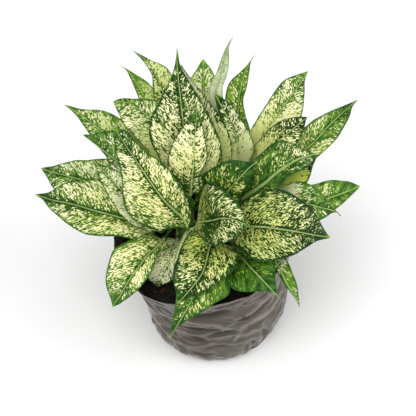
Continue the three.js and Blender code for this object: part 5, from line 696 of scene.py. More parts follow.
def fbm(p, seed=0, octaves=4, gain=0.5):
    total, amp, norm = 0, 1.0, 0.0
    for k in range(octaves):
        total = total + amp * gnoise(np.asarray(p) * (2.03 ** k), seed + k)
        norm += amp
        amp *= gain
    return total / norm


def ridged(p, seed=0):
    """Sharp creases where the noise changes sign, 0 on a crease and up to 1 between them."""
    return np.clip(np.abs(gnoise(p, seed)) * 2.2, 0, 1) ** 0.8


def step(lo, hi, x):
    t = np.clip((np.asarray(x, float) - lo) / (hi - lo), 0, 1)
    return t * t * (3 - 2 * t)


def smooth_curve(values, at, t):
    """A smooth curve through values (n, k) at parameters at (n), read at t."""
    values, at = np.asarray(values, float), np.asarray(at, float)
    h = np.diff(at)
    d = np.diff(values, axis=0) / h[:, None]
    m = np.empty_like(values)
    m[1:-1] = (h[1:, None] * d[:-1] + h[:-1, None] * d[1:]) / (h[:-1] + h[1:])[:, None]
    m[0] = 1.5 * d[0] - 0.5 * m[1]
    m[-1] = 1.5 * d[-1] - 0.5 * m[-2]
    i = np.clip(np.searchsorted(at, t, side="right") - 1, 0, len(at) - 2)
    s = ((t - at[i]) / h[i])[:, None]
    return ((2 * s**3 - 3 * s**2 + 1) * values[i] + (s**3 - 2 * s**2 + s) * h[i][:, None] * m[i]
            + (-2 * s**3 + 3 * s**2) * values[i + 1] + (s**3 - s**2) * h[i][:, None] * m[i + 1])


def unit(v):
    return v / np.maximum(np.linalg.norm(v, axis=-1, keepdims=True), 1e-9)


def mesh_object(name, verts_mm, faces, smooth=True):
    mesh = bpy.data.meshes.new(name)
    mesh.from_pydata((np.asarray(verts_mm) * MM).tolist(), [], [tuple(int(i) for i in f) for f in faces])
    mesh.validate()
    mesh.update()
    mesh.polygons.foreach_set("use_smooth", [smooth] * len(mesh.polygons))
    obj = bpy.data.objects.new(name, mesh)
    bpy.context.scene.collection.objects.link(obj)
    return obj


def point_value(obj, name, values):
    a = obj.data.attributes.new(name, "FLOAT", "POINT")
    a.data.foreach_set("value", np.asarray(values, np.float32))


def corner_value(obj, name, values):
    a = obj.data.attributes.new(name, "FLOAT", "CORNER")
    a.data.foreach_set("value", np.asarray(values, np.float32))


def corner_uv(obj, name, uv):
    layer = obj.data.uv_layers.new(name=name)
    layer.data.foreach_set("uv", np.asarray(uv, np.float32).ravel())


def outward(obj):
    """Turns a closed mesh's faces outwards."""
    import bmesh
    b = bmesh.new()
    b.from_mesh(obj.data)
    bmesh.ops.recalc_face_normals(b, faces=b.faces)
    b.to_mesh(obj.data)
    b.free()


class Graph:
    """Short names for making a material's nodes."""

    def __init__(self, name):
        self.material = bpy.data.materials.new(name)
        self.material.use_nodes = True
        self.tree = self.material.node_tree
        self.tree.nodes.clear()
        out = self.tree.nodes.new("ShaderNodeOutputMaterial")
        self.bsdf = self.tree.nodes.new("ShaderNodeBsdfPrincipled")
        self.tree.links.new(self.bsdf.outputs["BSDF"], out.inputs["Surface"])

    def put(self, socket, value):
        if isinstance(value, bpy.types.NodeSocket):
            self.tree.links.new(value, socket)
        elif isinstance(value, (tuple, list)) and len(value) == 3 and socket.type == "RGBA":
            socket.default_value = (*value, 1.0)
        else:
            socket.default_value = value

    def attr(self, name):
        n = self.tree.nodes.new("ShaderNodeAttribute")
        n.attribute_name = name
        return n.outputs["Fac"]

    def math(self, op, a, b=0.0, c=0.0, clamp=False):
        n = self.tree.nodes.new("ShaderNodeMath")
        n.operation = op
        n.use_clamp = clamp
        self.put(n.inputs[0], a)
        self.put(n.inputs[1], b)
        self.put(n.inputs[2], c)
        return n.outputs[0]

    def vec(self, x, y, z):
        n = self.tree.nodes.new("ShaderNodeCombineXYZ")
        for k, v in enumerate((x, y, z)):
            self.put(n.inputs[k], v)
        return n.outputs[0]

    def noise(self, vector, scale=1.0, detail=2.0, rough=0.5, distort=0.0):
        n = self.tree.nodes.new("ShaderNodeTexNoise")
        self.put(n.inputs["Vector"], vector)
        n.inputs["Scale"].default_value = scale
        n.inputs["Detail"].default_value = detail
        n.inputs["Roughness"].default_value = rough
        n.inputs["Distortion"].default_value = distort
        return n.outputs[0]

    def span(self, value, a, b, c=0.0, d=1.0, smooth=True):
        n = self.tree.nodes.new("ShaderNodeMapRange")
        n.interpolation_type = "SMOOTHSTEP" if smooth else "LINEAR"
        self.put(n.inputs["Value"], value)
        for key, v in (("From Min", a), ("From Max", b), ("To Min", c), ("To Max", d)):
            self.put(n.inputs[key], v)
        return n.outputs["Result"]

    def mix(self, fac, a, b, mode="MIX"):
        n = self.tree.nodes.new("ShaderNodeMix")
        n.data_type = "RGBA"
        n.blend_type = mode
        self.put(n.inputs[0], fac)
        self.put(n.inputs[6], a)
        self.put(n.inputs[7], b)
        return n.outputs[2]

    def ramp(self, fac, stops):
        n = self.tree.nodes.new("ShaderNodeValToRGB")
        e = n.color_ramp.elements
        while len(e) < len(stops):
            e.new(0.5)
        for k, (at, colour) in enumerate(stops):
            e[k].position = at
            e[k].color = (*colour, 1.0)
        self.put(n.inputs[0], fac)
        return n.outputs[0]

    def position(self, scale=1000.0):
        g = self.tree.nodes.new("ShaderNodeTexCoord")
        m = self.tree.nodes.new("ShaderNodeMapping")
        self.tree.links.new(g.outputs["Object"], m.inputs["Vector"])
        m.inputs["Scale"].default_value = (scale, scale, scale)
        return m.outputs[0]

    def bump(self, height, distance, strength=1.0):
        n = self.tree.nodes.new("ShaderNodeBump")
        n.inputs["Strength"].default_value = strength
        n.inputs["Distance"].default_value = distance
        self.put(n.inputs["Height"], height)
        self.put(self.bsdf.inputs["Normal"], n.outputs[0])


def place(obj, node):
    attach(obj, "root")
    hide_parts(node)
    return obj


# ---------------------------------------------------------------- the bag
def bump_at(a, at, width):
    d = np.arctan2(np.sin(a - at), np.cos(a - at))
    return np.exp(-((d / width) ** 2))


def rim_wave(a):
    return -4.2 * bump_at(a, -2.06, 0.42) + 2.6 * bump_at(a, -1.02, 0.36) + 0.9 * np.sin(3 * a + 0.7)


def sway(a, z):
    k = z / RIM_HEIGHT
    dent = -5.5 * bump_at(a, -0.66, 0.46) * np.maximum(0, 1 - z / 46)
    return dent + (0.7 * np.sin(3 * a + 1.1) + 0.5 * np.sin(5 * a - 0.6 + 1.5 * k)) * (0.35 + 0.65 * k)


# Folds of the film: a path of (angle in degrees, height in mm), how far it stands out (mm), its width above
# and below the path (mm), and how much painted highlight (lighter) or painted shade (darker) the film gets along it.
FOLDS = [
    ([(-106, 94), (-92, 97.5), (-71, 99)], -3.4, 4.2, 4.8, -0.95),
    ([(-108, 88), (-98, 84), (-84, 79), (-76, 67), (-62, 59)], 2.6, 3.6, 3.0, 0.35),
    ([(-110, 66), (-97, 68.5), (-82, 68)], -2.8, 3.6, 4.2, -0.75),
    ([(-121, 50), (-110, 72), (-98, 78)], 1.8, 3.0, 3.0, 0.3),
    ([(-95, 56.5), (-82, 61), (-71, 64)], -2.4, 2.8, 3.6, -0.7),
    ([(-95, 51), (-82, 55), (-70, 57)], 1.4, 2.5, 3.5, 0.2),
    ([(-110, 50.5), (-100, 46), (-92, 43)], -2.2, 3.0, 4.2, -0.55),
    ([(-30, 101), (-44, 95), (-57, 88), (-76, 81)], 2.6, 5.0, 3.0, 0.4),
    ([(-38, 92), (-49, 87), (-62, 79.5), (-73, 74.5)], -2.2, 3.2, 4.0, -0.5),
    ([(-22, 76), (-36, 72), (-52, 72.5), (-70, 66)], 2.2, 4.0, 3.0, 0.4),
    ([(-26, 60), (-38, 56), (-56, 58), (-67, 59)], -1.8, 3.2, 3.8, -0.35),
    ([(-69, 58), (-73.6, 45.3), (-76, 42)], 1.5, 2.0, 2.0, 0.4),
    ([(-85, 113), (-74, 111.5), (-62, 116)], -0.9, 1.3, 1.5, -0.5),
    ([(-89, 108.5), (-72, 103.8), (-64, 108)], -1.1, 1.3, 1.6, -0.65),
    ([(-92, 103.5), (-80, 105.5), (-68, 103)], 0.8, 1.2, 1.4, 0.25),
    ([(-54, 115), (-66, 100)], -1.2, 1.8, 2.0, -0.4),
    ([(-66, 91.5), (-78, 88)], -1.3, 1.8, 2.0, -0.5),
    ([(-46, 112), (-55, 99)], 1.1, 2.2, 2.2, 0.3),
    ([(-97, 32), (-84, 36.5), (-78, 35)], -1.2, 1.8, 2.0, -0.45),
    ([(-88, 41), (-72, 38), (-56, 37)], 1.2, 2.4, 2.8, 0.2),
    ([(-129, 79), (-121, 84), (-114, 93)], 1.1, 1.8, 1.8, 0.35),
    ([(-133, 66), (-122, 62), (-113, 66)], -1.2, 2.4, 2.8, -0.3),
    ([(-137, 44), (-126, 38), (-118, 29)], 1.3, 2.6, 2.6, 0.15),
    ([(-112, 26), (-100, 20), (-90, 22)], -1.3, 2.2, 2.6, -0.4),
    ([(-52, 50), (-45, 40), (-40, 28)], 1.4, 2.4, 2.8, 0.25),
    ([(-66, 30), (-57, 25), (-50, 16)], -1.3, 2.2, 2.6, -0.4),
    ([(-20, 98), (-27, 84), (-38, 78)], -1.6, 2.4, 3.0, -0.35),
    ([(-18, 60), (-24, 46), (-36, 38)], 1.5, 2.6, 3.2, 0.3),
]


def all_folds():
    folds = list(FOLDS)
    rng = np.random.RandomState(5)
    for k in range(58):
        a, z = rng.uniform(-20, 236), rng.uniform(10, 108)
        steep = rng.uniform() < 0.3
        da = rng.uniform(9, 18) if steep else rng.uniform(20, 42)
        dz = rng.uniform(16, 38) * rng.choice([-1, 1]) if steep else rng.uniform(-13, 13)
        bend = rng.uniform(-7, 7)
        amp = rng.uniform(0.9, 2.6) * rng.choice([-1, 1])
        w = rng.uniform(2.2, 4.2)
        path = [(a, z), (a + da / 2, z + dz / 2 + bend), (a + da, z + dz)]
        # the last value is painted shade along hollow folds and a weaker painted highlight along standing ones
        folds.append(([(q, min(max(h, 5), 115)) for q, h in path], amp, w, w * rng.uniform(0.7, 1.5), (0.11 if amp < 0 else 0.07) * amp))
    return folds


GRID_A = np.linspace(-np.pi, np.pi, 541)
GRID_Z = np.linspace(0, 119, 120)


def fold_fields():
    """The folds' offset, and their painted shade and painted highlight, on a grid of angle and height."""
    a, z = np.meshgrid(GRID_A, GRID_Z)
    out, tone = np.zeros_like(a), np.zeros_like(a)
    for path, amp, up, down, light in all_folds():
        pts = np.array([(math.radians(q) * 80.0, h) for q, h in path])
        t = np.concatenate([[0], np.cumsum(np.linalg.norm(np.diff(pts, axis=0), axis=1))])
        fine = smooth_curve(pts, t / t[-1], np.linspace(0, 1, 9))
        mid = 0.5 * (fine[0, 0] + fine[-1, 0]) / 80.0
        u = (mid + np.arctan2(np.sin(a - mid), np.cos(a - mid))) * 80.0
        best = np.full(a.shape, 1e9)
        off, along = np.zeros_like(a), np.zeros_like(a)
        for k in range(8):
            p, q = fine[k], fine[k + 1]
            d = q - p
            length = np.linalg.norm(d)
            d = d / length
            s_ = np.clip(((u - p[0]) * d[0] + (z - p[1]) * d[1]) / length, 0, 1)
            ex, ey = u - p[0] - s_ * d[0] * length, z - p[1] - s_ * d[1] * length
            dist = np.hypot(ex, ey)
            near = dist < best
            turn = np.sign(d[0] * ey - d[1] * ex) * (1 if d[0] >= 0 else -1)
            off = np.where(near, dist * turn, off)
            along = np.where(near, (k + s_) / 8, along)
            best = np.minimum(best, dist)
        w = np.where(off > 0, up, down)
        taper = 0.12 + 0.88 * np.sin(np.pi * np.clip(along, 0, 1)) ** 0.6
        out += 1.35 * amp * taper * np.exp(-(best / w) ** (1.15 if amp > 0 else 1.8))
        # painted shade (below zero) and painted highlight (above zero) along the fold
        tone += light * taper * np.exp(-(best / w) ** 1.7)
    return out, np.clip(tone, -1, 1)


FOLD_OUT, FOLD_PAINTED_SHADING = fold_fields()


def read_field(field, a, z):
    a = np.arctan2(np.sin(a), np.cos(a))
    x = (a + np.pi) / (2 * np.pi) * (len(GRID_A) - 1)
    y = np.clip(z, 0, 119) / 119 * (len(GRID_Z) - 1)
    i, j = np.clip(x.astype(int), 0, len(GRID_A) - 2), np.clip(y.astype(int), 0, len(GRID_Z) - 2)
    fx, fy = x - i, y - j
    return (field[j, i] * (1 - fx) * (1 - fy) + field[j, i + 1] * fx * (1 - fy)
            + field[j + 1, i] * (1 - fx) * fy + field[j + 1, i + 1] * fx * fy)


# Puckers low on the wall: angle and width in degrees, how far out (mm), height and how tall (mm).
LUMPS = [
    (-58, 3.0, -3.2, 20, 10), (-46, 3.5, -3.2, 34, 12), (-71, 2.5, -2.0, 8, 8), (-86, 2.0, -1.6, 4, 6), (-104, 5, -1.6, 5, 6),
    (-165, 3, -1.8, 24, 10), (-152, 3, -1.9, 14, 8), (-127, 2.5, -1.8, 8, 7), (-52, 4, 1.6, 24, 12), (-38, 5, 2.2, 26, 12),
    (-64, 3, 1.6, 14, 8), (-79, 4, 1.3, 4, 6), (-93, 4, 1.3, 4, 6), (-117, 4, 1.5, 5, 6), (-136, 5, 1.5, 14, 8),
]


def bag_radius(a, z, detail=1.0):
    """Outer radius and section centre of the film at angle a and height z (arrays)."""
    rc = smooth_curve(BAG_SECTIONS[:, 1:], BAG_SECTIONS[:, 0], np.clip(z, 0, RIM_HEIGHT).ravel()).reshape(z.shape + (2,))
    r = rc[..., 0] + np.where(z > 1.8, sway(a, z), 0)
    if detail:
        p = np.stack([80 * np.cos(a), 80 * np.sin(a), z], -1)
        warp = np.stack([gnoise(p / 17.0, 40), gnoise(p / 17.0, 41), gnoise(p / 17.0, 42)], -1) * 5.0
        q = (p + warp) * np.array([1, 1, 1.25])
        grow = step(0.5, 5.0, z)
        r = r + grow * read_field(FOLD_OUT, a, z)
        # slack film: smooth hollows between sharp, long crests
        r = r + grow * 1.5 * gnoise(q / 36.0, 20)
        long = 1 - ridged((p + 1.4 * warp) * np.array([0.55, 0.55, 1.2]) / 27.0, 21)
        r = r + grow * 1.5 * (long ** 1.5 - 0.25)
        cross = 1 - ridged((p + warp[..., ::-1]) * np.array([0.9, 0.9, 0.7]) / 24.0, 25)
        r = r + grow * 0.8 * (cross ** 1.7 - 0.22) * step(-0.35, 0.35, gnoise(p / 38.0, 29))
        short = 1 - ridged(q * np.array([0.7, 0.7, 1.1]) / 10.0, 26)
        r = r + grow * 0.16 * (short ** 1.8 - 0.2) * step(-0.2, 0.5, gnoise(q / 30.0, 27))
        # puckered lobes round the bottom edge
        lobe = np.abs(np.sin(a * 13 + 1.1 * np.sin(2 * a + 0.4) + 0.8 * np.sin(5 * a))) ** 0.55
        size = 0.8 + 0.5 * np.sin(3 * a + 0.3) + 0.3 * np.sin(7 * a + 2)
        r = r + step(0.2, 2.5, z) * np.exp(-((z - 6.0) / 13.0) ** 2) * (4.4 * size * (lobe - 0.72))
        for at, wide, out, z0, tall in LUMPS:
            r = r + out * bump_at(a, math.radians(at), math.radians(wide)) * np.exp(-((z - z0) / tall) ** 2)
        # small waves of the cut rim
        r = r + step(92, RIM_HEIGHT, z) * (0.9 * np.sin(11 * a + 0.9 * np.sin(3 * a)) + 0.5 * np.sin(19 * a + 1.3))
    return r, rc[..., 1]


def snug_radius(a, z0):
    """The film's radius for the soil: the smallest one close by, and a plain one far down where nothing shows."""
    if z0 < 90:
        return bag_radius(a, np.full(a.shape, float(z0)), 0)
    r = [bag_radius(a + da, np.full(a.shape, z0 + dz))[0] for da in (-0.014, 0, 0.014) for dz in (-1.2, 0, 1.2)]
    return np.min(r, axis=0), bag_radius(a, np.full(a.shape, float(z0)), 0)[1]


FILM = 0.55
SIDES = 460


def film_lift(a, z):
    """The rim's waves in height, which fade out down the wall."""
    ripple = 0.55 * np.sin(9 * a + 0.5) + 0.35 * np.sin(17 * a)
    return (rim_wave(a) + ripple) * step(80, RIM_HEIGHT, z)


def make_bag():
    a = np.linspace(0, 2 * np.pi, SIDES, endpoint=False)
    rings = []
    wall = np.concatenate([[1.2, 2.0, 2.8, 3.8, 5, 6.2, 7.4], np.arange(8.6, 116.6, 1.2), [117.2, 117.8, RIM_HEIGHT]])
    # underside, from the middle out
    for f in (0.25, 0.5, 0.7, 0.85, 0.94, 1.0):
        r, cx = bag_radius(a, np.full(SIDES, 0.8))
        r = r * f - (1.2 if f == 1.0 else 0)
        z = 0.25 * (1 + gnoise(np.stack([r * np.cos(a) / 9, r * np.sin(a) / 9, 0 * a], -1), 50)) * (f < 0.99)
        z = z - z.min() if f < 0.99 else np.full(SIDES, 0.0)
        rings.append(np.stack([cx + r * np.cos(a), r * np.sin(a), z], -1))
    for z0 in wall:
        z = np.full(SIDES, float(z0))
        r, cx = bag_radius(a, z)
        rings.append(np.stack([cx + r * np.cos(a), r * np.sin(a), z + film_lift(a, z)], -1))
    # round the cut edge, then down the inside
    top = rings[-1].copy()
    r, cx = bag_radius(a, np.full(SIDES, RIM_HEIGHT))
    edge = np.stack([cx + (r - FILM / 2) * np.cos(a), (r - FILM / 2) * np.sin(a), top[:, 2] + 0.12], -1)
    rings.append(edge)
    for z0 in np.concatenate([[RIM_HEIGHT, 117.6], np.arange(116.4, 90, -1.2), np.arange(88.8, 6, -2.4), [4.4, 2.6]]):
        z = np.full(SIDES, float(z0))
        r, cx = bag_radius(a, z)
        rings.append(np.stack([cx + (r - FILM) * np.cos(a), (r - FILM) * np.sin(a), z + film_lift(a, z)], -1))
    for f in (0.9, 0.6, 0.3):
        r, cx = bag_radius(a, np.full(SIDES, 2.6))
        rings.append(np.stack([cx + (r - FILM) * f * np.cos(a), (r - FILM) * f * np.sin(a), np.full(SIDES, 0.9)], -1))
    n = len(rings)
    verts = np.concatenate(rings + [np.array([[0, 0, 0.1], [0, 0, 0.9]])])
    k = np.arange(SIDES)
    faces = []
    for i in range(n - 1):
        p, q = i * SIDES + k, i * SIDES + (k + 1) % SIDES
        faces += np.stack([p, q, q + SIDES, p + SIDES], -1).tolist()
    faces += [(n * SIDES, (j + 1) % SIDES, j) for j in range(SIDES)]
    last = (n - 1) * SIDES
    faces += [(n * SIDES + 1, last + j, last + (j + 1) % SIDES) for j in range(SIDES)]
    bag = mesh_object("film_bag", verts, faces)
    outward(bag)
    inside = np.zeros(len(verts))
    inside[(6 + len(wall)) * SIDES:] = 1
    point_value(bag, "inner", inside)
    # painted shade in the folds' hollows and painted highlight on their crests, kept on the film as 'tone'
    tone = read_field(FOLD_PAINTED_SHADING, np.arctan2(verts[:, 1], verts[:, 0] - np.interp(verts[:, 2], BAG_SECTIONS[:, 0], BAG_SECTIONS[:, 2])), verts[:, 2])
    point_value(bag, "tone", tone)
    # layout for baking: the wall and the underside as bands, the inside above them
    co = np.array([v.co for v in bag.data.vertices]) / MM
    loops = np.empty(len(bag.data.loops), int)
    bag.data.loops.foreach_get("vertex_index", loops)
    ring_of = np.minimum(np.arange(len(verts)) // SIDES, n - 1)
    ring_of[-2], ring_of[-1] = 0, n - 1
    length = np.concatenate([[0], np.cumsum([np.linalg.norm(rings[i + 1] - rings[i], axis=1).mean() for i in range(n - 1)])])
    v = length / length[-1]
    starts = np.empty(len(bag.data.polygons), int)
    totals = np.empty(len(bag.data.polygons), int)
    bag.data.polygons.foreach_get("loop_start", starts)
    bag.data.polygons.foreach_get("loop_total", totals)
    face_of = np.repeat(np.arange(len(starts)), totals)
    column = (loops % SIDES).astype(float)
    lowest = np.full(len(starts), SIDES, float)
    np.minimum.at(lowest, face_of, column)
    highest = np.zeros(len(starts))
    np.maximum.at(highest, face_of, column)
    wrap = (highest - lowest > SIDES / 2)[face_of] & (column < SIDES / 2)
    column = np.where(loops >= n * SIDES, lowest[face_of] + 0.5, column + np.where(wrap, SIDES, 0))
    corner_uv(bag, "OFBake", np.stack([0.01 + 0.98 * column / (SIDES + 1), 0.01 + 0.98 * v[ring_of[loops]]], -1))
    return bag


def film_material():
    g = Graph("black_film")
    p = g.position()
    dust = g.noise(p, 0.035, 4.0, 0.6)
    streak = g.noise(p, 0.10, 2.0, 0.5, 0.6)
    fine = g.noise(p, 0.9, 2.0, 0.5)
    base = g.ramp(g.math("ADD", g.math("MULTIPLY", dust, 0.65), g.math("MULTIPLY", streak, 0.35)),
                  [(0.3, (0.032, 0.0255, 0.019)), (0.5, (0.049, 0.039, 0.0295)), (0.72, (0.074, 0.060, 0.047))])
    hue = g.noise(p, 0.022, 2.0, 0.5, 0.4)
    base = g.mix(g.span(hue, 0.52, 0.66, 0.0, 0.5), base, (0.041, 0.041, 0.034))
    base = g.mix(g.span(hue, 0.48, 0.34, 0.0, 0.6), base, (0.064, 0.044, 0.032))
    base = g.mix(g.span(fine, 0.56, 0.72, 0.0, 0.1), base, (0.17, 0.158, 0.145))
    # painted shade along the folds' hollows and painted highlight along their crests
    tone = g.attr("tone")
    base = g.mix(g.span(tone, -0.04, -0.6, 0.0, 0.92), base, (0.014, 0.013, 0.011))
    base = g.mix(g.span(tone, 0.03, 0.45, 0.0, 0.6), base, (0.25, 0.228, 0.202))
    base = g.mix(g.attr("inner"), base, (0.018, 0.017, 0.016))
    g.put(g.bsdf.inputs["Base Color"], base)
    g.put(g.bsdf.inputs["Roughness"], g.span(g.noise(p, 0.12, 3.0, 0.6), 0.3, 0.7, 0.22, 0.34, False))
    g.bsdf.inputs["Specular IOR Level"].default_value = 0.34
    # a dusty bloom, which shows where the wall turns away
    g.bsdf.inputs["Sheen Weight"].default_value = 0.16
    g.bsdf.inputs["Sheen Roughness"].default_value = 0.5
    g.bsdf.inputs["Sheen Tint"].default_value = (1.0, 0.88, 0.74, 1)
    small = g.math("ADD", g.math("MULTIPLY", g.noise(p, 0.22, 2.0, 0.5, 0.8), 0.8), g.math("MULTIPLY", g.noise(p, 1.2, 2.0, 0.5), 0.15))
    g.bump(small, 0.0004, 0.3)
    return g.material


# ---------------------------------------------------------------- the soil
def soil_height(x, y):
    return SOIL_TOP + 1.2 * np.sin(x * 0.11 + 1) * np.cos(y * 0.09) + 0.8 * np.sin(x * 0.05 - y * 0.14)


def make_soil():
    sides = 230
    a = np.linspace(0, 2 * np.pi, sides, endpoint=False)
    rings = []
    gap = FILM + 0.45
    for z0 in (2.2, 7, 14, 24, 36, 48, 60, 72, 82, 88, 91, 93, 95, 97, 99, 100.5, 102):
        z = np.full(sides, float(z0))
        r, cx = snug_radius(a, z0)
        more = 0.0 if z0 > 90 else 6.5 if z0 > 5 else 9.0
        rings.append(np.stack([cx + (r - gap - more) * np.cos(a), (r - gap - more) * np.sin(a), z], -1))
    z = np.full(sides, SOIL_TOP - 2.0)
    r_edge, cx = snug_radius(a, SOIL_TOP - 2.0)
    for k, f in enumerate(np.concatenate([[1.0], np.linspace(0.985, 0.02, 66)])):
        r = (r_edge - gap - 0.5) * f
        x, y = cx + r * np.cos(a), r * np.sin(a)
        p = np.stack([x, y, 0 * x], -1)
        lump = 1.9 * fbm(p / 13.0, 60, 3) + 1.5 * fbm(p / 4.6, 63, 3, 0.6) + 0.7 * np.abs(gnoise(p / 1.9, 66))
        edge = min(1.0, (1 - f) / 0.05)
        h = soil_height(x, y) - 0.6 + lump * (0.35 + 0.65 * edge) - 1.6 * (1 - edge)
        rings.append(np.stack([x, y, h], -1))
    n = len(rings)
    centre = rings[-1].mean(0)
    verts = [np.concatenate(rings), np.array([[rings[0][:, 0].mean(), 0, 2.2], centre])]
    k = np.arange(sides)
    faces = []
    for i in range(n - 1):
        p, q = i * sides + k, i * sides + (k + 1) % sides
        faces += np.stack([p, q, q + sides, p + sides], -1).tolist()
    faces += [(n * sides, (j + 1) % sides, j) for j in range(sides)]
    last = (n - 1) * sides
    faces += [(n * sides + 1, last + j, last + (j + 1) % sides) for j in range(sides)]
    kind = [np.zeros(n * sides + 2)]
    # bark, husk and grit lying half sunk in the soil
    rng = np.random.RandomState(8)
    ico = np.array([(0, 0, 1)] + [(0.894 * math.cos(t), 0.894 * math.sin(t), 0.447) for t in np.arange(5) * 2 * math.pi / 5]
                   + [(0.894 * math.cos(t), 0.894 * math.sin(t), -0.447) for t in (np.arange(5) + 0.5) * 2 * math.pi / 5] + [(0, 0, -1)])
    tri = [(0, 1 + i, 1 + (i + 1) % 5) for i in range(5)] + [(11, 6 + (i + 1) % 5, 6 + i) for i in range(5)]
    tri += [(1 + i, 6 + i, 1 + (i + 1) % 5) for i in range(5)] + [(1 + (i + 1) % 5, 6 + i, 6 + (i + 1) % 5) for i in range(5)]
    at = n * sides + 2
    for k in range(620):
        ang = rng.uniform(0, 2 * np.pi)
        rad = 80.5 * math.sqrt(rng.uniform(0.02, 1.0))
        if rad > 74:
            size = rng.uniform(0.8, 1.5)
        else:
            size = rng.choice([rng.uniform(0.9, 1.8), rng.uniform(1.6, 3.4)], p=[0.7, 0.3])
        x, y = -14.0 + rad * math.cos(ang), rad * math.sin(ang)
        sort = rng.choice([0.0, 1.0, 2.0], p=[0.62, 0.28, 0.10])
        form = np.array([size * rng.uniform(1.0, 2.2), size * rng.uniform(0.6, 1.1), size * rng.uniform(0.35, 0.8)])
        pts = ico * (1 + rng.uniform(-0.22, 0.22, (12, 1))) * form
        yaw, pitch, roll = rng.uniform(0, 2 * np.pi), rng.uniform(-0.5, 0.5), rng.uniform(-0.5, 0.5)
        cy, sy, cp, sp, cr, sr = math.cos(yaw), math.sin(yaw), math.cos(pitch), math.sin(pitch), math.cos(roll), math.sin(roll)
        rot = np.array([[cy, -sy, 0], [sy, cy, 0], [0, 0, 1]]) @ np.array([[cp, 0, sp], [0, 1, 0], [-sp, 0, cp]]) @ np.array([[1, 0, 0], [0, cr, -sr], [0, sr, cr]])
        pts = pts @ rot.T + np.array([x, y, float(soil_height(x, y)) + 0.25 + 0.8 * float(gnoise(np.array([x / 5, y / 5, 0.3]), 63))])
        pts[:, 2] = np.minimum(pts[:, 2], 110.5)
        verts.append(pts)
        kind.append(np.full(12, sort + 0.5))
        faces += [tuple(at + i for i in f) for f in tri]
        at += 12
    soil = mesh_object("soil_fill", np.concatenate(verts), faces)
    outward(soil)
    point_value(soil, "bit", np.concatenate(kind))
    return soil


def soil_material():
    g = Graph("dark_peat")
    p = g.position()
    bit = g.attr("bit")
    crumb = g.noise(p, 0.55, 4.0, 0.65)
    big = g.noise(p, 0.09, 3.0, 0.6)
    base = g.ramp(g.math("ADD", g.math("MULTIPLY", crumb, 0.6), g.math("MULTIPLY", big, 0.4)),
                  [(0.34, (0.0035, 0.003, 0.0026)), (0.52, (0.010, 0.0078, 0.0062)), (0.7, (0.034, 0.024, 0.017))])
    bark = g.ramp(g.noise(p, 0.8, 3.0, 0.6, 1.0), [(0.35, (0.016, 0.009, 0.0055)), (0.65, (0.062, 0.030, 0.015))])
    husk = g.ramp(g.noise(p, 0.7, 3.0, 0.6, 1.0), [(0.35, (0.05, 0.018, 0.007)), (0.65, (0.16, 0.062, 0.022))])
    base = g.mix(g.span(bit, 1.0, 1.1, 0, 1, False), base, bark)
    base = g.mix(g.span(bit, 2.0, 2.1, 0, 1, False), base, husk)
    g.put(g.bsdf.inputs["Base Color"], base)
    g.put(g.bsdf.inputs["Roughness"], g.span(crumb, 0.3, 0.7, 0.82, 0.98, False))
    g.bsdf.inputs["Specular IOR Level"].default_value = 0.25
    g.bump(g.math("ADD", crumb, g.noise(p, 2.2, 3.0, 0.6)), 0.0012, 0.8)
    return g.material


# ---------------------------------------------------------------- the canes
def make_cane(index, name, sx, sy, top):
    sides = 36
    a = np.linspace(0, 2 * np.pi, sides, endpoint=False)
    spear = min(16.0, (top - SOIL_TOP) * 0.4)
    cane = top - spear
    start = SOIL_TOP - STEM_ROOT
    x, y = sx + RIM_SHIFT_X, sy
    zs = np.concatenate([np.linspace(start, SOIL_TOP - 3, 6), np.arange(SOIL_TOP - 2.2, cane, 0.8), np.linspace(cane, top - 0.4, 22)])
    rng = np.random.RandomState(70 + index)
    nodes = SOIL_TOP + 3 + np.cumsum(rng.uniform(5.5, 8.0, 12))
    rings = []
    scar = []
    for z in zs:
        k = min(max((z - SOIL_TOP + 1) / 55, 0), 1)
        r = STEM_RADIUS + (STEM_TIP_RADIUS - STEM_RADIUS) * k
        if z <= cane:
            f = 1.0 - 0.12 * max(0, (z - SOIL_TOP) / max(cane - SOIL_TOP, 1))
        else:
            t = (z - cane) / spear
            f = 0.88 * (1 - t) ** 0.72 * (1 - 0.1 * t)
        ring_at = np.min(np.abs(nodes - z)) if z < cane else 9
        tilt = 0.6 * np.sin(a + 2.1 * np.floor(z / 6.5))
        d = np.abs(z + tilt - nodes[np.argmin(np.abs(nodes - z))]) if z < cane else np.full(sides, 9.0)
        mark = np.exp(-(d / 0.75) ** 2)
        groove = 0.35 * np.exp(-((np.arctan2(np.sin(a - 0.5 * z / 6), np.cos(a - 0.5 * z / 6))) / 0.25) ** 2) * (z > cane)
        rr = r * f + 0.28 * mark * (z < cane) - groove * min(1.0, f * 1.5) + 0.1 * gnoise(np.stack([np.cos(a) * 3, np.sin(a) * 3, 0 * a + z / 5], -1), 71 + index)
        rr = np.maximum(rr, 0.12)
        rings.append(np.stack([x + rr * np.cos(a), y + rr * np.sin(a), np.full(sides, z)], -1))
        scar.append(mark * (z < cane))
    n = len(rings)
    verts = np.concatenate(rings + [np.array([[x, y, start], [x, y, top]])])
    j = np.arange(sides)
    faces = []
    for i in range(n - 1):
        p, q = i * sides + j, i * sides + (j + 1) % sides
        faces += np.stack([p, q, q + sides, p + sides], -1).tolist()
    faces += [(n * sides, (i + 1) % sides, i) for i in range(sides)]
    last = (n - 1) * sides
    faces += [(n * sides + 1, last + i, last + (i + 1) % sides) for i in range(sides)]
    obj = mesh_object("cane_" + name[-1], verts, faces)
    outward(obj)
    point_value(obj, "scar", np.concatenate(scar + [[0, 0]]))
    point_value(obj, "young", np.concatenate([np.full(sides, step(cane - 4, cane + 3, z)) for z in zs] + [[0, 1]]))
    return obj


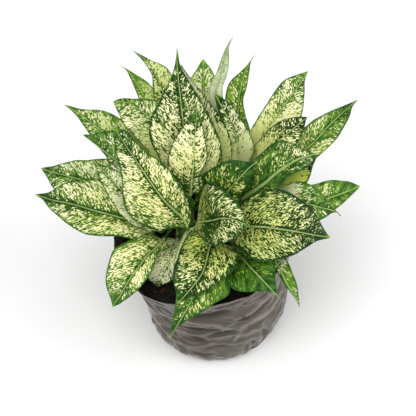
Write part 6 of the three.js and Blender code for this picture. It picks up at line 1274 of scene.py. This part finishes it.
def cane_material():
    g = Graph("green_cane")
    p = g.position()
    n = g.noise(p, 0.22, 3.0, 0.6, 0.4)
    base = g.ramp(n, [(0.3, (0.055, 0.11, 0.03)), (0.55, (0.13, 0.21, 0.07)), (0.75, (0.25, 0.30, 0.13))])
    base = g.mix(g.math("MULTIPLY", g.attr("scar"), 0.75), base, (0.20, 0.15, 0.085))
    young = g.ramp(g.noise(p, 0.5, 2.0, 0.5, 0.3), [(0.38, (0.10, 0.26, 0.04)), (0.6, (0.45, 0.55, 0.20))])
    base = g.mix(g.attr("young"), base, young)
    g.put(g.bsdf.inputs["Base Color"], base)
    g.put(g.bsdf.inputs["Roughness"], g.span(n, 0.3, 0.7, 0.42, 0.6, False))
    g.bump(g.noise(p, 1.1, 3.0, 0.6), 0.0004, 0.5)
    return g.material


# ---------------------------------------------------------------- the leaves
# How each blade is marked. base, mid, end: how thick the green marks lie near the base, halfway and near the
# tip; tip: share of the length that is solid green at the tip; margin: width of the green edge (mm); feather:
# dark marks beside the midrib; yellow: from white to yellow cream; lime: yellow-green ground, strongest at the
# base; grey: pale grey-green ground; dark: from light to dark green; root: grey again, but only at the
# foot of the blade; rib: width of the pale midrib.
MARK_KEYS = ("base", "mid", "end", "tip", "margin", "feather", "yellow", "lime", "grey", "dark", "root", "rib")
MARKS = {
    "leaf_01": (0.59, 0.36, 0.47, 0.14, 3, 0.55, 0.8, 0, 0, 0.74, 0, 1),
    "leaf_02": (0.47, 0.8, 0.46, 0.08, 3.2, 0.3, 0.8, 0.77, 0.25, 1.04, 0, 1),
    "leaf_03": (0.64, 0.22, 0.45, 0.1, 2.2, 0.15, 0.8, 0.25, 0.1, 0.92, 0.8, 1),
    "leaf_04": (0.5, 0.55, 0.66, 0.12, 3.2, 0.4, 0.8, 0.69, 0, 0.95, 0, 1),
    "leaf_05": (0.56, 0.58, 0.73, 0.13, 4.2, 0.3, 0.57, 0.67, 0, 1.03, 0, 1.2),
    "leaf_06": (0.75, 0.58, 1.05, 0.1, 3.2, 0.2, 0, 0.85, 0, 0.77, 0, 1),
    "leaf_07": (0.22, 0.51, 0.58, 0.18, 3, 0.38, 0.5, 0.38, 0, 0.92, 0, 1),
    "leaf_08": (0.08, 0.09, 0.03, 0.1, 2, 0.3, 0.8, 0, 0.8, 0.05, 0, 1),
    "leaf_09": (0.3, 0.14, 0.39, 0.12, 3.5, 0.4, 0.76, 0, 0.6, 0.62, 0, 1),
    "leaf_10": (0.49, 0.49, 0.53, 0.07, 2.8, 0.75, 0.65, 0.19, 0, 0.61, 0, 1),
    "leaf_11": (0.6, 0.36, 0.63, 0.1, 3.6, 0.5, 0.68, 0.06, 0, 0.56, 0, 1),
    "leaf_12": (0.41, 0.25, 0.32, 0.1, 3.2, 0.2, 0.6, 0, 0.55, 1.1, 0, 1),
    "leaf_13": (1.03, 0.59, 0.91, 0.16, 3.4, 0.3, 0.8, 0.49, 0, 0.61, 0, 1),
    "leaf_14": (0.78, 0.93, 1, 0.14, 5, 0.3, 0.35, 1, 0, 0.71, 0, 1),
    "leaf_15": (0.96, 0.78, 0.53, 0.06, 4, 0.2, 0.8, 0.52, 0, 0.75, 0, 1.9),
    "leaf_16": (-0.1, 0.61, 0.65, 0.1, 4, 0.3, 0, 0.41, 0.2, 0.61, 0, 1),
    "leaf_17": (-0.1, 0.36, 0.4, 0.1, 3.6, 0.3, 0.45, 0.7, 0, 0.53, 0, 1),
    "leaf_18": (0.63, 0.54, 0.76, 0.1, 3.5, 0.3, 0, 0, 0.2, 0.57, 0, 1),
    "leaf_19": (-0.1, 0.49, 0.09, 0.1, 3.2, 0.3, 0, 0.73, 0, 1.04, 0, 1),
    "leaf_20": (-0.1, 0.34, 0.55, 0.12, 3.4, 0.3, 0.29, 0.54, 0.25, 0.76, 0, 1),
    "leaf_21": (0.07, 0.03, 0.12, 0.12, 3.2, 0.3, 0, 0, 0.7, 0.41, 0, 1),
    "leaf_22": (-0.1, -0.1, 0.42, 0.14, 3.2, 0.3, 0.38, 0.64, 0, 0.29, 0, 1),
    "leaf_23": (0.51, 0.54, 0.47, 0.2, 4, 0.3, 0.27, 0.81, 0, 0.4, 0, 1),
    "leaf_24": (0.19, 0.3, 0.12, 0.16, 3.2, 0.3, 0.22, 0.85, 0, 0.77, 0, 1),
    "leaf_25": (0.49, 0.28, 0.71, 0.2, 3.2, 0.3, 0.29, 0.81, 0, 0.28, 0, 1),
    "leaf_26": (-0.1, 0.49, 0.36, 0.16, 3.5, 0.3, 0, 0.8, 0, 0.52, 0, 1),
    "leaf_27": (0.47, 0.46, 0.52, 0.06, 3.2, 0.5, 0, 0.69, 0.2, 0.51, 0, 1),
    "leaf_28": (-0.01, 0.43, 0.59, 0.06, 3.2, 0.3, 0.69, 0.55, 0, 1.06, 0, 1),
    "leaf_29": (0.77, 0.6, 1, 0.14, 3.4, 0.3, 0.66, 0.1, 0.1, 0.48, 0, 1),
    "leaf_30": (0, -0.1, 0.67, 0.1, 3.2, 0.3, 0.42, 1, 0.1, 1.1, 0, 1),
    "leaf_31": (-0.02, 0.26, 0.51, 0.08, 2.8, 0.3, 0.67, 0.55, 0, 0.59, 0, 1),
    "leaf_32": (0.57, 0.5, 0.7, 0.14, 3.4, 0.5, 0.38, 0.49, 0, 0.5, 0, 1),
    "leaf_33": (0.16, 0.71, 0.21, 0.14, 3, 0.3, 0, 0.25, 0, 0.48, 0, 1),
}


# Leaves with a finer or coarser pattern than the others.
FINER = {"leaf_09": 1.35, "leaf_08": 1.3, "leaf_12": 1.2, "leaf_28": 0.9, "leaf_06": 0.85, "leaf_04": 0.95, "leaf_15": 1.15, "leaf_21": 1.2}


def marks_of(name):
    if name in MARKS:
        return dict(zip(MARK_KEYS, MARKS[name]))
    rng = np.random.RandomState(int(name[-2:]) + 300)
    base = rng.uniform(0.45, 0.75)
    return dict(base=base, mid=base - rng.uniform(0.05, 0.2), end=rng.uniform(0.5, 0.75), yellow=rng.uniform(0.1, 0.6), lime=rng.uniform(0, 0.3),
                grey=rng.uniform(0, 0.3), dark=rng.uniform(0.4, 0.8), tip=rng.uniform(0.06, 0.14), margin=rng.uniform(2.4, 3.6),
                feather=rng.uniform(0.2, 0.5), root=rng.uniform(0, 0.4), rib=1.0)


ACROSS = 26       # quads across the blade
ALONG = 66        # rings along the blade
STALK_RINGS = 15
u_ = np.linspace(-1, 1, ACROSS + 1)
J_ = np.sign(u_) * np.abs(u_) ** 1.32


def make_leaf(index, name, stalk, rows):
    m = marks_of(name)
    rng = np.random.RandomState(900 + index)
    rows = np.asarray(rows, float)
    shift = np.array([RIM_SHIFT_X, 0, 0])
    P = np.asarray(stalk, float) + shift
    # ---- the blade's own lines
    t_fine = np.linspace(0, 1, 400)
    mid = smooth_curve(rows[:, 3:6], STATIONS, t_fine)
    s_fine = np.concatenate([[0], np.cumsum(np.linalg.norm(np.diff(mid, axis=0), axis=1))])
    length = s_fine[-1]
    even = np.linspace(0, 1, ALONG + 1)
    even = even + 0.05 * np.sin(2 * np.pi * even)      # a little denser at both ends
    s = np.interp(even, [0, 1], [0, length])
    t = np.interp(s, s_fine, t_fine)
    L, M, R = (smooth_curve(rows[:, k:k + 3], STATIONS, t) + shift for k in (0, 3, 6))
    tan = unit(np.gradient(M, axis=0))
    side = unit(R - L)
    side[-3:] = side[-4]
    nor = unit(np.cross(side, tan))
    wl, wr = np.linalg.norm(L - M, axis=1), np.linalg.norm(R - M, axis=1)
    # ---- grids over the blade: ring i, column j
    J = np.broadcast_to(J_, (ALONG + 1, ACROSS + 1))
    A = np.abs(J)
    left = (J < 0)
    W = np.where(left, wl[:, None], wr[:, None])
    E = np.where(left[..., None], L[:, None], R[:, None])
    C = A * W                                   # distance from the midrib, mm
    S = np.broadcast_to(s[:, None], J.shape)
    F = S / length
    sweep = 0.72 * C + 0.010 * C * C
    jitter = 1.3 * gnoise(np.stack([S / 23, J * 1.5 + 7 * index, 0 * S], -1), 80)
    Q = S - sweep + jitter                      # constant along a side vein
    pos = M[:, None] + (E - M[:, None]) * A[..., None]
    body = step(0.0, 0.16, F) * (1 - step(0.88, 1.0, F))
    pitch = 8.6 + 1.2 * rng.uniform(-1, 1)
    phase = np.where(left, rng.uniform(0, 1), rng.uniform(0, 1))
    quilt = np.abs(np.sin(np.pi * (Q / pitch + phase))) ** 0.75 - 0.6
    quilt = 0.42 * quilt * np.sqrt(A) * (1 - A**3) * body
    swell = 0.7 * gnoise(np.stack([Q / 26, J * 1.3 + 3.7 * index, 0 * S + 0.5], -1), 81) * np.sin(np.pi * A) * body
    pa, pb = rng.uniform(0, 6.28, 2)
    wave = np.where(left, np.sin(S * 2 * np.pi / 37 + pa) + 0.5 * np.sin(S * 2 * np.pi / 17 + pb),
                    np.sin(S * 2 * np.pi / 33 + pb) + 0.5 * np.sin(S * 2 * np.pi / 19 + pa))
    wave = 0.55 * wave * A**2.5 * body
    arch = 1.15 * BLADE_BULGE * W * 4 * A * (1 - A)
    groove = -0.42 * np.exp(-(C / 1.0) ** 2) * (1 - 0.6 * F)
    lift = arch + quilt + swell + wave + groove
    thick = (0.36 - 0.12 * F) * (1 - A**5)
    rib = (0.5 - 0.42 * F + 2.1 * np.exp(-S / 9.0)) * np.exp(-(C / (1.5 - 0.7 * F)) ** 2)
    n3 = nor[:, None]
    top = pos + n3 * (lift + thick)[..., None]
    low = pos + n3 * (lift - thick - rib)[..., None]
    top[:, 0] = low[:, 0] = (pos + n3 * lift[..., None])[:, 0]
    top[:, -1] = low[:, -1] = (pos + n3 * lift[..., None])[:, -1]
    # ---- the stalk's rings, and the change from round to flat
    phi = np.pi * (1 - u_) / 2
    n0 = nor[8]

    def round_ring(c, d, r, flat=1.0, wing=1.0):
        up = n0 - d * (n0 @ d)
        up = up / np.linalg.norm(up)
        sd = np.cross(d, up)
        hi = c + sd * (r * wing * np.cos(phi))[:, None] + up * (r * flat * np.sin(phi))[:, None]
        lo = c + sd * (r * wing * np.cos(phi))[:, None] - up * (r * np.sin(phi))[:, None]
        return hi, lo

    tops, lows, ss = [], [], []
    ts = np.linspace(0, 0.97, STALK_RINGS)
    bez = lambda q: ((1 - q) ** 3) * P[0] + 3 * (1 - q) ** 2 * q * P[1] + 3 * (1 - q) * q * q * P[2] + q**3 * P[3]
    dez = lambda q: 3 * (1 - q) ** 2 * (P[1] - P[0]) + 6 * (1 - q) * q * (P[2] - P[1]) + 3 * q * q * (P[3] - P[2])
    bz = np.array([bez(q) for q in np.linspace(0, 1, 60)])
    bl = np.concatenate([[0], np.cumsum(np.linalg.norm(np.diff(bz, axis=0), axis=1))])
    for q in ts:
        d = unit(dez(q))
        r = STALK_RADIUS * (1 - 0.12 * q)
        hi, lo = round_ring(bez(q), d, r, flat=0.72, wing=1 + 0.28 * (1 - step(0.05, 0.4, q)))
        tops.append(hi)
        lows.append(lo)
        ss.append(np.interp(q, np.linspace(0, 1, 60), bl) - bl[-1])
    for i in range(1, 12):
        k = float(step(0.5, 9.0, s[i]))
        if k < 1:
            hi, lo = round_ring(M[i] - nor[i] * 0.9 * (1 - k), tan[i], STALK_RADIUS * 0.86, flat=0.72)
            top[i] = hi * (1 - k) + top[i] * k
            low[i] = lo * (1 - k) + low[i] * k
    first = 1
    top = np.concatenate([np.array(tops), top[first:-1]])
    low = np.concatenate([np.array(lows), low[first:-1]])
    rings = len(top)
    ns = STALK_RINGS
    ring = np.concatenate([top, low[:, 1:-1][:, ::-1]], axis=1)        # one closed ring each
    per = ring.shape[1]
    tip = M[-1] + nor[-1] * 0
    start = np.array(bez(0.0)) - unit(dez(0.0)) * 0.35
    verts = np.concatenate([ring.reshape(-1, 3), [start, tip]])
    k = np.arange(per)
    faces = []
    for i in range(rings - 1):
        p, q = i * per + k, i * per + (k + 1) % per
        faces += np.stack([p, p + per, q + per, q], -1).tolist()
    a0, a1 = rings * per, rings * per + 1
    faces += [(a0, j, (j + 1) % per) for j in range(per)]
    last = (rings - 1) * per
    faces += [(a1, last + (j + 1) % per, last + j) for j in range(per)]
    obj = mesh_object("foliage_" + name[-2:], verts, faces)
    mesh = obj.data

    # ---- values at each point of a ring: stalk rows first, then blade rows
    def grid(stalk_value, blade):
        blade = blade[first:-1]
        g = np.concatenate([np.full((ns, ACROSS + 1), float(stalk_value)) if np.isscalar(stalk_value) else stalk_value, blade])
        return g

    def spread(g, end):
        ringed = np.concatenate([g, g[:, 1:-1][:, ::-1]], axis=1).ravel()
        return np.concatenate([ringed, [ringed[0], end]])

    stalk_s = np.repeat(np.array(ss)[:, None], ACROSS + 1, axis=1)
    signed = np.where(left, -C, C)
    stalk_c = np.broadcast_to(u_ * 2.8, (ns, ACROSS + 1))
    edge = (1 - A) * W
    tip_green = step(1 - 0.6 * m["tip"] - 0.08, 1 - 0.6 * m["tip"] + 0.05, F + 0.03 * gnoise(np.stack([Q / 9, signed / 9, 0 * S + index], -1), 82))
    near_edge = np.exp(-edge / (0.45 * m["margin"]))
    beside = np.exp(-np.maximum(C - 0.6, 0) / (2.4 + 2.0 * F)) * step(0.10, 0.3, F)
    border = np.exp(-(np.maximum(C - m["rib"] * (0.95 - 0.62 * F), 0) / 0.9) ** 2) * step(0.06, 0.2, F) * (1 - step(0.85, 0.97, F))
    green = smooth_curve([[m["base"]], [m["base"]], [m["mid"]], [m["end"]], [m["end"]]], [-0.02, 0.16, 0.5, 0.84, 1.02], F.ravel())[:, 0].reshape(F.shape)
    cover = green - 0.05 + 0.60 * near_edge * (0.5 + 0.5 * step(0.02, 0.2, F)) + 0.30 * tip_green + 0.6 * m["feather"] * beside + (0.12 + 0.5 * m["feather"]) * border
    tone = (1 - 0.82 * m["dark"]) * np.ones_like(F) - 0.22 * near_edge - 0.25 * beside * m["feather"] * 2
    tone = tone * (1 - tip_green) + tip_green * (0.62 - 0.35 * m["dark"] + 0.45 * step(0.93, 1.0, F))
    keep = step(0.6, 1.0, m["lime"])
    lime = min(1.0, m["lime"]) * (1 - (1 - keep) * step(0.25, 0.72, F + 0.10 * gnoise(np.stack([Q / 15, signed / 18, 0 * S + 2.0 + index], -1), 83)))
    grey = np.clip(m["grey"] + m["root"] * (1 - step(0.10, 0.34, F)), 0, 1)
    yellow = m["yellow"] * (1 - 0.7 * step(0.35, 0.95, F)) * (1 - 0.35 * step(0.5, 1.0, A))
    rib_half = m["rib"] * (1.15 - 0.70 * F) + 1.2 * np.exp(-S / 7.0)
    ribness = C / rib_half
    fine = FINER.get(name, 1.0)
    point_value(obj, "q", spread(grid(stalk_s, Q), s[-1]) * fine)
    point_value(obj, "c", spread(grid(stalk_c, signed), 0) * fine)
    point_value(obj, "edge", spread(grid(9.0, edge), 0))
    point_value(obj, "cover", spread(grid(1.3, cover), 1.4))
    point_value(obj, "tone", spread(grid(0.42, tone), 0.9))
    point_value(obj, "lime", spread(grid(m["lime"] * 0.6, lime), 0))
    point_value(obj, "grey", spread(grid(0.4, grey), 0))
    point_value(obj, "yellow", spread(grid(0.3, yellow), 0))
    point_value(obj, "rib", spread(grid(2.0, ribness), 2))
    point_value(obj, "seed", np.full(len(verts), 13.7 * index + 3.1))

    # ---- corners: under side, sharp margins, and the layout for baking
    loops = np.empty(len(mesh.loops), int)
    mesh.loops.foreach_get("vertex_index", loops)
    starts = np.empty(len(mesh.polygons), int)
    totals = np.empty(len(mesh.polygons), int)
    mesh.polygons.foreach_get("loop_start", starts)
    mesh.polygons.foreach_get("loop_total", totals)
    face_of = np.repeat(np.arange(len(starts)), totals)
    col = loops % per
    row = loops // per
    is_point = loops >= rings * per
    # a face is on the upper side where its columns are between 0 and ACROSS
    big = np.where(is_point, -1, col)
    fmax = np.full(len(starts), -1)
    np.maximum.at(fmax, face_of, big)
    fmin = np.full(len(starts), per)
    np.minimum.at(fmin, face_of, np.where(is_point, per, col))
    upper = (fmax <= ACROSS) & ~((fmin == 0) & (fmax == per - 1))
    under = (~upper)[face_of].astype(float)
    corner_value(obj, "under", under)
    jj = np.where(col <= ACROSS, col, per - col)
    x = J_[np.clip(jj, 0, ACROSS)]
    half = np.concatenate([np.full(ns, 2.4), np.maximum(0.5 * (wl + wr)[first:-1], 1.2)])
    widest = half.max()
    along = np.concatenate([np.linspace(0, 0.17, ns, endpoint=False), 0.17 + 0.83 * s[first:-1] / length])
    row_c = np.clip(row, 0, rings - 1)
    uu = along[row_c]
    uu = np.where(loops == a0, 0.0, np.where(loops == a1, 1.0, uu))
    vv = np.where(is_point, 0.0, x * half[row_c] / widest)
    vv = 0.235 * vv + np.where(under > 0.5, 0.25, 0.75)
    corner_uv(obj, "OFBake", np.stack([0.01 + 0.98 * uu, vv], -1))
    edges = np.empty(len(mesh.edges) * 2, int)
    mesh.edges.foreach_get("vertices", edges)
    edges = edges.reshape(-1, 2)
    ok = (edges < rings * per).all(1)
    e_col, e_row = edges % per, edges // per
    sharp = ok & (e_col[:, 0] == e_col[:, 1]) & ((e_col[:, 0] == 0) | (e_col[:, 0] == ACROSS)) & (e_row.min(1) >= ns + 7)
    flag = mesh.attributes.new("sharp_edge", "BOOLEAN", "EDGE") if "sharp_edge" not in mesh.attributes else mesh.attributes["sharp_edge"]
    flag.data.foreach_set("value", sharp)
    return obj


def leaf_material():
    g = Graph("variegated_leaf")
    q, c, seed = g.attr("q"), g.attr("c"), g.attr("seed")
    edge, cover, tone = g.attr("edge"), g.attr("cover"), g.attr("tone")
    at = lambda fq, fc, k=0.0: g.vec(g.math("MULTIPLY", q, fq), g.math("MULTIPLY", c, fc), g.math("ADD", seed, k))
    streak = g.noise(at(0.55, 0.34), 1.0, 1.5, 0.5, 0.35)
    speck = g.noise(at(0.72, 0.62, 5.0), 1.0, 1.5, 0.5, 0.3)
    patch = g.noise(at(0.085, 0.055, 9.0), 1.0, 2.0, 0.55)
    value = g.math("ADD", g.math("MULTIPLY", streak, 0.5), g.math("MULTIPLY", speck, 0.5))
    level = g.math("ADD", g.math("MULTIPLY", g.math("SUBTRACT", value, 0.5), 1.5), g.math("MULTIPLY", g.math("SUBTRACT", cover, 0.5), 0.42))
    level = g.math("ADD", level, g.math("MULTIPLY", g.math("SUBTRACT", patch, 0.5), 0.42))
    # pale ground
    ground = g.mix(g.attr("yellow"), (0.87, 0.84, 0.64), (0.83, 0.775, 0.29))
    ground = g.mix(g.attr("lime"), ground, (0.46, 0.56, 0.055))
    ground = g.mix(g.math("MULTIPLY", g.attr("grey"), 0.8), ground, (0.50, 0.58, 0.38))
    soft = g.noise(at(0.28, 0.12, 17.0), 1.0, 2.0, 0.5)
    ground = g.mix(g.span(soft, 0.45, 0.75, 0.0, 0.35), ground, (0.50, 0.60, 0.18))
    # greens
    shade = g.math("ADD", tone, g.math("MULTIPLY", g.math("SUBTRACT", g.noise(at(0.2, 0.12, 23.0), 1.0, 3.0, 0.6), 0.5), 1.3))
    green = g.ramp(shade, [(0.0, (0.004, 0.022, 0.003)), (0.3, (0.016, 0.070, 0.006)), (0.6, (0.075, 0.19, 0.014)), (0.85, (0.20, 0.34, 0.028)), (1.0, (0.36, 0.47, 0.05))])
    fringe = g.mix(0.55, green, (0.36, 0.47, 0.055))
    m1 = g.span(level, -0.085, -0.010)
    m2 = g.span(level, -0.020, 0.045)
    colour = g.mix(m1, ground, fringe)
    colour = g.mix(m2, colour, green)
    # thin dark line round the margin
    line = g.span(edge, 0.5, 1.5, 1.0, 0.0)
    colour = g.mix(g.math("MULTIPLY", line, 0.6), colour, g.mix(0.5, green, (0.04, 0.16, 0.022)))
    # midrib
    rib = g.span(g.attr("rib"), 0.62, 1.05, 1.0, 0.0)
    rib_colour = g.ramp(g.noise(at(0.1, 0.9, 31.0), 1.0, 2.0, 0.5), [(0.35, (0.27, 0.42, 0.09)), (0.6, (0.50, 0.62, 0.22))])
    colour = g.mix(g.math("MULTIPLY", rib, 0.66), colour, rib_colour)
    # the under side is paler and duller
    under = g.attr("under")
    back = g.mix(0.42, colour, (0.36, 0.42, 0.25))
    colour = g.mix(under, colour, back)
    g.put(g.bsdf.inputs["Base Color"], colour)
    rough = g.span(g.noise(at(0.4, 0.3, 41.0), 1.0, 2.0, 0.5), 0.3, 0.7, 0.40, 0.56, False)
    g.put(g.bsdf.inputs["Roughness"], g.math("ADD", rough, g.math("MULTIPLY", under, 0.12)))
    g.bsdf.inputs["Specular IOR Level"].default_value = 0.11
    grain = g.math("ADD", g.noise(at(0.9, 0.35, 51.0), 1.0, 2.0, 0.5), g.math("MULTIPLY", g.noise(at(2.4, 2.0, 57.0), 1.0, 2.0, 0.5), 0.4))
    g.bump(grain, 0.0004, 0.5)
    return g.material


# ---------------------------------------------------------------- put the pieces together
bag = make_bag()
bag.data.materials.append(film_material())
place(bag, "grow_bag")

soil = make_soil()
soil.data.materials.append(soil_material())
place(soil, "potting_soil")

cane_look = cane_material()
for i, (name, x, y, top) in enumerate(STEMS):
    cane = make_cane(i, name, x, y, top)
    cane.data.materials.append(cane_look)
    place(cane, name)

leaf_look = leaf_material()
for i, (name, stalk, rows) in enumerate(LEAVES):
    leaf = make_leaf(i, name, stalk, rows)
    leaf.data.materials.append(leaf_look)
    place(leaf, name)


# ---------------------------------------------------------------- floor, light and camera
def floor():
    mesh = bpy.data.meshes.new("floor")
    mesh.from_pydata([(-6, -6, 0), (6, -6, 0), (6, 6, 0), (-6, 6, 0)], [], [(0, 1, 2, 3)])
    obj = bpy.data.objects.new("floor", mesh)
    bpy.context.scene.collection.objects.link(obj)
    g = Graph("pale_floor")
    g.put(g.bsdf.inputs["Base Color"], g.ramp(g.noise(g.position(), 0.01, 2.0, 0.5), [(0.3, (0.93, 0.93, 0.93)), (0.7, (0.95, 0.95, 0.95))]))
    g.bsdf.inputs["Roughness"].default_value = 0.9
    g.bsdf.inputs["Specular IOR Level"].default_value = 0.1
    mesh.materials.append(g.material)


def wide_light(name, azimuth, elevation, spread, strength):
    """A very soft light that is even over the floor: azimuth from straight in front, towards +X."""
    data = bpy.data.lights.new(name, "SUN")
    data.angle = math.radians(spread)
    data.energy = strength
    obj = bpy.data.objects.new(name, data)
    bpy.context.scene.collection.objects.link(obj)
    obj.rotation_euler = (math.radians(90 - elevation), 0, math.radians(azimuth))
    obj.location = (0, 0, 2)


floor()
wide_light("key", -30, 58, 50, 1.85)
wide_light("side", 62, 40, 40, 0.55)
wide_light("low_left", -84, 16, 60, 0.5)
wide_light("low_right", 84, 16, 60, 1.1)
world = bpy.data.worlds.new("studio")
world.use_nodes = True
sky = world.node_tree
where = sky.nodes.new("ShaderNodeTexCoord")
split = sky.nodes.new("ShaderNodeSeparateXYZ")
band = sky.nodes.new("ShaderNodeMapRange")
band.interpolation_type = "SMOOTHSTEP"
sky.links.new(where.outputs["Generated"], split.inputs[0])
sky.links.new(split.outputs["Z"], band.inputs["Value"])
for key, v in (("From Min", 0.10), ("From Max", 0.55), ("To Min", 1.02), ("To Max", 0.40)):
    band.inputs[key].default_value = v
sky.links.new(band.outputs["Result"], sky.nodes["Background"].inputs["Strength"])
sky.nodes["Background"].inputs["Color"].default_value = (1, 1, 1, 1)
bpy.context.scene.world = world
bpy.context.scene.view_settings.view_transform = "Standard"

lens = bpy.data.cameras.new("camera")
lens.lens = 121.15
lens.sensor_width = 36.0
lens.clip_start, lens.clip_end = 0.05, 50.0
camera = bpy.data.objects.new("camera", lens)
bpy.context.scene.collection.objects.link(camera)
tilt = math.radians(46.5)
camera.location = (-0.0085, -1.4 * math.cos(tilt), 0.164445 + 1.4 * math.sin(tilt))
camera.rotation_euler = (math.pi / 2 - tilt, 0, 0)
bpy.context.scene.camera = camera

bpy.context.view_layer.update()
